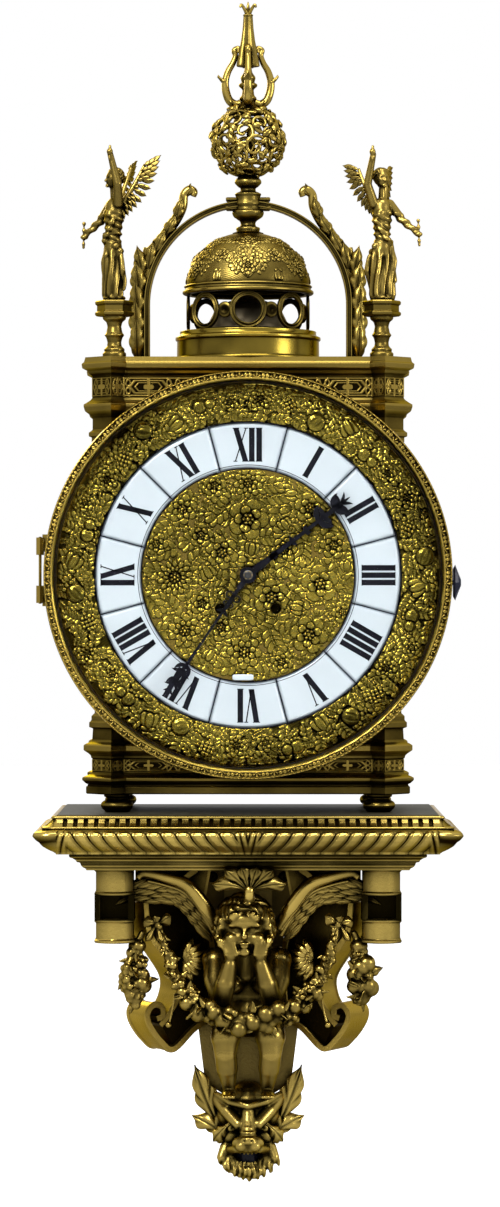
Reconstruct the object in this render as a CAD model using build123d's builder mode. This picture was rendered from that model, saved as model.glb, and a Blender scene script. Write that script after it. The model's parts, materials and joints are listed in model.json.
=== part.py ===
from build123d import *
import math
import os

os.makedirs("parts", exist_ok=True)

# A gilt brass clock standing on its own wall bracket. All sizes are in millimetres.
# X runs to the viewer's right, Y runs into the wall and Z runs up. The wall is the plane Y = 0,
# and the origin lies midway between the two wall screws.

# Heights
shelf_top = 59.0
case_bottom = 74.0
base_top = 134.4
cap_bottom = 364.5
frieze_top = 415.0
roof_top = 430.0
dial_height = 252.0

# Plan of the case: a plain rectangle with a square pier set diagonally on each corner
case_middle_y = -76.0
wall_half_width = 117.0
wall_half_depth = 54.4
pier_x = 111.0
pier_y = 48.5
pier_half_diagonal = 15.5
shaft_inset = -2.5
wall_thickness = 3.0
front_wall_y = case_middle_y - wall_half_depth
rear_wall_y = case_middle_y + wall_half_depth

# Dial and door, measured from the dial's centre
dial_sides = 48
bezel_radius = 164.0
sight_radius = 155.0
drum_radius = 158.0
numeral_ring_outer = 123.0
numeral_ring_inner = 86.2
plaque_gap = 0.7
door_back_y = -163.3
door_front_y = -183.0
glass_front_y = -174.0
glass_thickness = 2.0
dial_back_y = -158.0
hour_hand_length = 104.0
minute_hand_length = 119.0
hour_hand_angle = 52.5
minute_hand_angle = 214.5
winding_x = 22.5
winding_drop = 27.0

# Movement, measured from the dial's centre
movement_front_y = -146.0
movement_rear_y = -100.0
plate_thickness = 2.5
plate_radius = 58.0
plate_drop = 6.0
arbor_radius = 1.0
pivot_play = 0.05

# Dome and what stands on it
dome_radius = 51.5
gallery_bottom = 454.0
gallery_top = 484.6
dome_base = 492.6
dome_top = 537.5
arch_half_width = 86.2
arch_top = 562.7
ball_middle = 611.6
ball_radius = 29.0
tip_height = 728.0

# Bracket
shelf_half_width = 154.0
shelf_front_y = -165.0
arm_lean = 30.0
arm_root_x = 35.0
arm_root_y = -40.0

mirror_pair = (-1, 1)


def flat_shape(points, plane):
    """A closed outline through straight sides on a plane."""
    with BuildSketch(plane) as drawing:
        with BuildLine():
            Polyline(*points, close=True)
        make_face()
    return drawing.sketch


def upright_plane(x, y):
    """A plane facing the front, whose origin is on the floor line at x, y."""
    return Plane(origin=(x, y, 0), x_dir=(1, 0, 0), z_dir=(0, -1, 0))


def is_flat(corners):
    """Whether four corners lie in one plane."""
    first, second, third, fourth = [Vector(*corner) for corner in corners]
    across = (second - first).cross(third - first)
    return abs(across.dot(fourth - first)) < 1e-6 * max(1.0, across.length)


def flat_faced_loft(outlines):
    """A solid that joins each closed outline to the next by flat faces. All have as many corners."""
    faces = [Face(Wire.make_polygon([Vector(*corner) for corner in outlines[0]])),
             Face(Wire.make_polygon([Vector(*corner) for corner in outlines[-1]]))]
    corner_count = len(outlines[0])
    for lower, upper in zip(outlines[:-1], outlines[1:]):
        for index in range(corner_count):
            after = (index + 1) % corner_count
            side = [lower[index], lower[after], upper[after], upper[index]]
            if is_flat(side):
                panels = [side]
            else:
                panels = [side[:3], [side[0], side[2], side[3]]]
            for panel in panels:
                faces.append(Face(Wire.make_polygon([Vector(*corner) for corner in panel])))
    with BuildPart() as piece:
        add(Solid(Shell(faces)))
    return piece.part


def ring_of_corners(plane, across, along, sides, first_angle=0.0):
    """The corners of a many-sided oval on a plane."""
    corners = []
    for index in range(sides):
        angle = math.radians(first_angle) + 2 * math.pi * index / sides
        corner = plane.from_local_coords(Vector(across * math.cos(angle), along * math.sin(angle), 0))
        corners.append(tuple(corner))
    return corners


def flat_sided_turning(x, y, rows, sides):
    """A turned piece drawn with flat sides, from its height and radius pairs, lowest first."""
    return flat_faced_loft([ring_of_corners(Plane(origin=(x, y, height)), radius, radius, sides)
                            for height, radius in rows])


def flat_sided_ring(plane, profile, sides):
    """A ring from a closed profile of radius and height pairs above a plane, drawn with flat sides."""
    corners = [ring_of_corners(plane.offset(height), radius, radius, sides) for radius, height in profile]
    faces = []
    for before, here in zip(corners, corners[1:] + corners[:1]):
        for index in range(sides):
            after = (index + 1) % sides
            panel = [before[index], before[after], here[after], here[index]]
            faces.append(Face(Wire.make_polygon([Vector(*corner) for corner in panel])))
    with BuildPart() as piece:
        add(Solid(Shell(faces)))
    return piece.part


def ring_on_dial(profile):
    """A ring round the dial's centre from its closed profile of radius and depth pairs."""
    plane = Plane(origin=(0, 0, dial_height), x_dir=(1, 0, 0), z_dir=(0, -1, 0))
    return flat_sided_ring(plane, [(radius, -depth) for radius, depth in profile], dial_sides)


def arc_corners(start, through, end, count):
    """The corners of a run of short chords along the arc through three points, without its start."""
    arc = ThreePointArc(start, through, end, mode=Mode.PRIVATE)
    return [(point.X, point.Y) for point in (arc @ ((index + 1) / count) for index in range(count))]


def dial_plane(y):
    """The plane of the dial at a depth, seen from the front, with its origin at the centre."""
    return Plane(origin=(0, y, dial_height), x_dir=(1, 0, 0), z_dir=(0, -1, 0))


def case_plan(height, outset):
    """The case's outline at a height, moved outwards by the moulding's outset."""
    wall_x = wall_half_width + outset
    wall_y = wall_half_depth + outset
    reach = pier_half_diagonal + outset * math.sqrt(2)
    low_y = pier_y - (reach - (wall_x - pier_x))
    low_x = pier_x - (reach - (wall_y - pier_y))
    quarter = [(wall_x, low_y), (pier_x + reach, pier_y), (pier_x, pier_y + reach), (low_x, wall_y)]
    points = list(quarter)
    points += [(-x, y) for x, y in reversed(quarter)]
    points += [(-x, -y) for x, y in quarter]
    points += [(x, -y) for x, y in reversed(quarter)]
    return [(x, case_middle_y + y, height) for x, y in points]


def pier_plan(x_side, y_side, height, outset):
    """One diagonal pier's outline at a height."""
    reach = pier_half_diagonal + outset * math.sqrt(2)
    middle = Plane(origin=(x_side * pier_x, case_middle_y + y_side * pier_y, height))
    return ring_of_corners(middle, reach, reach, 4)


def stacked(plan, levels):
    """A moulded block whose outline changes from level to level."""
    return flat_faced_loft([plan(height, outset) for height, outset in levels])


def tapered_rod(start, end, start_radius, end_radius, sides=6):
    """A many-sided limb or stalk between two points."""
    run = (Vector(*end) - Vector(*start)).normalized()
    first = Plane(origin=start, z_dir=run)
    last = Plane(origin=end, x_dir=first.x_dir, z_dir=run)
    return flat_faced_loft([ring_of_corners(first, start_radius, start_radius, sides),
                            ring_of_corners(last, end_radius, end_radius, sides)])


def lump(middle, radii, sides=6):
    """A rounded many-sided lump, such as a head, a fruit or a muscle."""
    x, y, z = middle
    rows = ((-1.0, 0.35), (-0.55, 0.85), (0.1, 1.0), (0.65, 0.75), (1.0, 0.3))
    return flat_faced_loft([ring_of_corners(Plane(origin=(x, y, z + radii[2] * height_share)),
                                            radii[0] * radius_share, radii[1] * radius_share, sides)
                            for height_share, radius_share in rows])


def gear_outline(teeth, module, first_tooth_angle):
    """A wheel's outline with pointed clock teeth: each has one point at its tip and one at its root."""
    pitch_radius = teeth * module / 2
    tip_radius = pitch_radius + 0.8 * module
    root_radius = pitch_radius - 1.2 * module
    half_step = 180 / teeth
    points = []
    for index in range(2 * teeth):
        radius = root_radius if index % 2 else tip_radius
        turn = math.radians(first_tooth_angle + index * half_step)
        points.append((radius * math.cos(turn), radius * math.sin(turn)))
    return points


def gear(x, z, y_front, thickness, teeth, module, first_tooth_angle=0.0):
    """A toothed wheel standing square to the dial at x, z from the dial's centre."""
    plane = Plane(origin=(x, y_front, dial_height + z), x_dir=(1, 0, 0), z_dir=(0, -1, 0))
    with BuildPart() as piece:
        extrude(flat_shape(gear_outline(teeth, module, first_tooth_angle), plane), amount=-thickness)
    return piece.part


def rod_on_dial(x, z, y_front, y_back, radius, sides=12):
    """A flat-sided rod square to the dial at x, z from the dial's centre, inside its radius."""
    plane = Plane(origin=(x, y_front, dial_height + z), x_dir=(1, 0, 0), z_dir=(0, -1, 0))
    with BuildPart() as piece:
        with BuildSketch(plane):
            RegularPolygon(radius, sides)
        extrude(amount=-(y_back - y_front))
    return piece.part


def hole_on_dial(x, z, y_front, y_back, radius, sides=12):
    """The space of a flat-sided hole whose flats touch a circle of the given radius."""
    return rod_on_dial(x, z, y_front, y_back, radius / math.cos(math.pi / sides), sides)


# Shelf of the bracket: a stack of mouldings that return along both sides to the wall
def shelf_plan(height, outset):
    half = shelf_half_width + outset
    front = shelf_front_y - outset
    return [(-half, 0, height), (-half, front, height), (half, front, height), (half, 0, height)]


flute_bottom = 52.8
slab_bottom = 57.4
rim_bottom = 27.2
moulding_bottom = 12.8

with BuildPart() as shelf_board:
    add(stacked(shelf_plan, [(flute_bottom, 2.5), (slab_bottom, -1.0), (slab_bottom + 0.3, 0.0),
                             (shelf_top - 0.5, 0.0), (shelf_top, -0.5)]))
shelf_board.part.label = "shelf_board"
export_step(shelf_board.part, "parts/shelf_board.step")

with BuildPart() as gadrooned_rim:
    add(stacked(shelf_plan, [(rim_bottom, 2.0), (31.0, 6.0), (36.0, 13.0), (41.0, 18.5), (44.5, 20.0),
                             (47.5, 18.0), (49.6, 13.0), (flute_bottom, 12.0)]))
gadrooned_rim.part.label = "gadrooned_rim"
export_step(gadrooned_rim.part, "parts/gadrooned_rim.step")

with BuildPart() as under_moulding:
    add(stacked(shelf_plan, [(moulding_bottom, -24.0), (15.5, -22.0), (17.5, -17.0), (21.0, -16.0),
                             (22.0, -10.5), (26.0, -9.0), (rim_bottom, -10.0)]))
under_moulding.part.label = "under_moulding"
export_step(under_moulding.part, "parts/under_moulding.step")

# Back plate against the wall, with the stem that carries the arms, the child and the mask
screw_spacing = 60.0
screw_hole_radius = 2.6
back_plate_y = -8.0
stem_front_y = -43.0

with BuildPart() as bracket_back:
    plate_points = [(-62, moulding_bottom), (-52, -16), (-30, -30), (-30, -60), (-38, -100), (-42, -123),
                    (42, -123), (38, -100), (30, -60), (30, -30), (52, -16), (62, moulding_bottom)]
    extrude(flat_shape(plate_points, Plane.XZ), amount=-back_plate_y)
    stem_points = [(-20, moulding_bottom), (-20, -60), (-34, -100), (-42, -123.5), (-36, -172), (-20, -182),
                   (-14, -226), (14, -226), (20, -182), (36, -172), (42, -123.5), (34, -100),
                   (20, -60), (20, moulding_bottom)]
    extrude(flat_shape(stem_points, Plane.XZ), amount=-stem_front_y)
    with BuildSketch(Plane.XZ):
        with Locations((-screw_spacing / 2, 0), (screw_spacing / 2, 0)):
            Circle(screw_hole_radius)
    extrude(amount=-back_plate_y, mode=Mode.SUBTRACT)
bracket_back.part.label = "bracket_back"
export_step(bracket_back.part, "parts/bracket_back.step")


# Scroll arms: broad C scrolls that lean outwards from the stem towards the shelf's front corners
def arm_part(side):
    lean = math.radians(arm_lean)
    outward = (side * math.cos(lean), -math.sin(lean), 0)
    plane = Plane(origin=(side * arm_root_x, arm_root_y, 0), x_dir=outward,
                  z_dir=Vector(*outward).cross(Vector(0, 0, 1)))
    arm_half_thickness = 15.0
    with BuildPart() as piece:
        with BuildSketch(plane):
            with BuildLine():
                outline = [(62, 12), (24, 12)]
                for through, end in (((43, -8), (22, -29)), ((1, -62), (0, -99))):
                    outline += arc_corners(outline[-1], through, end, 6)
                outline += [(3, -119.4), (15, -119.4), (40, -142.6)]
                for through, end in (((56, -131), (66.7, -115.2)), ((58, -101.5), (46, -112.8)),
                                     ((32.3, -83.7), (54.3, -61.4)), ((60, -59), (66, -50))):
                    outline += arc_corners(outline[-1], through, end, 5)
                Polyline(*outline, close=True)
            make_face()
        extrude(amount=arm_half_thickness, both=True)
        with BuildSketch(plane):
            with Locations((56, -111.1)):
                RegularPolygon(4.0, 8)
        extrude(amount=arm_half_thickness + 3, both=True)
    return piece.part


with BuildPart() as scroll_arms:
    for side in mirror_pair:
        add(arm_part(side))
    add(bracket_back.part, mode=Mode.SUBTRACT)
    add(under_moulding.part, mode=Mode.SUBTRACT)
scroll_arms.part.label = "scroll_arms"
export_step(scroll_arms.part, "parts/scroll_arms.step")

# Corner rolls: two bowed bands under each front corner of the shelf, with a window between them
roll_width = 33.0
roll_outer_x = 126.0
roll_back_y = -74.0
roll_front_y = -122.0
roll_bow = 9.0
window_width = 20.0
window_depth = 14.0


def bowed_prism(side, inset, bottom, top):
    """An upright piece with a bowed front, under one corner of the shelf."""
    middle_x = side * (roll_outer_x - roll_width / 2)
    half_width = roll_width / 2 - inset
    corners = [(middle_x + half_width, roll_back_y), (middle_x - half_width, roll_back_y)]
    for share in (-1.0, -0.75, -0.5, -0.25, 0.0, 0.25, 0.5, 0.75, 1.0):
        bow = (roll_bow - inset) * (1 - share ** 2)
        corners.append((middle_x + share * half_width, roll_front_y + roll_bow - bow))
    with BuildPart() as piece:
        with BuildSketch(Plane(origin=(0, 0, bottom))):
            with BuildLine():
                Polyline(*corners, close=True)
            make_face()
        extrude(amount=top - bottom)
    return piece.part


with BuildPart() as corner_rolls:
    for side in mirror_pair:
        add(bowed_prism(side, 0.0, -10.0, moulding_bottom))
        add(bowed_prism(side, 2.0, -29.0, -10.0))
        add(bowed_prism(side, 0.0, -49.0, -29.0))
        middle_x = side * (roll_outer_x - roll_width / 2)
        with BuildSketch(Plane(origin=(middle_x, roll_front_y, -27.0))):
            Rectangle(window_width, 2 * window_depth)
        extrude(amount=15.0, mode=Mode.SUBTRACT)
    add(scroll_arms.part, mode=Mode.SUBTRACT)
corner_rolls.part.label = "corner_rolls"
export_step(corner_rolls.part, "parts/corner_rolls.step")

# Crest leaf over the child's head, hung from the under moulding
with BuildPart() as crest_leaf:
    add(tapered_rod((1, -147.6, 24), (1, -137, -6), 5.0, 3.0, 6))
    for across, drop in ((-27, 8), (-15, 2), (15, 2), (27, 8)):
        add(tapered_rod((1 + across * 0.2, -147, 12), (1 + across, -150, 6 + drop), 3.6, 2.0, 6))
    add(under_moulding.part, mode=Mode.SUBTRACT)
crest_leaf.part.label = "crest_leaf"
export_step(crest_leaf.part, "parts/crest_leaf.step")

# Child leaning on its elbows in front of the stem, chin in both hands
child_y = -88.0
with BuildPart() as putto:
    add(lump((-3, child_y - 8, -33), (23, 22, 25), 8))
    add(tapered_rod((-2, child_y + 8, -72), (-2, child_y - 6, -46), 12.0, 11.0))
    add(lump((0, child_y + 22, -92), (22, 24, 46), 8))
    for side in mirror_pair:
        shoulder = (side * 25 - 1, child_y + 10, -66)
        elbow = (side * 21 - 1, child_y - 14, -101)
        chin = (side * 9 - 2, child_y - 22, -56)
        add(tapered_rod(shoulder, elbow, 10.5, 8.0))
        add(tapered_rod(elbow, chin, 8.5, 6.0))
        add(lump(elbow, (9.0, 9.0, 9.0)))
        add(tapered_rod((side * 12, child_y + 26, -70), shoulder, 13.0, 10.5))
        add(tapered_rod((side * 17, child_y + 20, -120), (side * 20, child_y + 20, -150), 15.5, 12.0))
        add(tapered_rod((side * 20, child_y + 20, -150), (side * 20, child_y + 22, -172), 12.0, 8.0))
        add(lump((side * 20, child_y + 14, -175), (9.5, 13.0, 5.0)))
    add(bracket_back.part, mode=Mode.SUBTRACT)
putto.part.label = "putto"
export_step(putto.part, "parts/putto.step")

# Wings rising from the child's shoulders to the underside of the shelf
with BuildPart() as putto_wings:
    for side in mirror_pair:
        rows = ((25, 82, -46, 14, 5), (42, 90, -20, 13, 5), (64, 95, -5, 10, 4), (91, 100, 4, 6, 4))
        sections = []
        for across, depth, height, half_height, half_depth in rows:
            plane = Plane(origin=(side * across, -depth, height), x_dir=(0, 1, 0), z_dir=(side, 0, 0.25))
            sections.append(ring_of_corners(plane, half_depth, half_height, 6, 30))
        add(flat_faced_loft(sections))
    for neighbour in (scroll_arms, bracket_back, under_moulding, putto, corner_rolls):
        add(neighbour.part, mode=Mode.SUBTRACT)
putto_wings.part.label = "putto_wings"
export_step(putto_wings.part, "parts/putto_wings.step")

# Garland hung in front of the child from bows on both arms, with a bunch of fruit below each bow
garland_points = [(74, -104, -32), (60, -104, -66), (44, -106, -96), (24, -112, -117), (0, -114, -125)]
garland_radii = [5.0, 7.0, 9.5, 11.5, 13.0]
garland_sides = 6


def garland_half(side):
    """Half of the garland as one swelling loft from its bow to the middle."""
    path = [Vector(side * x, y, z) for x, y, z in garland_points]
    sections = []
    for index, radius in enumerate(garland_radii):
        before = path[max(index - 1, 0)]
        after = path[min(index + 1, len(path) - 1)]
        heading = Vector(-side, 0, 0) if index == len(path) - 1 else after - before
        plane = Plane(origin=path[index], x_dir=(0, 1, 0), z_dir=heading.normalized())
        sections.append(ring_of_corners(plane, radius, radius, garland_sides))
    return flat_faced_loft(sections)


with BuildPart() as garland:
    for side in mirror_pair:
        add(garland_half(side))
        add(tapered_rod((side * 70, -101, -30), (side * 86, -102, -50), 7.0, 3.5))
        add(flat_sided_turning(side * 94, -102, [(-103, 5.0), (-93, 14.0), (-80, 15.5), (-70, 10.0), (-62, 6.0),
                                                 (-46, 8.0)], 8))
    for neighbour in (putto, scroll_arms, bracket_back, putto_wings, corner_rolls):
        add(neighbour.part, mode=Mode.SUBTRACT)
garland.part.label = "garland"
export_step(garland.part, "parts/garland.step")

# Grotesque beast's head that ends the bracket, between two pairs of leaves
with BuildPart() as mask:
    rows = ((-252, 8, 10), (-240, 19, 20), (-226, 21, 26), (-210, 18, 30), (-196, 21, 28), (-184, 20, 22),
            (-180.5, 15, 16))
    add(flat_faced_loft([ring_of_corners(Plane(origin=(0, -56, height)), half_width, half_depth, 10)
                         for height, half_width, half_depth in rows]))
    with BuildSketch(Plane.XZ.offset(95)):
        with Locations((0, -236)):
            Rectangle(22, 7)
    extrude(amount=-26, mode=Mode.SUBTRACT)
    for side in mirror_pair:
        add(tapered_rod((side * 14, -58, -190), (side * 22, -60, -176), 6.0, 2.0, 6))
        leaf_plane = Plane(origin=(0, -30, 0), x_dir=(side, 0, 0), z_dir=(0, -side, 0))
        leaf_points = [(12, -224), (20, -224), (30, -208), (37, -199), (33, -192), (42, -182), (47, -156),
                       (38, -160), (31, -178), (12, -190)]
        extrude(flat_shape(leaf_points, leaf_plane), amount=side * 26.0)
    add(bracket_back.part, mode=Mode.SUBTRACT)
    add(putto.part, mode=Mode.SUBTRACT)
mask.part.label = "mask"
export_step(mask.part, "parts/mask.step")

# Case of the clock, from the feet up
foot_x = 107.0
foot_inset_y = 44.5
foot_rows = [(shelf_top, 9.0), (shelf_top + 3.5, 13.0), (shelf_top + 7.5, 13.0), (shelf_top + 11.5, 8.5),
             (case_bottom, 10.0)]
with BuildPart() as bun_feet:
    for x_side in mirror_pair:
        for y_side in mirror_pair:
            add(flat_sided_turning(x_side * foot_x, case_middle_y + y_side * foot_inset_y, foot_rows, 10))
bun_feet.part.label = "bun_feet"
export_step(bun_feet.part, "parts/bun_feet.step")

inner_half_width = wall_half_width - 8.0
inner_half_depth = wall_half_depth - 8.0
base_levels = [(case_bottom, 4.0), (81.0, 4.0), (82.0, 3.0), (85.0, 6.3), (87.0, 6.3), (91.0, 0.8), (91.6, 0.0),
               (102.7, 0.0), (105.0, 1.2), (110.5, 5.5), (114.0, 5.5), (118.0, 0.4), (127.5, 0.0),
               (128.6, 2.4), (132.4, 2.4), (base_top, 1.0)]
with BuildPart() as base_plinth:
    add(stacked(case_plan, base_levels))
    with BuildSketch(Plane(origin=(0, case_middle_y, case_bottom + 6))):
        Rectangle(2 * inner_half_width - 30, 2 * inner_half_depth)
    extrude(amount=base_top, mode=Mode.SUBTRACT)
base_plinth.part.label = "base_plinth"
export_step(base_plinth.part, "parts/base_plinth.step")

with BuildPart() as corner_piers:
    for x_side in mirror_pair:
        for y_side in mirror_pair:
            levels = [(base_top, 1.0), (138.0, 1.0), (141.0, shaft_inset), (358.0, shaft_inset), (361.0, 0.2),
                      (cap_bottom, 0.2)]
            add(flat_faced_loft([pier_plan(x_side, y_side, height, outset) for height, outset in levels]))
corner_piers.part.label = "corner_piers"
export_step(corner_piers.part, "parts/corner_piers.step")

wall_height = cap_bottom - base_top
dial_opening = 100.0
with BuildPart() as front_plate:
    with BuildSketch(Plane(origin=(0, front_wall_y + wall_thickness / 2, base_top))):
        Rectangle(2 * pier_x, wall_thickness)
    extrude(amount=wall_height)
    with BuildSketch(dial_plane(front_wall_y)):
        RegularPolygon(dial_opening, dial_sides)
    extrude(amount=-2 * wall_thickness, mode=Mode.SUBTRACT)
    add(corner_piers.part, mode=Mode.SUBTRACT)
front_plate.part.label = "front_plate"
export_step(front_plate.part, "parts/front_plate.step")

# Side panels with a raised border round a sunk field
side_panel_length = 2 * pier_y


def side_panel(side):
    middle_x = side * (wall_half_width - wall_thickness / 2)
    with BuildPart() as piece:
        with BuildSketch(Plane(origin=(middle_x, case_middle_y, base_top))):
            Rectangle(wall_thickness, side_panel_length)
        extrude(amount=wall_height)
        face_plane = Plane(origin=(side * wall_half_width, case_middle_y, base_top + wall_height / 2),
                           x_dir=(0, side, 0), z_dir=(side, 0, 0))
        with BuildSketch(face_plane):
            Rectangle(side_panel_length - 34, wall_height - 24)
        extrude(amount=-1.2, mode=Mode.SUBTRACT)
        add(corner_piers.part, mode=Mode.SUBTRACT)
    return piece.part


with BuildPart() as side_panels:
    for side in mirror_pair:
        add(side_panel(side))
side_panels.part.label = "side_panels"
export_step(side_panels.part, "parts/side_panels.step")

# Rear frame and its door, which swings on two pins at the left seen from the front
door_half_width = 72.0
door_bottom = 150.0
door_top = 350.0
door_gap = 0.6
rear_hinge_x = -(door_half_width + 3.0)
rear_hinge_y = rear_wall_y + 3.6
rear_pin_radius = 1.5
rear_knuckle_radius = 3.2
knuckle_rows = ((170.0, 14.0), (316.0, 14.0))
knuckle_sides = 12


def upright_prism(x, y, bottom, length, radius):
    """A flat-sided upright rod, such as a hinge knuckle or its pin."""
    with BuildPart() as piece:
        with BuildSketch(Plane(origin=(x, y, bottom))):
            RegularPolygon(radius, knuckle_sides)
        extrude(amount=length)
    return piece.part


def upright_block(x_low, x_high, y_low, y_high, bottom, length):
    with BuildPart() as piece:
        with BuildSketch(Plane(origin=((x_low + x_high) / 2, (y_low + y_high) / 2, bottom))):
            Rectangle(x_high - x_low, y_high - y_low)
        extrude(amount=length)
    return piece.part


with BuildPart() as rear_frame:
    with BuildSketch(Plane(origin=(0, rear_wall_y - wall_thickness / 2, base_top))):
        Rectangle(2 * pier_x, wall_thickness)
    extrude(amount=wall_height)
    with BuildSketch(Plane(origin=(0, rear_wall_y - wall_thickness / 2, door_bottom))):
        Rectangle(2 * door_half_width, 3 * wall_thickness)
    extrude(amount=door_top - door_bottom, mode=Mode.SUBTRACT)
    add(corner_piers.part, mode=Mode.SUBTRACT)
    for bottom, length in knuckle_rows:
        add(upright_prism(rear_hinge_x, rear_hinge_y, bottom - 6, 5.6, rear_knuckle_radius))
        add(upright_block(rear_hinge_x - 3, rear_hinge_x + 2.5, rear_wall_y - 1, rear_hinge_y, bottom - 6, 5.6))
        add(upright_prism(rear_hinge_x, rear_hinge_y, bottom - 6, length + 8, rear_pin_radius))
rear_frame.part.label = "rear_frame"
export_step(rear_frame.part, "parts/rear_frame.step")

knob_x = door_half_width - 9.0
with BuildPart() as rear_door:
    with BuildSketch(Plane(origin=(0, rear_wall_y - wall_thickness / 2, door_bottom + door_gap))):
        Rectangle(2 * (door_half_width - door_gap), wall_thickness)
    extrude(amount=door_top - door_bottom - 2 * door_gap)
    for bottom, length in knuckle_rows:
        add(upright_prism(rear_hinge_x, rear_hinge_y, bottom, length, rear_knuckle_radius))
        leaf_end = rear_hinge_x + 14
        leaf_front_y = rear_hinge_y + 3.0
        add(upright_block(rear_hinge_x, leaf_end, rear_hinge_y + 0.6, leaf_front_y, bottom, length))
        add(upright_block(rear_hinge_x + 9, leaf_end, rear_wall_y - 1, leaf_front_y, bottom, length))
        hole_radius = (rear_pin_radius + pivot_play) / math.cos(math.pi / knuckle_sides)
        add(upright_prism(rear_hinge_x, rear_hinge_y, bottom, length, hole_radius), mode=Mode.SUBTRACT)
    rear_face = Plane(origin=(0, rear_wall_y, (door_top + door_bottom) / 2), x_dir=(1, 0, 0), z_dir=(0, 1, 0))
    with BuildSketch(rear_face):
        Rectangle(2 * door_half_width - 40, door_top - door_bottom - 40)
    extrude(amount=-1.0, mode=Mode.SUBTRACT)
    add(rod_on_dial(knob_x, 0, rear_wall_y - 1, rear_wall_y + 3, 4.0))
    add(rod_on_dial(knob_x, 0, rear_wall_y + 3, rear_wall_y + 7, 6.5))
rear_door.part.label = "rear_door"
export_step(rear_door.part, "parts/rear_door.step")

with BuildPart() as entablature:
    add(stacked(case_plan, [(cap_bottom, 0.6), (366.0, 2.1), (369.0, 2.1), (371.0, -2.0), (386.0, -2.0),
                            (388.0, 0.5), (392.0, 3.0), (396.0, 3.0), (400.5, 0.4), (frieze_top, 0.4)]))
    with BuildSketch(Plane(origin=(0, case_middle_y, cap_bottom))):
        Rectangle(2 * inner_half_width - 30, 2 * inner_half_depth)
    extrude(amount=frieze_top - cap_bottom, mode=Mode.SUBTRACT)
entablature.part.label = "entablature"
export_step(entablature.part, "parts/entablature.step")

hammer_slot = (12.0, 30.0)
hammer_y = -88.0
with BuildPart() as cornice:
    add(stacked(case_plan, [(frieze_top, 0.8), (417.0, 2.5), (421.0, 6.6), (424.5, 6.8),
                            (426.5, 5.0), (roof_top, 4.6)]))
    with BuildSketch(Plane(origin=(0, case_middle_y, frieze_top))):
        Rectangle(2 * inner_half_width - 30, 2 * inner_half_depth)
    extrude(amount=roof_top - 3 - frieze_top, mode=Mode.SUBTRACT)
    with BuildSketch(Plane(origin=(0, hammer_y, roof_top - 4))):
        Rectangle(hammer_slot[1], hammer_slot[0])
    extrude(amount=5, mode=Mode.SUBTRACT)
cornice.part.label = "cornice"
export_step(cornice.part, "parts/cornice.step")

# Drum behind the door: a pan with a neck that stands on the front plate
with BuildPart() as dial_drum:
    for rise in (-20.0, 24.0):
        with BuildSketch(Plane(origin=(-161, -152, dial_height + 4 + rise - 9))):
            Rectangle(10, 8)
        extrude(amount=14)
    with BuildSketch(dial_plane(-170)):
        Circle(drum_radius - 1.0)
    extrude(amount=-24, mode=Mode.SUBTRACT)
    add(ring_on_dial([(dial_opening, front_wall_y), (103, front_wall_y), (103, -142), (drum_radius, -142),
                      (drum_radius, -163), (155.5, -163), (155.5, -144.5), (dial_opening, -144.5)]))
dial_drum.part.label = "dial_drum"
export_step(dial_drum.part, "parts/dial_drum.step")

# Dome, gallery and bell over the roof
dome_sides = 28
with BuildPart() as dome_drum:
    add(flat_sided_ring(Plane(origin=(0, case_middle_y, 0)),
                        [(50, roof_top), (60.4, roof_top), (60.4, 450), (56.7, 450.5),
                         (56.7, gallery_bottom), (46, gallery_bottom), (46, 450), (50, 446)], dome_sides))
dome_drum.part.label = "dome_drum"
export_step(dome_drum.part, "parts/dome_drum.step")

# Gallery: eight rings stand on edge round the bell, with a small disc between each two
gallery_radius = 50.0
gallery_thickness = 2.2
ring_outer = (gallery_top - gallery_bottom) / 2
ring_hole = 11.0
disc_radius = 6.6
gallery_middle = (gallery_bottom + gallery_top) / 2
with BuildPart() as gallery:
    for index in range(16):
        turn = math.radians(index * 22.5 - 90)
        plane = Plane(origin=(gallery_radius * math.cos(turn), case_middle_y + gallery_radius * math.sin(turn),
                              gallery_middle),
                      x_dir=(-math.sin(turn), math.cos(turn), 0), z_dir=(math.cos(turn), math.sin(turn), 0))
        with BuildSketch(plane):
            if index % 2:
                RegularPolygon(disc_radius, 6)
            else:
                RegularPolygon(ring_outer, 12, major_radius=False, rotation=15)
                RegularPolygon(ring_hole, 12, major_radius=False, rotation=15, mode=Mode.SUBTRACT)
        extrude(amount=-gallery_thickness)
gallery.part.label = "gallery"
export_step(gallery.part, "parts/gallery.step")

with BuildPart() as dome:
    dome_rise = dome_top - dome_base
    rows = [(gallery_top, 54.2), (487.5, 54.2), (489.0, 52.5), (dome_base, dome_radius)]
    hollow = [(gallery_top - 1, 48.0), (dome_base, 48.0)]
    for share in (22, 42, 60, 72):
        turn = math.radians(share)
        rows.append((dome_base + dome_rise * math.sin(turn), dome_radius * math.cos(turn)))
    rows.append((dome_top, 9.0))
    for share in (30, 60):
        turn = math.radians(share)
        hollow.append((dome_base + (dome_rise - 4) * math.sin(turn), (dome_radius - 4) * math.cos(turn)))
    add(flat_sided_turning(0, case_middle_y, rows, dome_sides))
    add(flat_sided_turning(0, case_middle_y, hollow, dome_sides // 2), mode=Mode.SUBTRACT)
dome.part.label = "dome"
export_step(dome.part, "parts/dome.step")

bell_sides = 16
with BuildPart() as bell:
    add(flat_sided_turning(0, case_middle_y, [(456, 35.0), (464, 32.0), (474, 26.0), (480, 14.0)], bell_sides))
    add(flat_sided_turning(0, case_middle_y, [(455, 33.0), (464, 29.5), (473, 23.0), (477.5, 12.0)],
                           bell_sides), mode=Mode.SUBTRACT)
    add(flat_sided_turning(0, case_middle_y, [(479, 4.5), (534, 3.0)], 8))
    add(dome.part, mode=Mode.SUBTRACT)
bell.part.label = "bell"
export_step(bell.part, "parts/bell.step")

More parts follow.
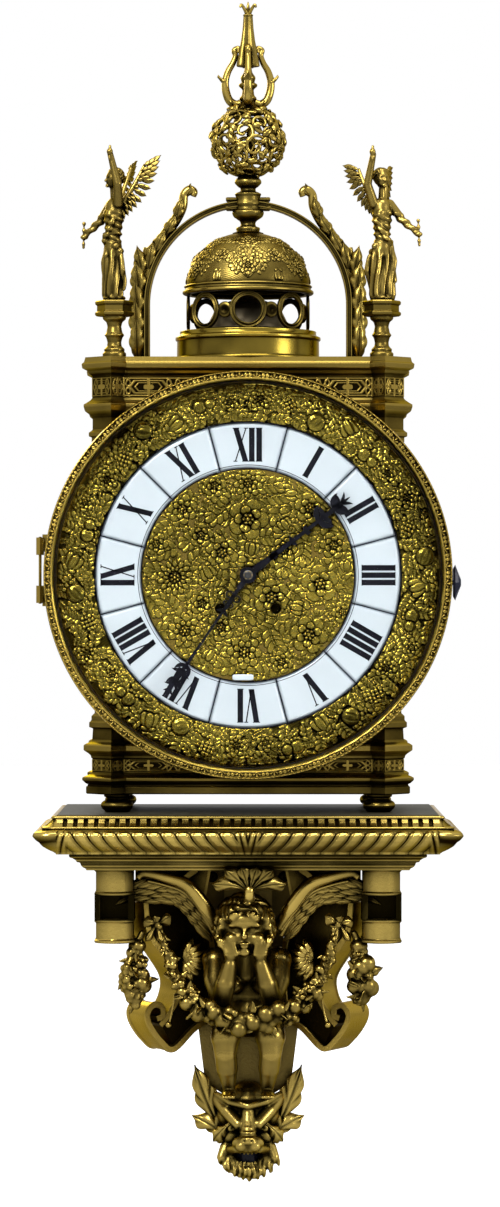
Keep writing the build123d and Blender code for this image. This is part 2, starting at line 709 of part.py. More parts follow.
# Arch over the dome, on the case's middle line, with a leaf bracket outside each leg
arch_band = 5.0
arch_depth = 12.0
arch_centre = arch_top - arch_half_width
with BuildPart() as arch:
    with BuildSketch(upright_plane(0, case_middle_y - arch_depth / 2)):
        with BuildLine():
            inner_half = arch_half_width - arch_band
            outline = [(-arch_half_width, roof_top), (-arch_half_width, arch_centre)]
            outline += arc_corners(outline[-1], (0, arch_top), (arch_half_width, arch_centre), 24)
            outline += [(arch_half_width, roof_top), (inner_half, roof_top), (inner_half, arch_centre)]
            outline += arc_corners(outline[-1], (0, arch_top - arch_band - 1.6), (-inner_half, arch_centre), 24)
            outline.append((-inner_half, roof_top))
            Polyline(*outline, close=True)
        make_face()
    extrude(amount=-arch_depth)
arch.part.label = "arch"
export_step(arch.part, "parts/arch.step")

with BuildPart() as leaf_brackets:
    for side in mirror_pair:
        plane = Plane(origin=(0, case_middle_y, 0), x_dir=(side, 0, 0), z_dir=(0, -side, 0))
        leaf = [(84.0, roof_top), (97.0, roof_top), (96.0, 452.0), (93.5, 472.0), (99.0, 478.0), (94.0, 483.0),
                (92.0, 500.0), (95.0, 512.0), (90.0, 524.0), (84.0, 530.0), (79.0, 524.0), (72.0, 534.0),
                (60.0, 548.0), (57.5, 562.0), (55.5, 570.0), (49.0, 575.5), (43.5, 573.0), (45.0, 568.5),
                (50.0, 568.0), (50.5, 560.0), (47.0, 548.0), (60.0, 530.0), (76.0, 512.0), (84.0, 488.0)]
        with BuildSketch(plane):
            with BuildLine():
                Polyline(*leaf, close=True)
            make_face()
        extrude(amount=4.5, both=True)
    add(arch.part, mode=Mode.SUBTRACT)
leaf_brackets.part.label = "leaf_brackets"
export_step(leaf_brackets.part, "parts/leaf_brackets.step")

lathe_sides = 12
ball_foot = ball_middle - ball_radius * math.sin(math.radians(76))
ball_crown = ball_middle + ball_radius * math.sin(math.radians(76))
with BuildPart() as turned_collar:
    add(flat_sided_turning(0, case_middle_y, [(dome_top, 10.0), (540.0, 10.0), (541.5, 5.8), (544.0, 5.8),
                                              (550.0, 13.0), (554.0, 13.0), (555.5, 11.0), (568.5, 11.0),
                                              (570.0, 6.6), (573.5, 6.6), (578.0, 11.0), (ball_foot, 7.5)],
                           lathe_sides))
    for side in mirror_pair:
        with BuildSketch(upright_plane(0, case_middle_y - arch_depth / 2)):
            with Locations((side * 14.0, 560.0)):
                Rectangle(9.0, 11.0)
        extrude(amount=-arch_depth)
    add(arch.part, mode=Mode.SUBTRACT)
turned_collar.part.label = "turned_collar"
export_step(turned_collar.part, "parts/turned_collar.step")

# Pierced ball: a thin shell with rows of openings between its ribs
ball_sides = 12
ball_wall = 2.4
with BuildPart() as pierced_ball:
    outside = []
    inside = []
    for angle in (-76, -47, -16, 16, 47, 76):
        turn = math.radians(angle)
        outside.append((ball_middle + ball_radius * math.sin(turn), ball_radius * math.cos(turn)))
        inside.append((ball_middle + ball_radius * math.sin(turn) * 1.01,
                       (ball_radius - ball_wall) * math.cos(turn)))
    add(flat_sided_turning(0, case_middle_y, outside, ball_sides))
    add(flat_sided_turning(0, case_middle_y, inside, ball_sides), mode=Mode.SUBTRACT)
    for row_angle, radius in ((-31, 4.8), (0, 5.2), (31, 4.8)):
        for index in range(ball_sides):
            turn = math.radians((index + 0.5) * 360 / ball_sides)
            tilt = math.radians(row_angle)
            direction = (math.cos(turn) * math.cos(tilt), math.sin(turn) * math.cos(tilt), math.sin(tilt))
            sideways = (-math.sin(turn), math.cos(turn), 0)
            middle = (0, case_middle_y, ball_middle)
            with BuildSketch(Plane(origin=middle, x_dir=sideways, z_dir=direction)):
                RegularPolygon(radius, 4)
            extrude(amount=ball_radius + 4, mode=Mode.SUBTRACT)
pierced_ball.part.label = "pierced_ball"
export_step(pierced_ball.part, "parts/pierced_ball.step")

with BuildPart() as finial:
    add(flat_sided_turning(0, case_middle_y, [(ball_foot, 3.0), (ball_crown + 0.6, 3.0)], 6))
    add(flat_sided_turning(0, case_middle_y, [(ball_crown + 0.5, 8.0), (643.0, 8.0), (646.0, 5.0), (654.0, 6.0),
                                              (659.0, 8.0), (668.0, 2.6), (674.0, 2.6)], 12))
    add(flat_sided_turning(0, case_middle_y, [(673.0, 10.6), (688.0, 6.5), (704.0, 4.6), (718.0, 3.8),
                                              (tip_height, 1.0)], 6))
    for index in range(3):
        turn = math.radians(index * 120 + 30)
        across = math.cos(turn)
        along = math.sin(turn)
        add(tapered_rod((across * 2, case_middle_y + along * 2, 716),
                        (across * 8, case_middle_y + along * 8, 723), 2.0, 1.6, 4))
    for index in range(4):
        turn = math.radians(index * 90)
        across = math.cos(turn)
        along = math.sin(turn)
        stops = ((5, 642), (19, 650), (21.5, 664), (10.5, 686))
        for start, end in zip(stops[:-1], stops[1:]):
            add(tapered_rod((across * start[0], case_middle_y + along * start[0], start[1]),
                            (across * end[0], case_middle_y + along * end[0], end[1]), 2.6, 2.6, 4))
finial.part.label = "finial"
export_step(finial.part, "parts/finial.step")

# Winged figures on small columns over the front corners
figure_x = 109.0
figure_y = case_middle_y - pier_y
plinth_bottom = 463.0
plinth_top = 476.0
with BuildPart() as figure_columns:
    for side in mirror_pair:
        add(flat_sided_turning(side * figure_x, figure_y,
                               [(roof_top, 9.5), (435.0, 9.5), (439.0, 6.2), (447.0, 6.2), (449.0, 8.0),
                                (451.0, 6.2), (458.0, 6.2), (plinth_bottom, 9.0)], 8))
        with BuildSketch(Plane(origin=(side * figure_x, figure_y, plinth_bottom))):
            RegularPolygon(16.0, 6)
        extrude(amount=plinth_top - plinth_bottom)
figure_columns.part.label = "figure_columns"
export_step(figure_columns.part, "parts/figure_columns.step")


# One casting, used twice: the turn is the way the chest faces, in degrees from the front
def winged_figure(x, turn):
    angle = math.radians(turn)

    def place(across, forward, height):
        px = x + across * math.cos(angle) - forward * math.sin(angle)
        py = figure_y - across * math.sin(angle) - forward * math.cos(angle)
        return (px, py, height)

    with BuildPart() as piece:
        with BuildSketch(Plane(origin=place(0, 0, plinth_top))):
            RegularPolygon(9.0, 8)
        extrude(amount=2.5)
        add(tapered_rod(place(-3, 0, 477), place(-1, 1, 515), 8.5, 8.0))
        add(tapered_rod(place(4, 1, 477), place(2, 1, 515), 6.5, 7.5))
        add(tapered_rod(place(0, 1, 513), place(0, 1, 532), 9.0, 6.5))
        add(tapered_rod(place(0, 1, 530), place(0, 0, 557), 6.5, 9.0))
        add(tapered_rod(place(0, 0, 556), place(0, 1, 568), 3.5, 3.0))
        add(lump(place(0, 2, 575), (6.2, 6.8, 8.4), 8))
        add(tapered_rod(place(7, 0, 555), place(15, 4, 571), 4.0, 3.2))
        add(tapered_rod(place(15, 4, 571), place(12, 10, 594), 3.2, 2.6))
        add(tapered_rod(place(12, 10, 592), place(12, 10, 600), 3.4, 3.0, 5))
        add(tapered_rod(place(-7, 0, 555), place(-16, 6, 541), 4.0, 3.2))
        add(tapered_rod(place(-16, 6, 541), place(-26, 16, 530), 3.2, 2.4))
        add(tapered_rod(place(-24, 15, 532), place(-28, 18, 528), 3.4, 3.0, 5))
        for wing_side in mirror_pair:
            add(tapered_rod(place(wing_side * 3, -4, 555), place(wing_side * 12, -18, 560), 5.0, 5.5, 4))
            add(tapered_rod(place(wing_side * 12, -18, 560), place(wing_side * 20, -30, 592), 5.5, 1.2, 4))
    return piece.part


with BuildPart() as left_figure:
    add(winged_figure(-figure_x, 62.0))
left_figure.part.label = "left_figure"
export_step(left_figure.part, "parts/left_figure.step")

with BuildPart() as right_figure:
    add(winged_figure(figure_x, -20.0))
right_figure.part.label = "right_figure"
export_step(right_figure.part, "parts/right_figure.step")

# Dial: a cast outer ring, twelve enamel plaques and a cast centre on one brass plate
numeral_front_y = -163.2
plate_front_y = dial_back_y - 2.0
dial_feet = ((40, 36), (-40, 36), (30, -52), (-30, -52))
with BuildPart() as dial_plate:
    with BuildSketch(dial_plane(plate_front_y)):
        Circle(154.5)
        RegularPolygon(5.0, 12, major_radius=False, mode=Mode.SUBTRACT)
        with Locations((-winding_x, -winding_drop), (winding_x, -winding_drop)):
            RegularPolygon(4.5, 12, major_radius=False, mode=Mode.SUBTRACT)
    extrude(amount=-1.0)
    with BuildSketch(dial_plane(plate_front_y + 1)):
        with Locations(*dial_feet):
            RegularPolygon(3.2, 8)
    extrude(amount=-(movement_front_y - plate_front_y - 1))
dial_plate.part.label = "dial_plate"
export_step(dial_plate.part, "parts/dial_plate.step")

with BuildPart() as dial_ring:
    add(ring_on_dial([(123.4, plate_front_y), (123.4, -163.4), (132, -165.6), (146, -165.6),
                      (154.5, -162.6), (154.5, plate_front_y)]))
dial_ring.part.label = "dial_ring"
export_step(dial_ring.part, "parts/dial_ring.step")

plaque_shares = (-1.0, -0.5, 0.0, 0.5, 1.0)
with BuildPart() as enamel_plaques:
    half_gap_outer = math.degrees(plaque_gap / 2 / numeral_ring_outer)
    half_gap_inner = math.degrees(plaque_gap / 2 / numeral_ring_inner)
    for index in range(12):
        middle = index * 30
        corners = []
        for share in plaque_shares:
            turn = math.radians(middle + share * (15 - half_gap_outer))
            corners.append((numeral_ring_outer * math.cos(turn), numeral_ring_outer * math.sin(turn)))
        for share in reversed(plaque_shares):
            turn = math.radians(middle + share * (15 - half_gap_inner))
            corners.append((numeral_ring_inner * math.cos(turn), numeral_ring_inner * math.sin(turn)))
        with BuildSketch(dial_plane(numeral_front_y)):
            with BuildLine():
                Polyline(*corners, close=True)
            make_face()
        extrude(amount=numeral_front_y - plate_front_y)
enamel_plaques.part.label = "enamel_plaques"
export_step(enamel_plaques.part, "parts/enamel_plaques.step")

centre_front_y = -163.0
with BuildPart() as dial_centre:
    with BuildSketch(dial_plane(centre_front_y)):
        Circle(numeral_ring_inner - 0.4)
        RegularPolygon(5.0, 12, major_radius=False, mode=Mode.SUBTRACT)
        with Locations((-winding_x, -winding_drop), (winding_x, -winding_drop)):
            RegularPolygon(4.2, 12, major_radius=False, mode=Mode.SUBTRACT)
    extrude(amount=centre_front_y - plate_front_y)
dial_centre.part.label = "dial_centre"
export_step(dial_centre.part, "parts/dial_centre.step")

# Hands, each cut from flat steel round its own boss
hour_hand_y = -167.6
minute_hand_y = -170.2
hand_thickness = 1.0


def hand_part(angle, y_front, boss_radius, bore, right_edge):
    """A hand drawn pointing up as its right edge, mirrored and turned to its angle."""
    outline = right_edge + [(-x, y) for x, y in reversed(right_edge) if x > 0]
    turn = math.radians(-angle)
    turned_points = []
    for x, y in outline:
        turned_points.append((x * math.cos(turn) - y * math.sin(turn),
                              x * math.sin(turn) + y * math.cos(turn)))
    with BuildPart() as piece:
        with BuildSketch(dial_plane(y_front)):
            with BuildLine():
                Polyline(*turned_points, close=True)
            make_face()
            RegularPolygon(boss_radius, 16)
            RegularPolygon(bore, 12, mode=Mode.SUBTRACT)
        extrude(amount=-hand_thickness)
    return piece.part


hour_pipe_bore = 2.9
hour_pipe_outer = 3.9
minute_pipe_bore = 1.15
minute_pipe_outer = 2.8
hour_edge = [(2.6, 0), (2.2, 40), (4.0, 46), (1.8, 52), (1.6, 66), (6.5, 72), (13.0, 77), (14.5, 84), (9.0, 83),
             (4.5, 86), (7.0, 92), (3.0, 95), (0, hour_hand_length)]
with BuildPart() as hour_hand:
    add(hand_part(hour_hand_angle, hour_hand_y, 6.7, hour_pipe_outer, hour_edge))
hour_hand.part.label = "hour_hand"
export_step(hour_hand.part, "parts/hour_hand.step")

minute_edge = [(2.2, 0), (2.2, 12), (5.5, 18), (5.5, 24), (2.0, 30), (3.0, 36), (1.2, 42), (1.2, 84), (3.0, 88),
               (6.5, 94), (7.5, 102), (3.5, 101), (4.5, 110), (1.5, 111), (0, minute_hand_length)]
with BuildPart() as minute_hand:
    add(hand_part(minute_hand_angle, minute_hand_y, 6.7, minute_pipe_outer, minute_edge))
minute_hand.part.label = "minute_hand"
export_step(minute_hand.part, "parts/minute_hand.step")

# Motion work between the dial plate and the movement: the minute hand's pinion turns the minute
# wheel, whose own pinion turns the hour wheel at a twelfth of the speed.
motion_distance = 16.8
motion_angle = -25.0
motion_x = motion_distance * math.cos(math.radians(motion_angle))
motion_z = motion_distance * math.sin(math.radians(motion_angle))
cannon_teeth = 10
minute_wheel_teeth = 30
minute_pinion_teeth = 8
hour_wheel_teeth = 32
motion_module = 0.84

with BuildPart() as cannon_pinion:
    add(gear(0, 0, -149.6, 2.6, cannon_teeth, motion_module, motion_angle))
    add(rod_on_dial(0, 0, -171.6, -170.6, 3.6, 6))
    add(rod_on_dial(0, 0, -170.8, -149.4, minute_pipe_outer))
    add(rod_on_dial(0, 0, -149.6, -146.2, 3.0))
    add(hole_on_dial(0, 0, -172.0, -146.0, minute_pipe_bore), mode=Mode.SUBTRACT)
cannon_pinion.part.label = "cannon_pinion"
export_step(cannon_pinion.part, "parts/cannon_pinion.step")

with BuildPart() as minute_wheel:
    add(gear(motion_x, motion_z, -149.4, 2.2, minute_wheel_teeth, motion_module,
             motion_angle + 180 + 180 / minute_wheel_teeth))
    add(gear(motion_x, motion_z, -155.4, 6.1, minute_pinion_teeth, motion_module,
             motion_angle + 180 + 180 / minute_pinion_teeth))
    add(hole_on_dial(motion_x, motion_z, -156.5, -146.4, arbor_radius + 0.1 + pivot_play), mode=Mode.SUBTRACT)
minute_wheel.part.label = "minute_wheel"
export_step(minute_wheel.part, "parts/minute_wheel.step")

with BuildPart() as hour_wheel:
    add(gear(0, 0, -154.8, 2.2, hour_wheel_teeth, motion_module, motion_angle))
    add(rod_on_dial(0, 0, -168.6, -152.6, hour_pipe_outer))
    add(hole_on_dial(0, 0, -169.0, -152.0, hour_pipe_bore), mode=Mode.SUBTRACT)
hour_wheel.part.label = "hour_wheel"
export_step(hour_wheel.part, "parts/hour_wheel.step")

# Going train. Each arbor's place is measured from the dial's centre as x, z.
barrel_place = (winding_x, -winding_drop)
strike_place = (-winding_x, -winding_drop)
train_module = 1.0
great_teeth = 40
inter_pinion_teeth = 8
inter_wheel_teeth = 32
centre_pinion_teeth = 8
centre_teeth = 64
third_pinion_teeth = 6
third_teeth = 60
escape_pinion_teeth = 6
escape_teeth = 40
centre_module = 0.56
third_module = 2 * motion_distance / (third_teeth + escape_pinion_teeth)
inter_distance = (great_teeth + inter_pinion_teeth) * train_module / 2
centre_distance = (inter_wheel_teeth + centre_pinion_teeth) * train_module / 2
third_distance = (centre_teeth + third_pinion_teeth) * centre_module / 2
escape_distance = (third_teeth + escape_pinion_teeth) * third_module / 2


def meeting_point(first, second, first_radius, second_radius, side):
    """The point at given distances from two others, on one side of the line between them."""
    dx = second[0] - first[0]
    dz = second[1] - first[1]
    apart = math.hypot(dx, dz)
    along = (first_radius ** 2 - second_radius ** 2 + apart ** 2) / (2 * apart)
    off = side * math.sqrt(first_radius ** 2 - along ** 2)
    return (first[0] + (along * dx - off * dz) / apart, first[1] + (along * dz + off * dx) / apart)


def angle_between(first, second):
    return math.degrees(math.atan2(second[1] - first[1], second[0] - first[0]))


centre_place = (0.0, 0.0)
inter_place = meeting_point(barrel_place, centre_place, inter_distance, centre_distance, -1)
third_angle = 115.0
third_place = (third_distance * math.cos(math.radians(third_angle)),
               third_distance * math.sin(math.radians(third_angle)))
escape_rise = math.sqrt(escape_distance ** 2 - third_place[0] ** 2)
escape_place = (0.0, third_place[1] + escape_rise)
anchor_place = (0.0, 47.0)
hammer_place = (-30.0, 22.0)

great_wheel_y = -140.0
barrel_back_y = -112.0
barrel_radius = 16.5
inter_wheel_y = -109.5
centre_wheel_y = -126.0
third_wheel_y = -118.0
escape_wheel_y = -110.0


def arbor(place, radius=arbor_radius, back=movement_rear_y - 0.3):
    """A plain arbor that runs from the front plate to the rear plate or beyond it."""
    return rod_on_dial(place[0], place[1], movement_front_y + 0.3, back, radius, 8)


def barrel_part(place, back_y):
    """A spring barrel with its great wheel, turned on the winding arbor that runs through it."""
    with BuildPart() as piece:
        add(gear(place[0], place[1], great_wheel_y, 2.4, great_teeth, train_module,
                 angle_between(place, inter_place)))
        add(rod_on_dial(place[0], place[1], great_wheel_y + 2.4, back_y, barrel_radius, 24))
        add(hole_on_dial(place[0], place[1], great_wheel_y - 1, back_y + 1, 3.0 + pivot_play),
            mode=Mode.SUBTRACT)
    return piece.part


with BuildPart() as going_barrel:
    add(barrel_part(barrel_place, barrel_back_y))
going_barrel.part.label = "going_barrel"
export_step(going_barrel.part, "parts/going_barrel.step")

with BuildPart() as strike_barrel:
    add(rod_on_dial(strike_place[0], strike_place[1], great_wheel_y, great_wheel_y + 2.4, 19.6, 24))
    add(rod_on_dial(strike_place[0], strike_place[1], great_wheel_y + 2.4, barrel_back_y, barrel_radius, 24))
    add(hole_on_dial(strike_place[0], strike_place[1], great_wheel_y - 1, barrel_back_y + 1, 3.0 + pivot_play),
        mode=Mode.SUBTRACT)
strike_barrel.part.label = "strike_barrel"
export_step(strike_barrel.part, "parts/strike_barrel.step")


def winding_arbor(place):
    """The barrel's arbor, with a collar in front and a square for the key behind the dial's hole."""
    with BuildPart() as piece:
        add(rod_on_dial(place[0], place[1], -151.0, movement_rear_y + 5.0, 3.0))
        add(rod_on_dial(place[0], place[1], -143.2, great_wheel_y - 0.3, 4.2))
        plane = Plane(origin=(place[0], -162.0, dial_height + place[1]), x_dir=(1, 0, 0), z_dir=(0, -1, 0))
        with BuildSketch(plane):
            Rectangle(3.6, 3.6)
        extrude(amount=-11.0)
    return piece.part


with BuildPart() as going_winding_arbor:
    add(winding_arbor(barrel_place))
going_winding_arbor.part.label = "going_winding_arbor"
export_step(going_winding_arbor.part, "parts/going_winding_arbor.step")

with BuildPart() as strike_winding_arbor:
    add(winding_arbor(strike_place))
strike_winding_arbor.part.label = "strike_winding_arbor"
export_step(strike_winding_arbor.part, "parts/strike_winding_arbor.step")

with BuildPart() as intermediate_wheel:
    add(gear(inter_place[0], inter_place[1], great_wheel_y - 0.4, 3.4, inter_pinion_teeth, train_module,
             angle_between(inter_place, barrel_place) + 180 / inter_pinion_teeth))
    add(gear(inter_place[0], inter_place[1], inter_wheel_y, 2.0, inter_wheel_teeth, train_module,
             angle_between(inter_place, centre_place)))
    add(arbor(inter_place))
intermediate_wheel.part.label = "intermediate_wheel"
export_step(intermediate_wheel.part, "parts/intermediate_wheel.step")

with BuildPart() as centre_wheel:
    add(gear(0, 0, inter_wheel_y - 0.6, 3.4, centre_pinion_teeth, train_module,
             angle_between(centre_place, inter_place) + 180 / centre_pinion_teeth))
    add(gear(0, 0, centre_wheel_y, 1.8, centre_teeth, centre_module, angle_between(centre_place, third_place)))
    add(rod_on_dial(0, 0, -171.6, movement_rear_y - 0.3, arbor_radius))
centre_wheel.part.label = "centre_wheel"
export_step(centre_wheel.part, "parts/centre_wheel.step")

with BuildPart() as third_wheel:
    add(gear(third_place[0], third_place[1], centre_wheel_y - 0.6, 3.2, third_pinion_teeth, centre_module,
             angle_between(third_place, centre_place) + 180 / third_pinion_teeth))
    add(gear(third_place[0], third_place[1], third_wheel_y, 1.6, third_teeth, third_module,
             angle_between(third_place, escape_place)))
    add(arbor(third_place, 0.8))
third_wheel.part.label = "third_wheel"
export_step(third_wheel.part, "parts/third_wheel.step")

# Escape wheel with raked teeth, and the anchor that straddles it
escape_radius = 11.0
with BuildPart() as escape_wheel:
    teeth_points = []
    for tooth in range(escape_teeth):
        for radius, share in ((escape_radius, 0.0), (escape_radius - 2.0, 0.45)):
            turn = 2 * math.pi * (tooth + share) / escape_teeth
            teeth_points.append((radius * math.cos(turn), radius * math.sin(turn)))
    wheel_plane = Plane(origin=(0, escape_wheel_y, dial_height + escape_place[1]), x_dir=(1, 0, 0),
                        z_dir=(0, -1, 0))
    extrude(flat_shape(teeth_points, wheel_plane), amount=-1.4)
    add(gear(0, escape_place[1], third_wheel_y - 0.6, 2.8, escape_pinion_teeth, third_module,
             angle_between(escape_place, third_place) + 180 / escape_pinion_teeth))
    add(arbor(escape_place, 0.8))
escape_wheel.part.label = "escape_wheel"
export_step(escape_wheel.part, "parts/escape_wheel.step")

crutch_y = -92.0
with BuildPart() as anchor:
    drop = anchor_place[1] - escape_place[1]
    pallet = escape_radius + 0.9
    anchor_points = [(-3, 3), (3, 3), (8, -1), (pallet + 1.6, -drop + 3), (pallet + 0.2, -drop + 1),
                     (pallet - 0.4, -drop + 4.6), (6, -4.0), (0, -2.2), (-6, -4.0),
                     (-pallet + 0.4, -drop + 4.6), (-pallet - 0.2, -drop + 1),
                     (-pallet - 1.6, -drop + 3), (-8, -1)]
    anchor_plane = Plane(origin=(0, escape_wheel_y, dial_height + anchor_place[1]), x_dir=(1, 0, 0),
                         z_dir=(0, -1, 0))
    extrude(flat_shape(anchor_points, anchor_plane), amount=-1.4)
    add(arbor(anchor_place, 0.8, back=crutch_y + 1.2))
    with BuildSketch(Plane(origin=(0, crutch_y, dial_height), x_dir=(1, 0, 0), z_dir=(0, -1, 0))):
        with Locations((0, anchor_place[1] - 18)):
            Rectangle(2.4, 40)
    extrude(amount=-1.2)
    for side in mirror_pair:
        with BuildSketch(Plane(origin=(0, crutch_y, dial_height), x_dir=(1, 0, 0), z_dir=(0, -1, 0))):
            with Locations((side * 2.6, anchor_place[1] - 36)):
                Rectangle(1.4, 4)
        extrude(amount=-7.0)
    with BuildSketch(Plane(origin=(0, crutch_y, dial_height), x_dir=(1, 0, 0), z_dir=(0, -1, 0))):
        with Locations((0, anchor_place[1] - 36)):
            Rectangle(6.6, 4)
    extrude(amount=-1.2)
anchor.part.label = "anchor"
export_step(anchor.part, "parts/anchor.step")

pendulum_length = 172.0
pendulum_y = -87.5
bob_radius = 20.0
suspension_z = anchor_place[1]
with BuildPart() as pendulum:
    add(rod_on_dial(0, suspension_z - 1.0, pendulum_y - 3.0, pendulum_y + 1.0, 0.9, 8))
    with BuildSketch(dial_plane(pendulum_y - 0.2)):
        with Locations((0, suspension_z - 6)):
            Rectangle(3.0, 10.0)
    extrude(amount=-0.4)
    rod_top = dial_height + suspension_z - 10.5
    bob_middle = dial_height + suspension_z - pendulum_length
    add(tapered_rod((0, pendulum_y, rod_top), (0, pendulum_y, bob_middle), 1.3, 1.3, 8))
    bob_rows = ((-5.0, 0.6), (-1.0, 1.0), (1.0, 1.0), (5.0, 0.6))
    bob_planes = [Plane(origin=(0, pendulum_y + depth, bob_middle), x_dir=(1, 0, 0), z_dir=(0, 1, 0))
                  for depth, share in bob_rows]
    add(flat_faced_loft([ring_of_corners(plane, bob_radius * share, bob_radius * share, 24)
                         for plane, (depth, share) in zip(bob_planes, bob_rows)]))
pendulum.part.label = "pendulum"
export_step(pendulum.part, "parts/pendulum.step")

with BuildPart() as strike_hammer:
    add(arbor(hammer_place, 1.2, back=hammer_y + 2))
    add(tapered_rod((hammer_place[0], hammer_y, dial_height + hammer_place[1] - 3),
                    (-4.0, hammer_y, 340.0), 1.6, 1.4, 6))
    add(tapered_rod((-4.0, hammer_y, 340.0), (-4.0, hammer_y, 462.0), 1.4, 1.4, 6))
    add(tapered_rod((-14.0, hammer_y, 461.0), (6.0, hammer_y, 461.0), 4.0, 4.0, 10))
strike_hammer.part.label = "strike_hammer"
export_step(strike_hammer.part, "parts/strike_hammer.step")

# Plates of the movement, drilled for every arbor, with the pillars between them. The rear plate
# carries the back cock, from which the pendulum hangs.
pillar_places = ((46, -14), (-46, -14), (30, 36), (-38, 28), (0, -52))


def movement_plate(y_front, holes):
    with BuildPart() as piece:
        with BuildSketch(dial_plane(y_front)):
            with Locations((0, -plate_drop)):
                RegularPolygon(plate_radius, 40)
            for place, radius in holes:
                with Locations(place):
                    RegularPolygon(radius, 8, mode=Mode.SUBTRACT, major_radius=False)
        extrude(amount=-plate_thickness)
    return piece.part


front_holes = [(barrel_place, 3.2), (strike_place, 3.2)]
front_holes += [(inter_place, 1.1), (centre_place, 1.1), (third_place, 0.9), (escape_place, 0.9)]
front_holes += [(anchor_place, 0.9), (hammer_place, 1.3)]
with BuildPart() as movement_front_plate:
    add(movement_plate(movement_front_y, front_holes))
    add(rod_on_dial(motion_x, motion_z, -156.2, movement_front_y, arbor_radius + 0.1))
    for place in pillar_places:
        add(rod_on_dial(place[0], place[1], movement_front_y + 1.0, movement_rear_y - plate_thickness, 2.6, 8))
movement_front_plate.part.label = "movement_front_plate"
export_step(movement_front_plate.part, "parts/movement_front_plate.step")

rear_holes = [(barrel_place, 3.2), (strike_place, 3.2), (inter_place, 1.1), (centre_place, 1.1)]
rear_holes += [(third_place, 0.9), (escape_place, 0.9), (anchor_place, 0.9), (hammer_place, 1.3)]
with BuildPart() as movement_rear_plate:
    add(movement_plate(movement_rear_y - plate_thickness, rear_holes))
    for side in mirror_pair:
        with BuildSketch(Plane(origin=(side * 9.0, movement_rear_y, dial_height + anchor_place[1] - 3),
                               x_dir=(1, 0, 0), z_dir=(0, 1, 0))):
            Rectangle(4.0, 5.0)
        extrude(amount=15.5)
    with BuildSketch(Plane(origin=(0, movement_rear_y + 13.5, dial_height + anchor_place[1] - 3),
                           x_dir=(1, 0, 0), z_dir=(0, 1, 0))):
        Rectangle(22.0, 5.0)
    extrude(amount=2.0)
    add(hole_on_dial(0, suspension_z - 1.0, pendulum_y - 4.0, pendulum_y + 5.0, 0.9 + pivot_play),
        mode=Mode.SUBTRACT)
movement_rear_plate.part.label = "movement_rear_plate"
export_step(movement_rear_plate.part, "parts/movement_rear_plate.step")

# Glazed door in front of the dial
hinge_x = -167.5
hinge_y = -161.0
hinge_middle = dial_height + 4.0
hinge_radius = 3.2
hinge_pin_radius = 1.2
moving_knuckle = 24.0
fixed_knuckle = 14.0
knuckle_gap = 0.4
with BuildPart() as bezel_ring:
    add(upright_prism(hinge_x, hinge_y, hinge_middle - moving_knuckle / 2, moving_knuckle, hinge_radius))
    add(upright_block(-167.5, -161.7, -172.0, -164.0, hinge_middle - moving_knuckle / 2, moving_knuckle))
    with BuildSketch(dial_plane(door_front_y)):
        Circle(bezel_radius - 2)
    extrude(amount=door_front_y - door_back_y - 4, mode=Mode.SUBTRACT)
    add(ring_on_dial([(sight_radius, glass_front_y), (sight_radius, -176.5), (158.0, door_front_y),
                      (161.0, door_front_y), (bezel_radius, -179.5), (bezel_radius, door_back_y),
                      (158.8, door_back_y), (158.8, glass_front_y)]))
    hole_radius = (hinge_pin_radius + pivot_play) / math.cos(math.pi / knuckle_sides)
    add(upright_prism(hinge_x, hinge_y, hinge_middle - moving_knuckle, 2 * moving_knuckle, hole_radius),
        mode=Mode.SUBTRACT)
    with BuildSketch(Plane(origin=(158.0, -169.0, dial_height - 6), x_dir=(0, 1, 0), z_dir=(1, 0, 0))):
        RegularPolygon(2.0 + pivot_play, 12, major_radius=False)
    extrude(amount=10, mode=Mode.SUBTRACT)
bezel_ring.part.label = "bezel_ring"
export_step(bezel_ring.part, "parts/bezel_ring.step")

with BuildPart() as bezel_glass:
    with BuildSketch(dial_plane(glass_front_y)):
        Circle(158.3)
    extrude(amount=-glass_thickness)
bezel_glass.part.label = "bezel_glass"
export_step(bezel_glass.part, "parts/bezel_glass.step")

glass_back_y = glass_front_y + glass_thickness
with BuildPart() as glass_retainer:
    add(ring_on_dial([(156.2, glass_back_y), (158.8, glass_back_y), (158.8, glass_back_y + 3.0),
                      (156.2, glass_back_y + 3.0)]))
    with BuildSketch(Plane(origin=(158.0, -169.0, dial_height - 6), x_dir=(0, 1, 0), z_dir=(1, 0, 0))):
        RegularPolygon(2.4, 8)
    extrude(amount=-6, mode=Mode.SUBTRACT)
glass_retainer.part.label = "glass_retainer"
export_step(glass_retainer.part, "parts/glass_retainer.step")

with BuildPart() as bezel_hinge:
    for sign in mirror_pair:
        middle = hinge_middle + sign * (moving_knuckle / 2 + knuckle_gap + fixed_knuckle / 2)
        bottom = middle - fixed_knuckle / 2
        add(upright_prism(hinge_x, hinge_y, bottom, fixed_knuckle, hinge_radius))
        add(upright_block(hinge_x - 2.5, hinge_x + 2.5, hinge_y, -148, bottom, fixed_knuckle))
    add(upright_prism(hinge_x, hinge_y, hinge_middle - moving_knuckle / 2 - fixed_knuckle - 1,
                      moving_knuckle + 2 * fixed_knuckle + 2, hinge_pin_radius))
    add(dial_drum.part, mode=Mode.SUBTRACT)
bezel_hinge.part.label = "bezel_hinge"
export_step(bezel_hinge.part, "parts/bezel_hinge.step")

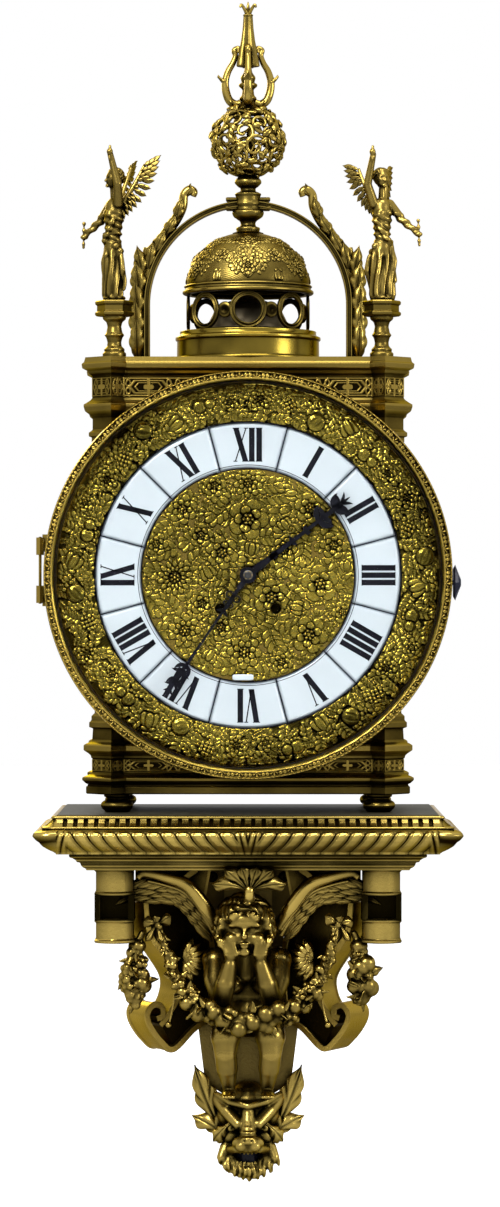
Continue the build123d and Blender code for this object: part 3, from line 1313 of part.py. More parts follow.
with BuildPart() as bezel_latch:
    with BuildSketch(Plane(origin=(158.9, -169.0, dial_height - 6), x_dir=(0, 1, 0), z_dir=(1, 0, 0))):
        RegularPolygon(2.0, 12)
    extrude(amount=6.0)
    latch_rows = ((164.6, 3.6, 11.0), (166.5, 4.2, 14.5), (169.0, 3.0, 8.0), (171.2, 1.0, 2.5))
    add(flat_faced_loft([ring_of_corners(Plane(origin=(across, -169.0, dial_height - 6), x_dir=(0, 1, 0),
                                               z_dir=(1, 0, 0)), half_depth, half_height, 8)
                         for across, half_depth, half_height in latch_rows]))
bezel_latch.part.label = "bezel_latch"
export_step(bezel_latch.part, "parts/bezel_latch.step")
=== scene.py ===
# %% [markdown]
# # A gilt bracket clock on its wall bracket
#
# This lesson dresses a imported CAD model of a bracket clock. The CAD model gives every place and size,
# and the cells below add what a brass founder, a chaser and an enameller add: cast relief, engraving,
# fluting, enamel, hands, and the colour of old gilding. Each cell makes one kind of piece.

# %% Load the frame
import json
from math import asin, atan2, cos, degrees, dist, hypot, pi, radians, sin, sqrt
import bpy
import numpy as np
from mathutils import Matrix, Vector


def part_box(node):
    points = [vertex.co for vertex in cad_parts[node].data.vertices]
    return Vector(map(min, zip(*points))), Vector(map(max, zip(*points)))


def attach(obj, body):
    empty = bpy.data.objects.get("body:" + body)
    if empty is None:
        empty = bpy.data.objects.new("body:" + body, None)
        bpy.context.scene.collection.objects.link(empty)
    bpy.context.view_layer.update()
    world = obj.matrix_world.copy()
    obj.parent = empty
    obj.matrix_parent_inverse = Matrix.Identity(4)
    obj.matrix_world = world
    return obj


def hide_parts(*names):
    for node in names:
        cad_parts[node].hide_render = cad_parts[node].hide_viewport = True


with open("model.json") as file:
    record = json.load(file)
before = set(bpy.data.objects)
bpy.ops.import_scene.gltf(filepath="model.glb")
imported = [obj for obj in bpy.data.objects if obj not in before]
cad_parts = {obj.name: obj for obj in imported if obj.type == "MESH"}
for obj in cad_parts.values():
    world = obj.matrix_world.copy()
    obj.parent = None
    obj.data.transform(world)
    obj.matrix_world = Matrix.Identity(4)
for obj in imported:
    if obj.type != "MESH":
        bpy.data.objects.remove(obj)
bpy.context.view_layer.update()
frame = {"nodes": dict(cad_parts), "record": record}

# %% [markdown]
# The frame is in metres, but a clockmaker thinks in millimetres. The drawing below is therefore done
# in millimetres, and one function turns it into Blender's metres at the end. The main places are read
# from the CAD nodes, so that a change there moves the dressing too.

# %% Main places, in millimetres
metres = 0.001


def node_box(node):
    """Lowest and highest corner of a CAD node, in millimetres."""
    low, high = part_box(node)
    return np.array(low) * 1000, np.array(high) * 1000


plaques_low, plaques_high = node_box("enamel_plaques")
bezel_low, bezel_high = node_box("bezel_ring")
dial_z = (plaques_low[2] + plaques_high[2]) / 2
numerals_outer = (plaques_high[0] - plaques_low[0]) / 2
dome_low, dome_high = node_box("dome")
case_y = (dome_low[1] + dome_high[1]) / 2
print("dial height", round(dial_z, 1), "bezel radius", round(bezel_high[0], 1), "case middle",
    round(case_y, 1))

# %% [markdown]
# The photograph was taken level with the dial from about three metres. A level camera with no shift
# keeps the case's upright lines upright. Its lens is worked out from the height that the picture
# covers at the glazed door.

# %% Camera
def add_object(name, data):
    thing = bpy.data.objects.new(name, data)
    bpy.context.scene.collection.objects.link(thing)
    return thing


picture_height = 965.6
camera_distance = 3000.0
camera_data = bpy.data.cameras.new("camera")
camera_data.sensor_width = 36.0
camera_data.lens = 36.0 * camera_distance / picture_height
camera = add_object("camera", camera_data)
camera.location = Vector((1.6, bezel_low[1] - camera_distance, 229.2)) * metres
camera.rotation_euler = (radians(90), 0, 0)
bpy.context.scene.camera = camera
bpy.context.scene.view_settings.view_transform = "Standard"
print("lens", round(camera_data.lens, 1), "mm")

# %% [markdown]
# Polished brass shows what stands around it, so the studio is part of the metal's look. Large soft
# lamps give long highlights on the mouldings, and the world is white where the camera or a reflection
# looks, and dimmer where it only fills the shadows. Two small functions put a shader node into a tree
# and give its inputs their values or links; every material below is made with them.

# %% World, lamps and floor
def feed(tree, node, sockets):
    """Give inputs of a shader node a value, or the output that they read."""
    for name, value in sockets.items():
        if isinstance(value, bpy.types.NodeSocket):
            tree.links.new(value, node.inputs[name])
        else:
            node.inputs[name].default_value = value
    return node


def put(tree, kind, sockets={}, **settings):
    """A new shader node with its inputs and settings."""
    node = tree.nodes.new("ShaderNode" + kind)
    for name, value in settings.items():
        setattr(node, name, value)
    return feed(tree, node, sockets)


def new_material(name, sockets):
    """A node material, its tree, and its shader with the inputs that stay constant."""
    material = bpy.data.materials.new(name)
    material.use_nodes = True
    tree = material.node_tree
    return material, tree, feed(tree, tree.nodes["Principled BSDF"], sockets)


world = bpy.data.worlds.new("studio")
bpy.context.scene.world = world
world.use_nodes = True
tree = world.node_tree
tree.nodes.clear()
ray = put(tree, "LightPath").outputs
fill = put(tree, "Background", {"Color": (0.95, 0.97, 1.0, 1), "Strength": 0.42}).outputs[0]
white = put(tree, "Background", {"Color": (1, 1, 1, 1), "Strength": 1.0}).outputs[0]
seen = put(tree, "Math", {0: ray["Is Camera Ray"], 1: ray["Is Glossy Ray"]}, operation="MAXIMUM").outputs[0]
seen = put(tree, "Math", {0: seen, 1: ray["Is Transmission Ray"]}, operation="MAXIMUM").outputs[0]
choose = put(tree, "MixShader", {"Fac": seen, 1: fill, 2: white})
put(tree, "OutputWorld", {"Surface": choose.outputs[0]})


def soft_lamp(name, place, size, watts):
    """A square lamp that faces the clock."""
    lamp = bpy.data.lights.new(name, "AREA")
    lamp.shape = "SQUARE"
    lamp.size = size
    lamp.energy = watts
    stand = add_object(name, lamp)
    stand.location = place
    stand.rotation_euler = (Vector((0, -0.08, 0.25)) - Vector(place)).to_track_quat("-Z", "Y").to_euler()


soft_lamp("key_lamp", (-0.9, -1.9, 1.7), 0.9, 52)
soft_lamp("side_lamp", (1.9, -1.2, 0.7), 0.7, 20)
soft_lamp("top_lamp", (0.2, -0.7, 2.1), 1.0, 22)
soft_lamp("back_lamp", (-0.9, 1.7, 1.2), 0.8, 20)

floor_z = -0.30
floor_mesh = bpy.data.meshes.new("floor")
floor_mesh.from_pydata([(-9, -6, floor_z), (9, -6, floor_z), (9, 9, floor_z), (-9, 9, floor_z)], [],
    [(0, 1, 2, 3)])
floor = add_object("floor", floor_mesh)
floor_material, tree, shader = new_material("pale_floor", {"Base Color": (0.86, 0.86, 0.86, 1),
    "Roughness": 0.9, "Emission Color": (1, 1, 1, 1)})
lift = put(tree, "Math", {0: put(tree, "LightPath").outputs["Is Camera Ray"], 1: 0.62},
    operation="MULTIPLY")
feed(tree, shader, {"Emission Strength": lift.outputs[0]})
floor_mesh.materials.append(floor_material)
print("floor at", floor_z)

# %% [markdown]
# Old gilding is never one colour. It stays yellow and bright where hands and dusters reach, and turns
# brown and nearly black in the hollows, where the colour holds patina and painted shade together. The
# recipe also paints shade into sheltered places and onto undersides, lightens upper sides as if lit from
# above, and paints a highlight on ridges. Every piece below therefore carries a number per vertex called
# "hollow", 0 on a ridge and 1 in a recess, and one material recipe reads it. Fine noise adds the casting's
# grain, and larger noise the uneven tone.

# %% Material recipes
def remap(tree, value, low, high, to_low, to_high):
    sockets = {"Value": value, "From Min": low, "From Max": high, "To Min": to_low, "To Max": to_high}
    return put(tree, "MapRange", sockets).outputs["Result"]


def add(tree, first, second, clamp=False):
    return put(tree, "Math", {0: first, 1: second}, operation="ADD", use_clamp=clamp).outputs[0]


def worn_and_shaded_metal(name, bright, deep, rough=(0.2, 0.5), grain=900.0, grain_height=0.05, mid_tone_at=0.5, reach=0.016,
        light_from_above=0.30):
    """Metal with patina and painted light: a painted highlight on ridges and upper sides, patina and painted
    shade in hollows, painted shade in sheltered places and on undersides.
    """
    material, tree, shader = new_material(name, {"Specular Tint": (0.60, 0.51, 0.36, 1), "Metallic": 1.0})
    place = put(tree, "TexCoord").outputs["Object"]
    hollow = put(tree, "Attribute", attribute_name="hollow").outputs["Fac"]
    cloud = put(tree, "TexNoise", {"Scale": 14.0, "Detail": 5.0, "Vector": place}).outputs["Fac"]
    # an ambient occlusion node: painted shade in sheltered places, reach metres deep
    occlusion_shade = put(tree, "AmbientOcclusion", {"Distance": reach}, samples=6).outputs["AO"]
    facing = put(tree, "NewGeometry").outputs["Normal"]
    upright = put(tree, "SeparateXYZ", {"Vector": facing}).outputs["Z"]
    total = add(tree, hollow, remap(tree, cloud, 0.3, 0.7, -0.18, 0.22))
    # painted light from above: faces turned down are darker, faces turned up lighter
    total = add(tree, total, remap(tree, upright, -0.9, 0.9, light_from_above, -light_from_above))
    total = add(tree, total, remap(tree, occlusion_shade, 0.35, 0.95, 0.75, 0.0), clamp=True)
    ramp = put(tree, "ValToRGB", {"Fac": total})
    stops = ramp.color_ramp.elements
    stops[0].position = 0.05
    # the ramp's first stop, a quarter brighter than bright, is a painted highlight on ridges
    stops[0].color = (*[min(1.0, c * 1.25) for c in bright], 1)
    stops[1].position = 0.92
    stops[1].color = (*deep, 1)
    stops.new(mid_tone_at).color = (*[0.62 * b + 0.38 * d for b, d in zip(bright, deep)], 1)
    fine = put(tree, "TexNoise", {"Scale": grain, "Detail": 3.0, "Vector": place}).outputs["Fac"]
    bump = put(tree, "Bump", {"Strength": grain_height, "Distance": 0.001, "Height": fine})
    feed(tree, shader, {"Base Color": ramp.outputs["Color"], "Normal": bump.outputs["Normal"],
        "Roughness": remap(tree, total, 0.0, 1.0, *rough)})
    return material


dial_gilt = worn_and_shaded_metal("dial_gilt", (0.235, 0.178, 0.028), (0.004, 0.003, 0.0006), (0.13, 0.36), mid_tone_at=0.44,
    reach=0.006, light_from_above=0.34)
case_gilt = worn_and_shaded_metal("case_gilt", (0.215, 0.150, 0.031), (0.006, 0.004, 0.001), (0.18, 0.48), grain=500,
    mid_tone_at=0.46, reach=0.010, light_from_above=0.34)
bezel_gilt = worn_and_shaded_metal("bezel_gilt", (0.30, 0.212, 0.040), (0.007, 0.004, 0.001), (0.16, 0.45), reach=0.005)
figure_gilt = worn_and_shaded_metal("figure_gilt", (0.29, 0.205, 0.048), (0.006, 0.004, 0.001), (0.18, 0.46), grain=420,
    mid_tone_at=0.44, reach=0.012, light_from_above=0.26)
bracket_gilt = worn_and_shaded_metal("bracket_gilt", (0.36, 0.258, 0.062), (0.007, 0.005, 0.001), (0.18, 0.46),
    grain=380, grain_height=0.10, mid_tone_at=0.46, reach=0.014)
print("gilt materials made")

# %% [markdown]
# Three small tools serve nearly every piece. One turns points and faces into a piece that rides on its
# body. One makes a grid of points into faces. One works out the "hollow" number by comparing each point
# with a smoothed copy of the surface: what lies below the smooth copy is a recess.

# %% Tools for making pieces
def turns(count):
    """Angles once round a circle."""
    return np.linspace(0, 2 * pi, count, endpoint=False)


def grid_faces(rows, columns, wrap_columns=False, wrap_rows=False):
    """Quads of a grid of points stored row by row."""
    i, j = np.meshgrid(np.arange(rows - 1 + wrap_rows), np.arange(columns - 1 + wrap_columns),
        indexing="ij")
    next_i, next_j = (i + 1) % rows, (j + 1) % columns
    corners = [i * columns + j, i * columns + next_j, next_i * columns + next_j, next_i * columns + j]
    return np.stack(corners, -1).reshape(-1, 4)


def vertex_rows(mesh, kind):
    """The places or the normals of a mesh's vertices, one per row."""
    rows = np.zeros(len(mesh.vertices) * 3)
    mesh.vertices.foreach_get(kind, rows)
    return rows.reshape(-1, 3)


def mark_hollows(mesh, depth_mm, steps):
    """How far each vertex lies below the surface when its points are drawn towards their neighbours."""
    points = vertex_rows(mesh, "co") * 1000
    edges = np.zeros(len(mesh.edges) * 2, dtype=np.int32)
    mesh.edges.foreach_get("vertices", edges)
    one, other = edges.reshape(-1, 2).T
    count = np.maximum(np.bincount(edges, minlength=len(points)), 1)[:, None]
    smooth = points
    for _ in range(steps):
        total = [np.bincount(one, column[other], len(points)) + np.bincount(other, column[one], len(points))
            for column in smooth.T]
        smooth = 0.4 * smooth + 0.6 * np.stack(total, -1) / count
    below = np.sum((smooth - points) * vertex_rows(mesh, "normal"), -1)
    return 0.5 + below / (2 * depth_mm)


def finish_piece(piece, material, body="clock", slot="gilt_brass", nodes=(), hollow=None, depth_mm=0.5,
        steps=14):
    """Material, painted shade and grime (the hollow number), and body of a piece, and the CAD nodes that it
    stands for; slot is not used.
    """
    piece.data.materials.clear()
    piece.data.materials.append(material)
    # without given values, the hollow number follows the surface's recesses: patina with painted shade
    values = mark_hollows(piece.data, depth_mm, steps) if hollow is None else np.asarray(hollow)
    attribute = piece.data.attributes.new("hollow", "FLOAT", "POINT")
    attribute.data.foreach_set("value", np.clip(values, 0, 1).astype(np.float32).ravel())
    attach(piece, body)
    if nodes:
        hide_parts(*nodes)
    return piece


def make_piece(name, points_mm, faces, material, smooth=True, **options):
    """A mesh in millimetres becomes a finished piece that rides on a body."""
    mesh = bpy.data.meshes.new(name)
    points = np.asarray(points_mm, float).reshape(-1, 3) * metres
    mesh.from_pydata(points.tolist(), [], [list(map(int, face)) for face in faces])
    mesh.update()
    if smooth:
        mesh.shade_smooth()
    return finish_piece(add_object(name, mesh), material, **options)


def joined(parts):
    """Several pairs of points and faces as one pair."""
    points, faces, start = [], [], 0
    for part_points, part_faces in parts:
        points.append(np.asarray(part_points, float))
        faces += [[int(corner) + start for corner in face] for face in part_faces]
        start += len(part_points)
    return np.concatenate(points), faces


print("tools ready")


# %% [markdown]
# Two areas of the dial are cast and chased relief: a ring of fruit and leaves outside the numerals, and
# a disc of flowers inside them. Such relief could be sculpted by hand or painted as a bump map. Here it
# is a field of heights on a fine polar grid. Every petal, lobe and berry is stamped on it one after the
# other, as a chaser works with punches, and each stamp sinks a line round itself and paints it dark as
# shade and grime, so that the layers stay apart; its raised parts get a painted highlight. It is real
# geometry, and each motif is only a formula.

# %% A field of heights and its stamps
class Relief:
    """Heights in millimetres over a flat polar grid, and a number for painted shade, painted highlight and
    grime.
    """

    def __init__(self, inner, outer, rings, spokes):
        self.radius = np.linspace(inner, outer, rings)[:, None] + np.zeros((1, spokes))
        self.angle = turns(spokes)[None, :] + np.zeros((rings, 1))
        self.x = self.radius * np.sin(self.angle)
        self.y = self.radius * np.cos(self.angle)
        self.shape = self.x.shape
        self.height = 0.12 * np.sin(self.x * 2.9) * np.sin(self.y * 3.1 + self.x)
        # the bare ground starts dark with painted shade and grime, a little varied with its small waves
        self.shade_and_grime = 0.74 + 0.5 * self.height
        self.covered = np.zeros(self.shape, bool)

    def near(self, x, y, reach):
        """The grid points within reach of a place."""
        out = hypot(x, y)
        first, last = np.searchsorted(self.radius[:, 0], [out - reach, out + reach])
        step = 2 * pi / self.shape[1]
        half = asin(reach / out) if reach < 0.9 * out else pi
        middle = atan2(x, y)
        columns = np.arange(int((middle - half) / step) - 1, int((middle + half) / step)
            + 2)[:self.shape[1]]
        return np.ix_(np.arange(first, last), columns % self.shape[1])

    def free(self, x, y, reach):
        """The share of the ground near a place that no motif covers yet."""
        index = self.near(x, y, reach)
        return 1 - np.mean(self.covered[index]) if index[0].size else 0.0

    def stamp(self, index, inside, height, shade_and_grime, gap=0.75):
        """inside is the distance to the motif's edge, above 0 within it."""
        within = inside > 0
        # just outside a motif the ground sinks and is painted dark: painted shade and grime in the groove
        margin = np.clip(1 + inside / gap, 0, 1) * ~within
        self.height[index] = np.where(within, height, self.height[index] * (1 - 0.75 * margin))
        self.shade_and_grime[index] = np.where(within, shade_and_grime, np.maximum(self.shade_and_grime[index], 1.05 * margin))
        self.covered[index] |= within


def away(x, y, heading, out):
    """The place at a distance from another, along a heading in degrees from the dial's top."""
    return x + out * sin(radians(heading)), y + out * cos(radians(heading))


def lobe(field, x, y, heading, length, width, height, groove=0.25, dark_end=0.0, gap=0.75):
    """One rounded lobe or petal, higher towards its far end, with a fold along its middle."""
    index = field.near(x, y, length * 0.5 + width * 0.5 + gap)
    dx, dy = field.x[index] - x, field.y[index] - y
    turn = radians(heading)
    along = (dx * sin(turn) + dy * cos(turn)) / (length / 2)
    across = (dx * cos(turn) - dy * sin(turn)) / (width / 2 * (1 + 0.22 * np.clip(along, -1, 1)))
    out = np.hypot(along, across)
    dome = np.sqrt(np.clip(1 - out ** 2.4, 0, 1))
    fold = groove * np.exp(-(across / 0.16) ** 2) * (along > -0.9)
    rise = 0.62 + 0.38 * along
    # painted highlight on the dome and its raised far end; painted shade in the fold and, by dark_end, at
    # the near end by a flower's heart
    shade_and_grime = 0.62 - 0.46 * dome - 0.32 * along * dome + 0.5 * fold + dark_end * np.clip(0.2 - along, 0, 1)
    field.stamp(index, (1 - out) * min(length, width) / 2, height * (rise * (0.35 + 0.65 * dome) - 0.5
        * fold), shade_and_grime, gap)


def berry(field, x, y, radius, height, gap=0.45):
    index = field.near(x, y, radius + gap)
    out = np.hypot(field.x[index] - x, field.y[index] - y) / radius
    dome = np.sqrt(np.clip(1 - out ** 2, 0, 1))
    # painted highlight on the top of the berry, painted shade round its foot
    field.stamp(index, (1 - out) * radius, height * (0.45 + 0.55 * dome), 0.55 - 0.55 * dome, gap)


def flower(field, x, y, radius, petals=8, height=2.0, turn=0.0, layers=2):
    """An open flower: rows of petals, the inner row last and highest, and a seeded heart."""
    for layer in range(layers):
        size = radius * (1 - 0.34 * layer)
        for petal in range(petals):
            heading = turn + (petal + 0.5 * layer) * 360 / petals
            width = min(size * 0.75, 1.25 * pi * size / petals)
            lobe(field, *away(x, y, heading, size * 0.60), heading, size * 0.82, width,
                height * (0.72 + 0.28 * layer), dark_end=0.6, gap=0.55)
    berry(field, x, y, radius * 0.25, height * 1.1)
    for seed in range(6):
        berry(field, *away(x, y, seed * 60 + turn, radius * 0.2), radius * 0.09, height * 1.15)


def grapes(field, x, y, heading, length, size=1.6, height=2.0):
    """A bunch: balls in staggered rows inside a drop shape."""
    rows = max(3, int(length / (size * 1.55)))
    for row in range(rows):
        share = row / (rows - 1)
        middle = away(x, y, heading, share * length - length / 2)
        count = max(1, round(rows * 0.8 * sin(pi * (0.2 + 0.72 * share)) ** 0.9))
        for place in range(count):
            off = (place - (count - 1) / 2) * size * 1.75
            berry(field, *away(*middle, heading + 90, off), size, height * (0.85 + 0.15 * cos(off)))


def fruit(field, x, y, radius, heading, height=2.8):
    """A pomegranate: a ribbed ball with a crown of three small lobes."""
    for side in (-1, 0, 1):
        tip = away(x, y, heading + degrees(0.42) * side, radius * 1.15)
        lobe(field, *tip, heading + 26 * side, radius * 0.75, radius * 0.5, height * 0.75)
    index = field.near(x, y, radius + 0.8)
    dx, dy = field.x[index] - x, field.y[index] - y
    out = np.hypot(dx, dy) / radius
    across = (dx * cos(radians(heading)) - dy * sin(radians(heading))) / radius
    dome = np.sqrt(np.clip(1 - out ** 2, 0, 1))
    # painted highlight on the ball's dome and ribs, painted shade between the ribs and round its foot
    ribs = 0.09 * np.cos(9 * across / np.maximum(0.35, dome)) * dome
    field.stamp(index, (1 - out) * radius, height * (0.3 + 0.7 * dome + 0.5 * ribs),
        0.5 - 0.5 * dome - ribs * 2.2, 0.9)


def tulip(field, x, y, heading, length, height=2.4):
    """A closed flower seen from the side: two outer petals, the middle one, and two small leaves."""
    for side, wide, lift in ((-1, 0.42, 0.8), (1, 0.42, 0.8), (0, 0.44, 1.0)):
        lobe(field, *away(x, y, heading + 90, side * length * 0.24), heading + 16 * side, length,
            length * wide, height * lift)
    foot = away(x, y, heading, -length * 0.42)
    for side in (-1, 1):
        lobe(field, *away(*foot, heading + 90, side * length * 0.2), heading + 62 * side, length * 0.45,
            length * 0.2, height * 0.7)


def stalk(field, x, y, heading, length, bend, thick=1.1, height=1.5):
    """A round stalk that follows an arc and tapers. Gives back its end and heading."""
    steps = max(8, int(length / 0.7))
    for step in range(steps):
        berry(field, x, y, thick * (1 - 0.4 * step / steps), height, gap=0.35)
        x, y = away(x, y, heading, length / steps)
        heading += bend / steps
    return x, y, heading


def acanthus(field, x, y, heading, length, width, bend=0.0, height=1.7, pairs=4):
    """A lobed leaf along an arc: pairs of lobes from the base to the tip, then the rib."""
    spine = []
    for step in range(25):
        spine.append((x, y, heading))
        x, y = away(x, y, heading, length / 24)
        heading += bend / 24
    for pair in range(pairs):
        share = 0.12 + 0.74 * pair / pairs
        px, py, way = spine[int(share * 24)]
        size = width * (0.62 + 0.38 * sin(pi * (0.15 + 0.8 * share)))
        for side in (-1, 1):
            lean = way + side * (52 - 18 * share)
            lobe(field, *away(px, py, lean, size * 0.27), lean, size * 0.72, size * 0.40,
                height * (0.78 + 0.12 * sin(3 * pair)), groove=0.12, gap=0.5)
    lobe(field, *spine[20], width * 0.66, width * 0.36, height, groove=0.2, gap=0.5)
    for place in spine[:19]:
        lobe(field, *place, 2.0, 0.95, height * 1.02, groove=0.0, gap=0.12)


def polar_relief(name, field, base_y, ground, nodes=()):
    """A relief on the dial: heights stand towards the viewer from a base plane."""
    height = field.height
    sides = np.roll(height, 1, 1) + np.roll(height, -1, 1)
    up = np.vstack([height[:1], height[:-1]]) + np.vstack([height[1:], height[-1:]])
    height = 0.5 * height + 0.125 * (sides + up)
    points = np.stack([field.x, base_y - ground - height, dial_z + field.y], -1)
    make_piece(name, points, grid_faces(*field.shape, wrap_columns=True), dial_gilt, nodes=nodes,
        hollow=field.shade_and_grime)
    print(name, "has", field.x.size, "points, bare ground", round(1 - field.covered.mean(), 2))


# %% [markdown]
# The disc inside the numerals is a garden: some twenty large blossoms in no strict order, joined by
# S-shaped stalks, with acanthus leaves pushed into every gap. The blossoms' places are a short given
# list. The leaves are tried on a spiral of places, and one is stamped wherever bare ground is
# left. Sines stand in for chance, so that each run gives the same dial.

# %% Centre disc of flowers
centre_low, centre_high = node_box("dial_centre")
centre_radius = (centre_high[0] - centre_low[0]) / 2
hole_radius = 6.0
golden_angle = 137.508
centre = Relief(hole_radius, centre_radius, 205, 1080)
blossoms = [(-59, -2, 12, 15), (0, 74, 10, 9), (50, 54, 11, 6), (-53, 53, 10.5, 7), (0, 45, 14, 5),
    (19, -18, 13, 6), (58, -7, 13, 5), (49, -48, 13, 6), (-3, -62, 12, 8), (-51, -45, 11.5, 10),
    (-21, 18, 11.5, 6), (-22, -42, 10, 6), (69, 24, 9.5, 6), (-37, -23, 8.5, 5), (29, 20, 9, 6),
    (27, -70, 8, 6), (-27, 72, 8, 5), (-74, 25, 8, 6), (76, -30, 7.5, 5), (-38, 32, 8.5, 5)]


def fill_with_leaves(field, places, length, width, need=0.42, height=1.6, reach=None):
    """Leaves at every place of a list that still has bare ground."""
    laid = 0
    for number, (x, y, heading) in enumerate(places):
        if field.free(x, y, reach or width * 0.55) > need:
            acanthus(field, *away(x, y, heading, -length * 0.5), heading, length, width,
                bend=80 * sin(number * 1.9), height=height + 0.25 * sin(number), pairs=4)
            laid += 1
    return laid


def spiral_places(count, inner, outer, swirl):
    places = []
    for number in range(count):
        share = (number + 0.5) / count
        bearing = number * golden_angle
        heading = bearing + swirl * sin(number * 1.3) + 90 * (number % 4)
        places.append((*away(0, 0, bearing, sqrt(inner ** 2 + (outer ** 2 - inner ** 2) * share)), heading))
    return places


for number, (x, y, size, petals) in enumerate(blossoms):
    end_x, end_y, way = stalk(centre, x, y, number * 71, 30, 170 * sin(number * 2.4), 1.2, 1.5)
    acanthus(centre, end_x, end_y, way, 11, 8, bend=90 * sin(number), height=1.5, pairs=3)
for number, (x, y, size, petals) in enumerate(blossoms):
    for k in range(6):
        heading = number * 37 + k * 60 + 14 * sin(number * k)
        acanthus(centre, *away(x, y, heading, size * 0.55), heading, size * 1.15, size * 0.9,
            bend=75 * sin(1.7 * number + 2.3 * k), height=1.6, pairs=3)
laid = fill_with_leaves(centre, spiral_places(420, 12, centre_radius - 4, 60), 25, 15.5, height=2.3)
laid += fill_with_leaves(centre, spiral_places(700, 8, centre_radius - 2, 80), 11, 8, height=1.5, reach=3.0,
    need=0.6)
for number, (x, y, size, petals) in enumerate(blossoms):
    flower(centre, x, y, size * 1.18, min(petals, 9) if petals < 14 else 14, 2.2 + 0.05 * size,
        turn=number * 23, layers=3 if petals > 9 else 2)
for place in ((-33, 3, 150, 13), (38, -26, 100, 12), (-30, -64, 215, 12), (30, 40, -30, 11),
        (3, 20, 10, 12)):
    tulip(centre, *place)
centre.height *= np.clip((centre_radius - centre.radius) / 1.5, 0, 1)
centre.height *= np.clip((centre.radius - hole_radius) / 2.0, 0, 1)
key_hole = np.hypot(np.abs(centre.x) - 22.5, centre.y + 27)
centre.height *= np.clip((key_hole - 4.2) / 1.0, 0, 1)
# painted shade: the two winding holes are flat and painted dark as holes
centre.shade_and_grime = np.where(key_hole < 4.4, 1.4, centre.shade_and_grime)
centre.height *= 3.4 / centre.height.max()
disc_front = centre_low[1]
polar_relief("centre_relief", centre, disc_front, -0.2)
print("leaves laid:", laid)

# %% [markdown]
# The outer ring is a garland of pomegranates, grapes and blossoms on a winding stalk between long
# leaves. It is cast in repeats, so a loop goes round the ring and turns through the kinds of fruit.

# %% Outer ring of fruit
ring_low, ring_high = node_box("dial_ring")
ring_radius = (ring_high[0] - ring_low[0]) / 2
ring_front = -162.6
ring = Relief(numerals_outer + 0.6, ring_radius - 0.3, 74, 1900)
middle_radius = (numerals_outer + ring_radius) / 2


def on_ring(bearing, swing):
    """A place on a line that winds twelve times from side to side round the ring."""
    return away(0, 0, bearing, middle_radius + swing * sin(12 * radians(bearing)))


for step in range(1700):
    berry(ring, *on_ring(360 * step / 1700, 9.0), 1.3, 1.5, gap=0.4)
for k in range(48):
    side = 1 if k % 2 else -1
    heading = 7.5 * k + 90 + side * (48 + 20 * sin(k * 1.7))
    acanthus(ring, *on_ring(7.5 * k, 7), heading, 18, 11, bend=-side * (70 + 30 * sin(k * 2.9)), height=1.8,
        pairs=5)
ring_places = []
for number in range(900):
    bearing = number * golden_angle
    out = numerals_outer + 3 + (ring_radius - numerals_outer - 5) * ((number * 0.7548) % 1.0)
    ring_places.append((*away(0, 0, bearing, out), bearing + 90 + 75 * sin(number * 1.1)))
laid = fill_with_leaves(ring, ring_places[:450], 18, 10.5, height=2.1, need=0.4)
laid += fill_with_leaves(ring, ring_places[450:], 8, 5.2, height=1.3, need=0.45, reach=2.4)
for k in range(36):
    bearing = 10 * k + 4
    x, y = away(0, 0, bearing, middle_radius + 5.5 * sin(k * 2.4 + 0.6))
    kind = k % 6
    if kind == 0:
        flower(ring, x, y, 9.2, 8, 2.8, turn=k * 31)
    elif kind == 1:
        grapes(ring, x, y, bearing + 90 + 60 * sin(k), 13, 1.65, 2.3)
    elif kind == 2:
        fruit(ring, x, y, 7.4, bearing + 70 * sin(k * 1.3), 3.2)
    elif kind == 3:
        tulip(ring, x, y, bearing + 100 + 70 * sin(k * 2.2), 15, 2.8)
    elif kind == 4:
        fruit(ring, x, y, 5.6, bearing + 180, 2.8)
        fruit(ring, *away(x, y, bearing + 90, 8.5), 4.4, bearing + 90, 2.5)
    else:
        flower(ring, x, y, 7.6, 6, 2.6, turn=k * 17)
        berry(ring, *away(x, y, bearing + 90, 9.5), 2.6, 2.3)
ring.height *= np.clip((ring_radius - 0.3 - ring.radius) / 1.5, 0, 1) ** 0.5
ring.height *= np.clip((ring.radius - numerals_outer - 0.6) / 1.2, 0, 1) ** 0.5
ring.height *= 3.6 / ring.height.max()
ring_share = np.clip((ring.radius - numerals_outer) / (ring_radius - numerals_outer), 0, 1)
polar_relief("fruit_ring", ring, ring_front, 0.2 + 1.7 * np.sin(pi * ring_share) ** 0.8,
    nodes=["dial_ring"])
print("leaves laid:", laid)

# %% [markdown]
# The numerals stand on twelve separate plaques of white enamel. Enamel pulls back from its edge as it
# melts, so each plaque is a little cushion, and the light on those rounded edges shows that they are
# twelve. Each is a small polar grid whose height falls away near its border.

# %% Enamel plaques
def mottled(name, scale, first, second, sockets, detail=2.0, edges=False):
    """A finish whose colour drifts between two, and in enamel also turns at its sunk edges."""
    material, tree, shader = new_material(name, sockets)
    place = put(tree, "TexCoord").outputs["Object"]
    cloud = put(tree, "TexNoise", {"Scale": scale, "Detail": detail, "Vector": place}).outputs["Fac"]
    if edges:
        hollow = put(tree, "Attribute", attribute_name="hollow").outputs["Fac"]
        cloud = put(tree, "Math", {0: cloud, 1: 0.25, 2: hollow}, operation="MULTIPLY_ADD",
            use_clamp=True).outputs[0]
    ramp = put(tree, "ValToRGB", {"Fac": cloud})
    ramp.color_ramp.elements[0].color = (*first, 1)
    ramp.color_ramp.elements[1].color = (*second, 1)
    feed(tree, shader, {"Base Color": ramp.outputs["Color"]})
    return material


def plain_black(name, colour=(0.003, 0.003, 0.006), rough=0.35):
    """Fired or painted black, with a little unevenness in its shine."""
    return mottled(name, 160.0, colour, [c * 1.8 for c in colour], {"Roughness": rough,
        "Specular IOR Level": 0.12})


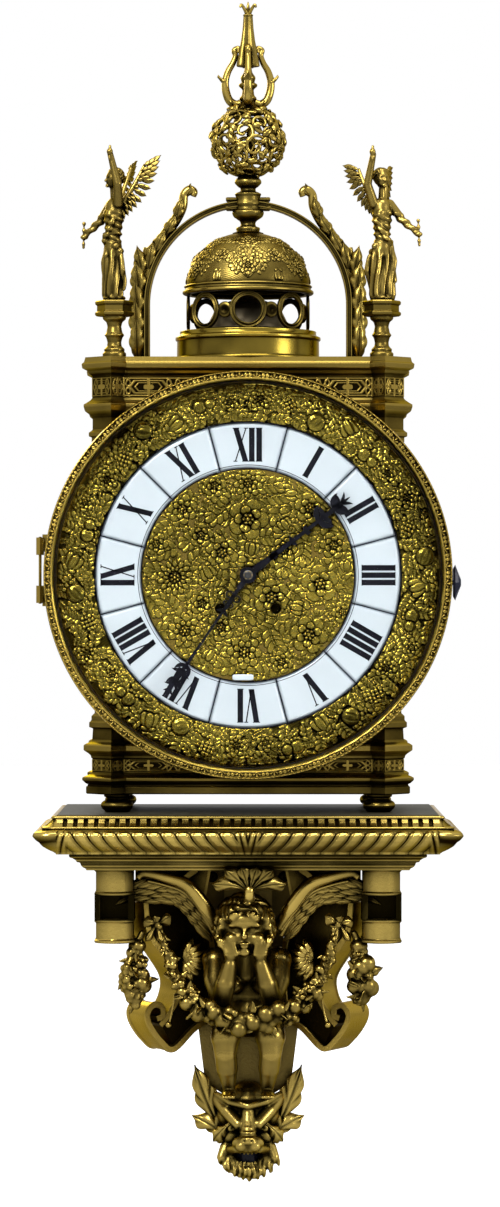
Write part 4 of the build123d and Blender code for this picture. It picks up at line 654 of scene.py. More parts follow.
white_enamel = mottled("white_enamel", 30.0, (0.57, 0.63, 0.68), (0.30, 0.35, 0.40),
    {"Roughness": 0.16, "Coat Weight": 0.6, "Coat Roughness": 0.05}, detail=4.0, edges=True)
fired_black_and_shade = plain_black("fired_black_and_shade")
plaque_y = plaques_low[1]
numerals_inner = numerals_outer - 36.8
edge_roll = 2.2
plaques = []
plaque_hollow = []
for hour in range(12):
    radius = np.linspace(numerals_inner, numerals_outer, 22)[:, None]
    half_angle = pi / 12 - 0.35 / radius
    share = np.linspace(-1, 1, 40)[None, :]
    angle = radians(hour * 30) + share * half_angle
    to_side = (1 - np.abs(share)) * half_angle * radius
    to_edge = np.minimum(to_side, np.minimum(radius - numerals_inner, numerals_outer - radius))
    fall = 1 - np.clip(to_edge / edge_roll, 0, 1)
    depth = plaque_y + 0.9 * fall ** 2.2 + np.where(to_edge < 1e-6, 1.6, 0)
    points = np.stack([radius * np.sin(angle), depth, dial_z + radius * np.cos(angle)], -1)
    plaques.append((points.reshape(-1, 3), grid_faces(22, 40)))
    plaque_hollow.append(0.75 * fall ** 3 + 0.1)
make_piece("numeral_plaques", *joined(plaques), white_enamel, slot="enamel", nodes=["enamel_plaques"],
    hollow=plaque_hollow)
print("twelve plaques")

# %% [markdown]
# The numerals are roman and stand radially, so those at the foot are upside down, and four is IIII.
# They could be text, but a painter's numerals have one thick and one thin stroke and hairline serifs,
# which strokes drawn as thin plates give at once. A list per letter says where its strokes run.

# %% Roman numerals and lines
numeral_foot = 91.8
numeral_height = 26.6
numeral_lift = 0.12
thick_stroke, thin_stroke, hair_line = 4.5, 1.0, 0.8
letter_width = {"I": 5.9, "V": 12.4, "X": 12.0}
strokes = {"I": [(0, 0, 0, 1, thick_stroke)], "V": [(-3.9, 1, 0.3, 0, thick_stroke),
    (4.4, 1, 0.3, 0, thin_stroke)], "X": [(-3.9, 1, 3.9, 0, thick_stroke), (4.2, 1, -4.2, 0, thin_stroke)]}
serifs = {"I": [(0, 0, 5.2), (0, 1, 5.2)], "V": [(-3.9, 1, 5.8), (4.4, 1, 3.2)],
    "X": [(-3.9, 1, 5.4), (4.2, 1, 3.2), (3.9, 0, 5.4), (-4.2, 0, 3.2)]}
hour_words = ["XII", "I", "II", "III", "IIII", "V", "VI", "VII", "VIII", "IX", "X", "XI"]
mark_points = []
mark_faces = []


def add_mark(corners):
    """A flat stroke with four corners, as seen from the front, laid on the enamel."""
    start = len(mark_points)
    mark_points.extend((x, plaque_y - numeral_lift, dial_z + z) for x, z in corners)
    mark_faces.append((start, start + 1, start + 2, start + 3))


def stroke(hour, x0, out0, x1, out1, width):
    """A stroke from one place to another of an hour. x is along the tangent, out from the dial's centre."""
    corners = ((x0 - width / 2, out0), (x0 + width / 2, out0), (x1 + width / 2, out1),
        (x1 - width / 2, out1))
    add_mark([away(*away(0, 0, hour * 30, out), hour * 30 + 90, x) for x, out in corners])


for hour, word in enumerate(hour_words):
    left = -sum(letter_width[letter] for letter in word) / 2
    for letter in word:
        x = left + letter_width[letter] / 2
        for x0, e0, x1, e1, weight in strokes[letter]:
            stroke(hour, x + x0, numeral_foot + numeral_height * e0, x + x1,
                numeral_foot + numeral_height * e1, weight)
        for x0, e0, length in serifs[letter]:
            out = numeral_foot + numeral_height * e0
            stroke(hour, x + x0, out - hair_line / 2, x + x0, out + hair_line / 2, length)
        left += letter_width[letter]
line_inner, line_outer = numerals_inner + 2.325, numerals_inner + 2.875
for step in range(360):
    corners = ((step, line_inner), (step, line_outer), (step + 1, line_outer), (step + 1, line_inner))
    add_mark([away(0, 0, bearing, out) for bearing, out in corners])
for hour in range(12):
    stroke(hour + 0.5, 0, numerals_inner, 0, numerals_outer, 0.84)
make_piece("numerals", mark_points, mark_faces, fired_black_and_shade, slot="enamel", smooth=False,
    hollow=np.zeros(len(mark_points)))
print("numerals:", len(mark_faces), "strokes")

# %% [markdown]
# A dark ring closes the enamel on both sides: a painted shadow, a narrow turned fillet in the numerals'
# black that stands for the shadow gap between the plaques and the cast metal. A turned piece needs only
# its profile, so one function spins a list of radius and depth pairs about the dial's axis, and another
# spins height and radius pairs about an upright axis. A third rounds the corners of a profile, so that
# they catch the light.

# %% Turned pieces
def spin_on_dial(name, profile, material, spokes=220, **options):
    """Spin radius and depth pairs about the dial's axis."""
    radius, depth = np.asarray(profile, float).T[:, :, None]
    angle = turns(spokes)
    points = np.stack([radius * np.sin(angle), depth + 0 * angle, dial_z + radius * np.cos(angle)], -1)
    make_piece(name, points, grid_faces(len(profile), spokes, True), material, **options)


def rounded(profile, steps=4, size=0.5):
    """A profile with its corners rounded."""
    profile = np.asarray(profile, float)
    result = [profile[0]]
    for before, here, after in zip(profile[:-2], profile[1:-1], profile[2:]):
        back, ahead = np.linalg.norm(before - here), np.linalg.norm(after - here)
        reach = min(size, 0.45 * back, 0.45 * ahead)
        start = here + (before - here) / max(back, 1e-9) * reach
        end = here + (after - here) / max(ahead, 1e-9) * reach
        for share in np.arange(steps + 1) / steps:
            result.append((1 - share) ** 2 * start + 2 * share * (1 - share) * here + share ** 2 * end)
    result.append(profile[-1])
    return np.array(result)


def spin_upright(name, profile, material, x=0.0, y=case_y, spokes=72, foot=0.0, size=0.5, flute=0.0,
        **options):
    """Height and radius pairs above a foot, rounded by a size and spun; flute cuts three hollows."""
    height, radius = (rounded(profile, 4, size) if size else np.asarray(profile, float)).T[:, :, None]
    angle = turns(spokes)
    radius = radius * (1 - flute * (0.5 + 0.5 * np.sin(3 * angle)))
    points = np.stack([x + radius * np.cos(angle), y + radius * np.sin(angle), foot + height + 0 * angle],
        -1)
    make_piece(name, points, grid_faces(len(height), spokes, True), material, **options)


# painted shadow: black fillets in the seams on both sides of the enamel
lines = {"plaque_outer_line": (numerals_outer, ((-0.2, -163.0), (-0.2, -163.6), (0.7, -163.6),
    (0.9, -162.8))), "plaque_inner_line": (numerals_inner, ((0.3, -162.6), (0.3, -163.5), (-0.5, -163.5),
    (-0.7, -162.6)))}
for name, (edge, profile) in lines.items():
    spin_on_dial(name, [(edge + out, depth) for out, depth in profile], fired_black_and_shade, slot="enamel")
print("seam rings done")


# %% [markdown]
# The bracket's figures, fruit and beast are free sculpture. A modeller builds such things from lumps of
# clay pressed together, and the cell below does the same: balls and tapered sticks are joined, fused by
# a voxel remesh, and smoothed. Carving is a second step, where a function moves each point along its
# normal. That way anatomy stays a short list of lumps that can be read and changed.

# %% Clay
ball_tilt = np.linspace(-pi / 2, pi / 2, 14)[:, None]
ball_turn = turns(20)[None, :]
unit_ball = np.stack([np.cos(ball_tilt) * np.cos(ball_turn), np.cos(ball_tilt) * np.sin(ball_turn),
    np.sin(ball_tilt) + 0 * ball_turn], -1).reshape(-1, 3)
unit_ball_faces = grid_faces(14, 20, wrap_columns=True)


def unit(vector):
    vector = np.asarray(vector, float)
    return vector / np.linalg.norm(vector)


def turn_to(direction):
    """A rotation matrix whose third column is the direction."""
    direction = unit(direction)
    across = unit(np.cross([0, 0, 1.0] if abs(direction[2]) < 0.9 else [1.0, 0, 0], direction))
    return np.stack([across, np.cross(direction, across), direction], -1)


class Clay:
    """Lumps gathered in millimetres, to be fused into one skin."""

    def __init__(self):
        self.lumps = []

    def ball(self, centre, radii):
        self.lumps.append(unit_ball * radii + np.asarray(centre, float))

    def stick(self, start, end, start_radius, end_radius):
        """A rod with round ends and a different radius at each end."""
        start, end = np.asarray(start, float), np.asarray(end, float)
        far = unit_ball * end_radius + [0, 0, np.linalg.norm(end - start)]
        points = np.where(unit_ball[:, 2:] < 0, unit_ball * start_radius, far)
        self.lumps.append(points @ turn_to(end - start).T + start)

    def chain(self, *places):
        """Sticks through places of x, y, z, radius."""
        for before, after in zip(places[:-1], places[1:]):
            self.stick(before[:3], after[:3], before[3], after[3])

    def fuse(self, name, voxel_mm, smooth_steps, material, carve=None, **options):
        mesh = bpy.data.meshes.new(name)
        faces = np.concatenate([unit_ball_faces + k * len(unit_ball) for k in range(len(self.lumps))])
        mesh.from_pydata((np.concatenate(self.lumps) * metres).tolist(), [], faces.tolist())
        lumps = add_object(name, mesh)
        remesh = lumps.modifiers.new("fuse", "REMESH")
        remesh.mode = "VOXEL"
        remesh.voxel_size = voxel_mm * metres
        soften = lumps.modifiers.new("soften", "SMOOTH")
        soften.factor = 0.5
        soften.iterations = smooth_steps
        fused = bpy.data.meshes.new_from_object(lumps.evaluated_get(bpy.context.evaluated_depsgraph_get()))
        bpy.data.objects.remove(lumps)
        bpy.data.meshes.remove(mesh)
        fused.name = name
        fused.shade_smooth()
        if carve:
            points, normals = vertex_rows(fused, "co") / metres, vertex_rows(fused, "normal")
            points = points + normals * carve(points)[:, None]
            fused.vertices.foreach_set("co", (points * metres).ravel())
            fused.update()
        finish_piece(add_object(name, fused), material, **options)
        print(name, "has", len(fused.vertices), "points")


print("clay ready")

# %% [markdown]
# Leaves, feathers and prongs are sheets. One function bends a lobed sheet along its length, gives it a
# rib and side veins, and closes it with a back face. Its edge comes from the same notch formula as the
# flat leaves of the dial. Ribs and stems are tubes along a curve through a few places.

# %% Leaves and tubes
def leaf_points(base, direction, face, length, width, curl=0.0, side_bend=0.0, cup=0.25, lobes=4,
        depth=0.35, thickness=1.2, rows=30, columns=17, tip=0.75):
    """Points and faces of a lobed leaf. face is the way its front looks; curl bends the tip forward."""
    direction = unit(direction)
    face = np.asarray(face, float)
    face = unit(face - direction * np.dot(face, direction))
    share = np.linspace(0, 1, rows)[:, None]
    v = np.linspace(-1, 1, columns)[None, :]
    outline = width / 2 * (0.22 + 0.78 * np.sin(pi * share ** tip)) * (1 - share ** 7)
    cut = np.abs(np.sin(pi * lobes * (share - 0.22 * np.abs(v)))) ** 0.6
    across = v * outline * (1 - depth * (1 - cut) * np.abs(v))
    bend = radians(curl) * share ** 1.4
    swing = radians(side_bend) * share
    step = length / (rows - 1)
    ahead = np.cumsum(np.cos(bend) * np.cos(swing) * step, 0)
    lift = np.cumsum(np.sin(bend) * step, 0)
    drift = np.cumsum(np.cos(bend) * np.sin(swing) * step, 0)
    bulge = width * cup * 0.5 * (1 - v ** 2) * np.sin(pi * (share * 0.9 + 0.1))
    rib = -0.05 * width * np.exp(-(v / 0.12) ** 2)
    vein = 0.035 * width * (cut - 0.5) * np.minimum(1, np.abs(v) * 3)
    sheets = []
    for offset in (thickness / 2, -thickness / 2):
        height = bulge + rib + vein + offset * (1 - 0.6 * np.abs(v) ** 3)
        ups = lift + height * np.cos(bend)
        aheads = ahead - height * np.sin(bend)
        sheets.append(np.asarray(base, float) + direction * aheads[..., None] + face * ups[..., None]
            + np.cross(direction, face) * (drift + across)[..., None])
    points = np.concatenate([sheets[0], sheets[1][:, ::-1]], 1)
    return points.reshape(-1, 3), grid_faces(rows, 2 * columns, wrap_columns=True)


def tube_points(path, radii, sides=16):
    """A tube through places, with a radius or a pair of radii at each, closed at both ends."""
    path, radii = np.asarray(path, float), np.asarray(radii, float)
    if radii.ndim == 1:
        radii = np.stack([radii, radii], -1)
    heading = np.gradient(path, axis=0)
    heading /= np.linalg.norm(heading, axis=1)[:, None]
    across = np.cross(heading, [0.0, 1.0, 0.0])
    across[np.linalg.norm(across, axis=1) < 1e-3] = [1.0, 0, 0]
    across /= np.linalg.norm(across, axis=1)[:, None]
    angle = turns(sides)[None, :, None]
    points = (path[:, None] + across[:, None] * (radii[:, :1, None] * np.cos(angle))
        + np.cross(heading, across)[:, None] * (radii[:, 1:, None] * np.sin(angle)))
    points = np.concatenate([np.repeat(path[:1, None], sides, 1), points,
        np.repeat(path[-1:, None], sides, 1)])
    return points.reshape(-1, 3), grid_faces(len(points), sides, wrap_columns=True)


def smooth_path(places, count):
    """A Catmull-Rom curve through places."""
    places = np.asarray(places, float)
    ends = np.vstack([2 * places[0] - places[1], places, 2 * places[-1] - places[-2]])
    t = np.linspace(0, len(places) - 1 - 1e-9, count)
    i = t.astype(int)
    f = (t - i)[:, None]
    p0, p1, p2, p3 = ends[i], ends[i + 1], ends[i + 2], ends[i + 3]
    return 0.5 * (2 * p1 + (p2 - p0) * f + (2 * p0 - 5 * p1 + 4 * p2 - p3) * f ** 2
        + (3 * p1 - p0 - 3 * p2 + p3) * f ** 3)


def tapered(path, shares, radii, deep=None, sides=12):
    """A tube whose half width is given at shares of its length; deep is its half depth."""
    wide = np.interp(np.linspace(0, 1, len(path)), shares, radii)
    return tube_points(path, np.column_stack([wide, wide if deep is None else np.full(len(path), deep)]),
        sides)


print("leaf and tube tools ready")

# %% [markdown]
# The child leans on its elbows with its chin in both hands, and its legs hang to the beast's head. Its
# face is a calm child's face made from a few general lumps: brow, cheeks, nose, lips and chin. The hair
# is carved as curls by a pattern of swirling waves.

# %% The child
child_y = -88.0
child = Clay()
head = np.array([-3.0, child_y - 8, -36])
for centre, radii in (((0, 2, 2), (21.5, 21, 21.5)), ((0, -5, -9), (16.5, 14, 14.5)),
        ((0, -17.5, 5), (11, 4.5, 7)), ((0, -18.5, -13.2), (4.6, 2.8, 1.4)),
        ((0, -18.0, -15.6), (3.8, 2.8, 1.5)), ((0, -15.5, -20.5), (5.2, 4.4, 4))):
    child.ball(head + centre, radii)
child.stick(head + (0, -19.5, 0), head + (0, -21.5, -7), 1.9, 2.9)
child.stick((-2, child_y + 10, -74), (-2, child_y, -52), 11.5, 11)
child.ball((0, child_y + 28, -88), (23, 20, 24))
child.ball((0, child_y + 26, -112), (22, 21, 20))
for side in (-1, 1):
    child.ball(head + (side * 9.5, -13, -10), (7.5, 6, 7))
    child.ball(head + (side * 7.5, -16.5, 1.8), (6.2, 3.4, 2.6))
    child.ball(head + (side * 20, 1, -6), (3, 4.5, 6))
    shoulder = (side * 26 - 1, child_y + 10, -66)
    elbow = (side * 20.5 - 1, child_y - 16, -97)
    child.ball(shoulder, (11.5, 11, 11))
    child.chain((*shoulder, 10.5), (side * 26 - 1, child_y - 2, -82, 9.6), (*elbow, 8.4))
    child.chain((*elbow, 8.2), (side * 17 - 1.5, child_y - 20, -83, 8.8),
        (side * 13 - 2, child_y - 21, -67, 5.8))
    child.ball((side * 12 - 2, child_y - 22, -58), (6, 5.5, 7))
    for finger in range(4):
        tip = (side * (19 - 3.2 * finger) - 2.5, child_y - 22.5 - 1.1 * finger, -47.5 - 0.6 * finger)
        child.stick((side * (15.5 - 2.6 * finger) - 2, child_y - 25.5, -58), tip, 2.1, 1.7)
    child.stick((side * 10, child_y + 14, -84), (side * 12, child_y + 3, -86), 11, 7)
    child.chain((side * 16.5, child_y + 16, -118, 13.5), (side * 18.4, child_y + 3, -129, 12.8),
        (side * 18.6, child_y - 1, -142, 9.4), (side * 17.4, child_y + 6, -155, 9.2),
        (side * 15.8, child_y + 13, -173, 5.2))
    child.ball((side * 18.8, child_y - 5, -144), (6.6, 5.0, 5.6))
    child.ball((side * 16.2, child_y + 6, -177), (6.2, 11, 4.0))
    for toe in range(4):
        child.ball((side * 16.2 - 4.2 + 2.8 * toe, child_y - 4.6, -177.6), (1.6, 2.4, 1.7))


def pit(x, z, wide, high):
    """A soft round mark about a middle, for eyes and mouths."""
    return np.exp(-(x / wide) ** 2 - (z / high) ** 2)


def carve_child(points):
    """Curls on the head, eyes and mouth."""
    x, y, z = (points - head).T
    on_head = np.clip((z + 24) / 6, 0, 1) * np.clip((26 - np.hypot(x, z)) / 3, 0, 1)
    hair_line = 9.5 + 2.0 * np.cos(x * 0.35) - 0.030 * x * x
    hair = np.clip(np.maximum((z - hair_line) / 2.0, (np.abs(x) - 15.5 + 0.1 * z) / 2.0), 0, 1)
    hair = np.clip(hair + np.clip((y - 4) / 4, 0, 1), 0, 1) * on_head
    angle = np.arctan2(z + 2, x)
    swirl = np.sin(9 * angle + 2.2 * np.sin(0.42 * y + 2 * angle)) * np.cos(0.42 * y + 1.3
        * np.sin(5 * angle))
    moved = hair * (2.6 + 2.4 * np.abs(swirl) ** 0.7)
    for side in (-1, 1):
        eye_x = x - side * 7.4
        moved += (1.5 * pit(eye_x, z + 2.8, 3.1, 1.6) - 1.7 * pit(eye_x, z + 2.6, 4.6, 2.4)) * (y < -8)
    return moved - 0.9 * pit(x, z + 14.5, 4.4, 0.55) * (y < -10)


child.fuse("child", 0.95, 5, figure_gilt, carve=carve_child, nodes=["putto"], depth_mm=1.4, steps=22)

# %% [markdown]
# The beast's head closes the foot of the bracket: brows that slant down to a ridged nose, small eyes
# under them, a broad muzzle, an open mouth with two rows of teeth, and a beard in locks. It is clay too,
# and stands between leaves that curl up and out.

# %% The beast's head
beast = Clay()
beast.chain((0, -48, -190, 20), (0, -54, -206, 20), (0, -58, -222, 15))
beast.chain((-29, -54, -179, 2.6), (-15, -72, -184, 3.4), (0, -79, -187, 3.2), (15, -72, -184, 3.4),
    (29, -54, -179, 2.6))
beast.chain((0, -74, -190, 5.5), (0, -80, -202, 6.0), (0, -86, -212, 7.5))
beast.chain((-12, -66, -238, 4.6), (0, -78, -240.5, 4.6), (12, -66, -238, 4.6))
for centre, radii in (((0, -54, -189), (24, 20, 7)), ((0, -66, -197), (13, 11, 11)),
        ((0, -88, -216), (13.5, 9, 6.5)), ((0, -95, -213.5), (6.5, 4.0, 3.6)),
        ((0, -56, -236), (12, 8, 9))):
    beast.ball(centre, radii)
for side in (-1, 1):
    beast.chain((side * 26, -56, -184, 5.0), (side * 18, -69, -192, 5.6), (side * 8, -79, -202, 5.0))
    beast.chain((side * 24, -58, -200, 4.2), (side * 27, -56, -210, 3.6), (side * 24, -58, -219, 2.2))
    beast.chain((side * 2, -92, -219.5, 4.0), (side * 9, -87, -220.5, 4.0), (side * 14.5, -76, -223, 3.8),
        (side * 15, -68, -230, 3.8))
    beast.chain((side * 14, -64, -228, 5.4), (side * 13, -66, -238, 4.6))
    for (x, y, z), radii in (((12, -60, -196), (14, 12.5, 12)), ((13, -66, -213), (9.5, 11, 8)),
            ((13.5, -75, -205.5), (4.4, 3.6, 3.4)), ((5.5, -94, -218), (5.0, 4.0, 4.2))):
        beast.ball((side * x, y, z), radii)
for x in np.linspace(-9.6, 9.6, 7):
    beast.stick((x, -88.5 + 0.13 * x * x, -220), (x, -88.0 + 0.13 * x * x, -225), 1.75, 1.1)
for x in np.linspace(-6, 6, 5):
    beast.stick((x, -78 + 0.10 * x * x, -237), (x, -79 + 0.10 * x * x, -233.5), 1.4, 1.0)
locks = [(19, -222, 16, 0.4), (15, -229, 15, 0.28), (10, -235, 12, 0.18), (5, -238, 11, 0.1)]
for x, z, length, lean in locks + [(0, -239, 11.5, 0.0)] + [(-x, z, length, -lean) for x, z, length,
        lean in locks]:
    beast.chain((x, -70, z, 4.6), (x + lean * length * 0.5, -74 + 1.5 * sin(x), z - length * 0.5, 3.9),
        (x + lean * length * 0.7 + 1.5, -70, z - length * 0.86, 1.9))


def carve_beast(points):
    """Strands in the beard, folds over the nose, pupils and nostrils."""
    x, y, z = points.T
    strands = np.clip((-230 - z) / 5, 0, 1) * 0.5 * np.sin(x * 1.5 + 0.9 * np.sin(z * 0.5))
    moved = strands + 0.6 * np.sin(z * 1.6) * pit(x, z + 208, 8, 4)
    for side in (-1, 1):
        moved = moved - 1.5 * pit(x - side * 13.0, z + 205.2, 1.4, 1.4) * (y < -75)
        moved = moved - 1.9 * pit(x - side * 3.4, z + 213.2, 1.3, 1.2) * (y < -92)
    return moved


beast.fuse("beast_head", 0.9, 2, bracket_gilt, carve=carve_beast, slot="dark_bronze", nodes=["mask"],
    depth_mm=1.2, steps=16)
# painted shade: a black sheet behind the teeth stands for the dark inside the open mouth
mouth_rows = [(-227.0, 7.0), (-229.0, 9.6), (-233.0, 9.6), (-236.0, 7.0)]
mouth_points = [(width * x, -74.5 + 0.08 * (width * x) ** 2, z) for z,
    width in mouth_rows for x in np.linspace(-1, 1, 9)]
make_piece("mouth_shade_sheet", mouth_points, grid_faces(4, 9), fired_black_and_shade, slot="dark_bronze", smooth=False,
    hollow=np.ones(36))

foot_leaves = []
for side in (-1, 1):
    foot_leaves += [leaf_points((side * 14, -50, -222), (side * 0.62, -0.12, 1), (side * 0.35, -1, 0.1), 72,
        23, curl=-12, side_bend=-side * 12, depth=0.42, thickness=2.6, rows=48, columns=23, cup=0.4,
        tip=1.9), leaf_points((side * 13, -56, -216), (side * 0.8, 0.0, 0.6), (0.2 * side, -1, 0), 38, 19,
        curl=-16, side_bend=side * 20, lobes=3, depth=0.4, thickness=2.6, cup=0.45, tip=1.7),
        leaf_points((side * 14, -76, -201), (side * 0.75, 0.25, -0.75), (side * 0.4, -1, 0.1), 24, 15,
        curl=-30, lobes=3, depth=0.4, thickness=2.2, cup=0.5, tip=1.7)]
make_piece("foot_leaves", *joined(foot_leaves), bracket_gilt, slot="dark_bronze", depth_mm=0.9, steps=10)
print("foot leaves done")

# %% [markdown]
# The child's wings are sheets of feathers. Each feather is a narrow leaf with a quill. Three rows
# overlap: long ones below and short ones above, under a smooth ridge. A loop places them along the
# wing's arm.

# %% The child's wings
feathers = []
ridges = []
for side in (-1, 1):
    arm_path = smooth_path([(25, -80, -40), (36, -88, -22), (50, -94, -4), (66, -98, 3), (84, -100, 7),
        (91, -100, 4)], 60)
    for row, (reach, drop) in enumerate(((27, 13.0), (24, 8.5), (20, 4.0))):
        for k in range(9):
            spot = int(1 + 44 * k / 8)
            x, y, z = arm_path[spot]
            run_x, run_y, run_z = arm_path[spot + 6] - arm_path[spot]
            base = (side * (x + 0.25 * drop), y + 1.5 - 1.2 * row, z - drop)
            feathers.append(leaf_points(base, (side * run_x, run_y, run_z - 0.35 * abs(run_x)),
                (0, -1, 0.15), reach, 8.0, curl=6, side_bend=side * 12, cup=0.4, depth=0.05, thickness=1.5,
                rows=18, columns=9, tip=0.95))
    ridge = np.array([(side * x, y - 4, z + 1) for x, y, z in arm_path])
    width = np.interp(np.linspace(0, 1, 60), [0, 0.2, 0.6, 0.9, 1.0], [5.0, 6.6, 5.0, 3.2, 3.6])
    ridges.append(tube_points(ridge, np.column_stack([width, 0.8 * width])))
    ridges.append(tube_points(ridge[:46] + [side * 1.5, 1.0, -6.5], np.linspace(2.2, 1.2, 46), 10))
make_piece("wing_ridges", *joined(ridges), figure_gilt, depth_mm=1.0, steps=8)
make_piece("child_wings", *joined(feathers), figure_gilt, nodes=["putto_wings"], depth_mm=0.9, steps=8)
print("feathers:", len(feathers))


# %% [markdown]
# The arms are broad straps bent into a C, with a web between them that is painted nearly black as the
# shade inside the C. Their faces are matted with a grained punch between two smooth borders, and their
# lower ends roll up. A strap is a path swept with a flat section that has a raised edge on both sides, so
# the borders come with the form.

# %% Scroll arms
def strap_points(path, way, half, border=2.2):
    """A strap four millimetres thick that reaches half its width to both sides of a path."""
    heading = np.gradient(path, axis=0)
    heading /= np.linalg.norm(heading, axis=1)[:, None]
    out = np.cross(heading, way)
    edge = [(half, 2.36), (half - 0.5, 2.9), (half - border + 0.6, 2.9), (half - border, 2.0)]
    section = [(-x, rise) for x, rise in edge] + [(-1.6, 1.9), (1.6, 1.9)] + edge[::-1] + [(half, -2.0),
        (-half, -2.0)]
    points = np.stack([path + way * x + out * rise for x, rise in section], 1)
    ends = [np.repeat(place[None, None], len(section), 1) for place in (path[0], path[-1])]
    points = np.concatenate([ends[0], points, ends[1]])
    return points.reshape(-1, 3), grid_faces(len(points), len(section), wrap_columns=True)


def plate(front, back):
    """A solid between two outlines of the same number of points."""
    count = len(front)
    faces = [list(range(count)), list(range(2 * count - 1, count - 1, -1))]
    faces += [(k, (k + 1) % count, (k + 1) % count + count, k + count) for k in range(count)]
    return np.concatenate([front, back]), faces


arm_parts = []
arm_hollow = []
arm_lean = radians(30)
for side in (-1, 1):
    outward = np.array([side * cos(arm_lean), -sin(arm_lean), 0])
    way = np.array([side * sin(arm_lean), cos(arm_lean), 0])

    def on_arm(places, side=side, outward=outward):
        return np.array([np.array([side * 35.0, -40.0, h]) + outward * u for u, h in places])

    outer = [(66, -18), (62, -44), (48, -62), (35, -82), (36, -98), (44, -111), (52, -120)]
    inner = [(18, 8), (30, -2), (24, -24), (6, -46), (2, -72), (3, -100), (8, -118)]
    foot = [(3, -116), (20, -124), (40, -140), (52, -133), (62, -120), (64.5, -110), (59, -103),
        (51.5, -105), (51, -112), (56, -114)]
    web = on_arm([(4, -112), (2, -90), (3, -66), (12, -44), (24, -26), (36, -14), (60, -16), (62, -40),
        (50, -58), (37, -76), (34, -92), (40, -112), (48, -122), (38, -138), (20, -124)])
    for places, count, half, border in ((outer, 90, 15, 2.2), (inner, 80, 15, 2.2), (foot, 110, 16.5, 3)):
        arm_parts.append(strap_points(smooth_path(on_arm(places), count), way, half, border))
        arm_hollow.append(np.full(len(arm_parts[-1][0]), 0.25))
    arm_parts.append(plate(web - way * 11, web + way * 11))
    # painted shade: the web is nearly black, the straps light
    arm_hollow.append(np.full(2 * len(web), 0.95))
arm_bronze = worn_and_shaded_metal("arm_bronze", (0.31, 0.215, 0.045), (0.008, 0.005, 0.001), (0.26, 0.46), grain=720,
    grain_height=0.32)
make_piece("scroll_arm_straps", *joined(arm_parts), arm_bronze, slot="dark_bronze", nodes=["scroll_arms"],
    smooth=False, hollow=np.concatenate(arm_hollow))
print("arm straps and webs:", len(arm_parts))

# %% [markdown]
# Garland and fruit: a loop walks down the garland's curve and lays leaves and fruit round it, larger
# towards the middle. The hanging bunches use the same loop on a short upright path. Sines of the running
# number stand in for chance, so that the garland is the same in every run.

# %% Garland, bows and bunches
def fruit_and_leaves(clay, path, radii, pace, count, seed):
    """A core of clay along a path with fruit round it, and leaves as sheets."""
    shares = np.linspace(0, 1, len(radii))
    last = len(path) - 1
    for step in range(0, last, pace):
        core = np.interp(step / last, shares, radii) * 0.6
        clay.stick(path[step], path[min(step + pace, last)], core, core)
    leaves = []
    for k in range(count):
        share = (k + 0.5) / count
        place = path[int(share * last)]
        radius = np.interp(share, shares, radii)
        around = (k * 2.4 + seed) % (2 * pi)
        outward = unit([cos(around), -abs(sin(around * 0.5 + 0.4)), sin(around)])
        centre = place + outward * radius * 0.62
        size = radius * (0.42 + 0.16 * sin(k * 1.9 + seed))
        if k % 3:
            clay.ball(centre, size)
        else:
            for petal in range(5):
                side_way = turn_to(outward) @ [cos(petal * 1.257), sin(petal * 1.257), 0.3]
                clay.ball(centre + side_way * size * 0.75, size * 0.42)
            clay.ball(centre + outward * size * 0.35, size * 0.4)
        if k % 2:
            leaf_way = turn_to(outward) @ [cos(k * 1.7), sin(k * 1.7), 0.35]
            leaves.append(leaf_points(place + outward * radius * 0.5, leaf_way, outward, radius * 1.05,
                radius * 0.72, curl=65, lobes=2, depth=0.25, thickness=1.3, rows=14, columns=9, cup=0.5))
    return leaves


fruit_clay = Clay()
garland_leaves = []
for side in (-1, 1):
    run = smooth_path([(side * 73, -106, -36), (side * 66, -107, -60), (side * 58, -108, -80),
        (side * 46, -110, -95), (side * 27, -114, -107), (0, -116, -113)], 60)
    garland_leaves += fruit_and_leaves(fruit_clay, run, [4.5, 6.5, 8.5, 11.0, 12.5, 13.0], 3, 46,
        side * 0.8)
    drop = smooth_path([(side * 92, -103, -55), (side * 92.5, -103, -70), (side * 93, -103, -84),
        (side * 93, -103, -96)], 30)
    garland_leaves += fruit_and_leaves(fruit_clay, drop, [6.5, 13.0, 13.5, 9.0], 4, 30, side * 1.9)
    fruit_clay.ball((side * 91, -103, -52), (7.5, 7.5, 6))
    fruit_clay.stick((side * 90, -103, -48), (side * 87, -102, -42), 3.2, 3)
    knot = (side * 74, -106, -34)
    fruit_clay.ball(knot, (4, 4, 4.5))
    for (x, y, z), length, width in (((0.95, -0.1, 0.3), 15, 11), ((-0.95, -0.1, 0.35), 15, 11),
            ((0.6, 0, -0.8), 19, 7), ((-0.2, 0, -1.0), 17, 7), ((0.1, -0.3, 0.9), 10, 8)):
        garland_leaves.append(leaf_points(knot, (side * x, y, z), (0.2 * side, -1, 0.2), length, width,
            curl=60, side_bend=side * 15, lobes=1, depth=0.06, thickness=1.8, cup=0.7, tip=1.6))
fruit_clay.fuse("garland_fruit", 0.85, 1, figure_gilt, nodes=["garland"], depth_mm=1.2, steps=12)
make_piece("garland_leaves", *joined(garland_leaves), figure_gilt, depth_mm=0.7, steps=6)
print("leaves on the garland:", len(garland_leaves))

# %% [markdown]
# Under each front corner of the shelf is a bowed roll: two smooth bands with beaded edges and a window
# between them. The bands carry a painted highlight down their middle, and the blocks in the window are
# painted dark as shade. The bands are a curved outline drawn at many heights, which is how a turner's
# profile is run round any plan.

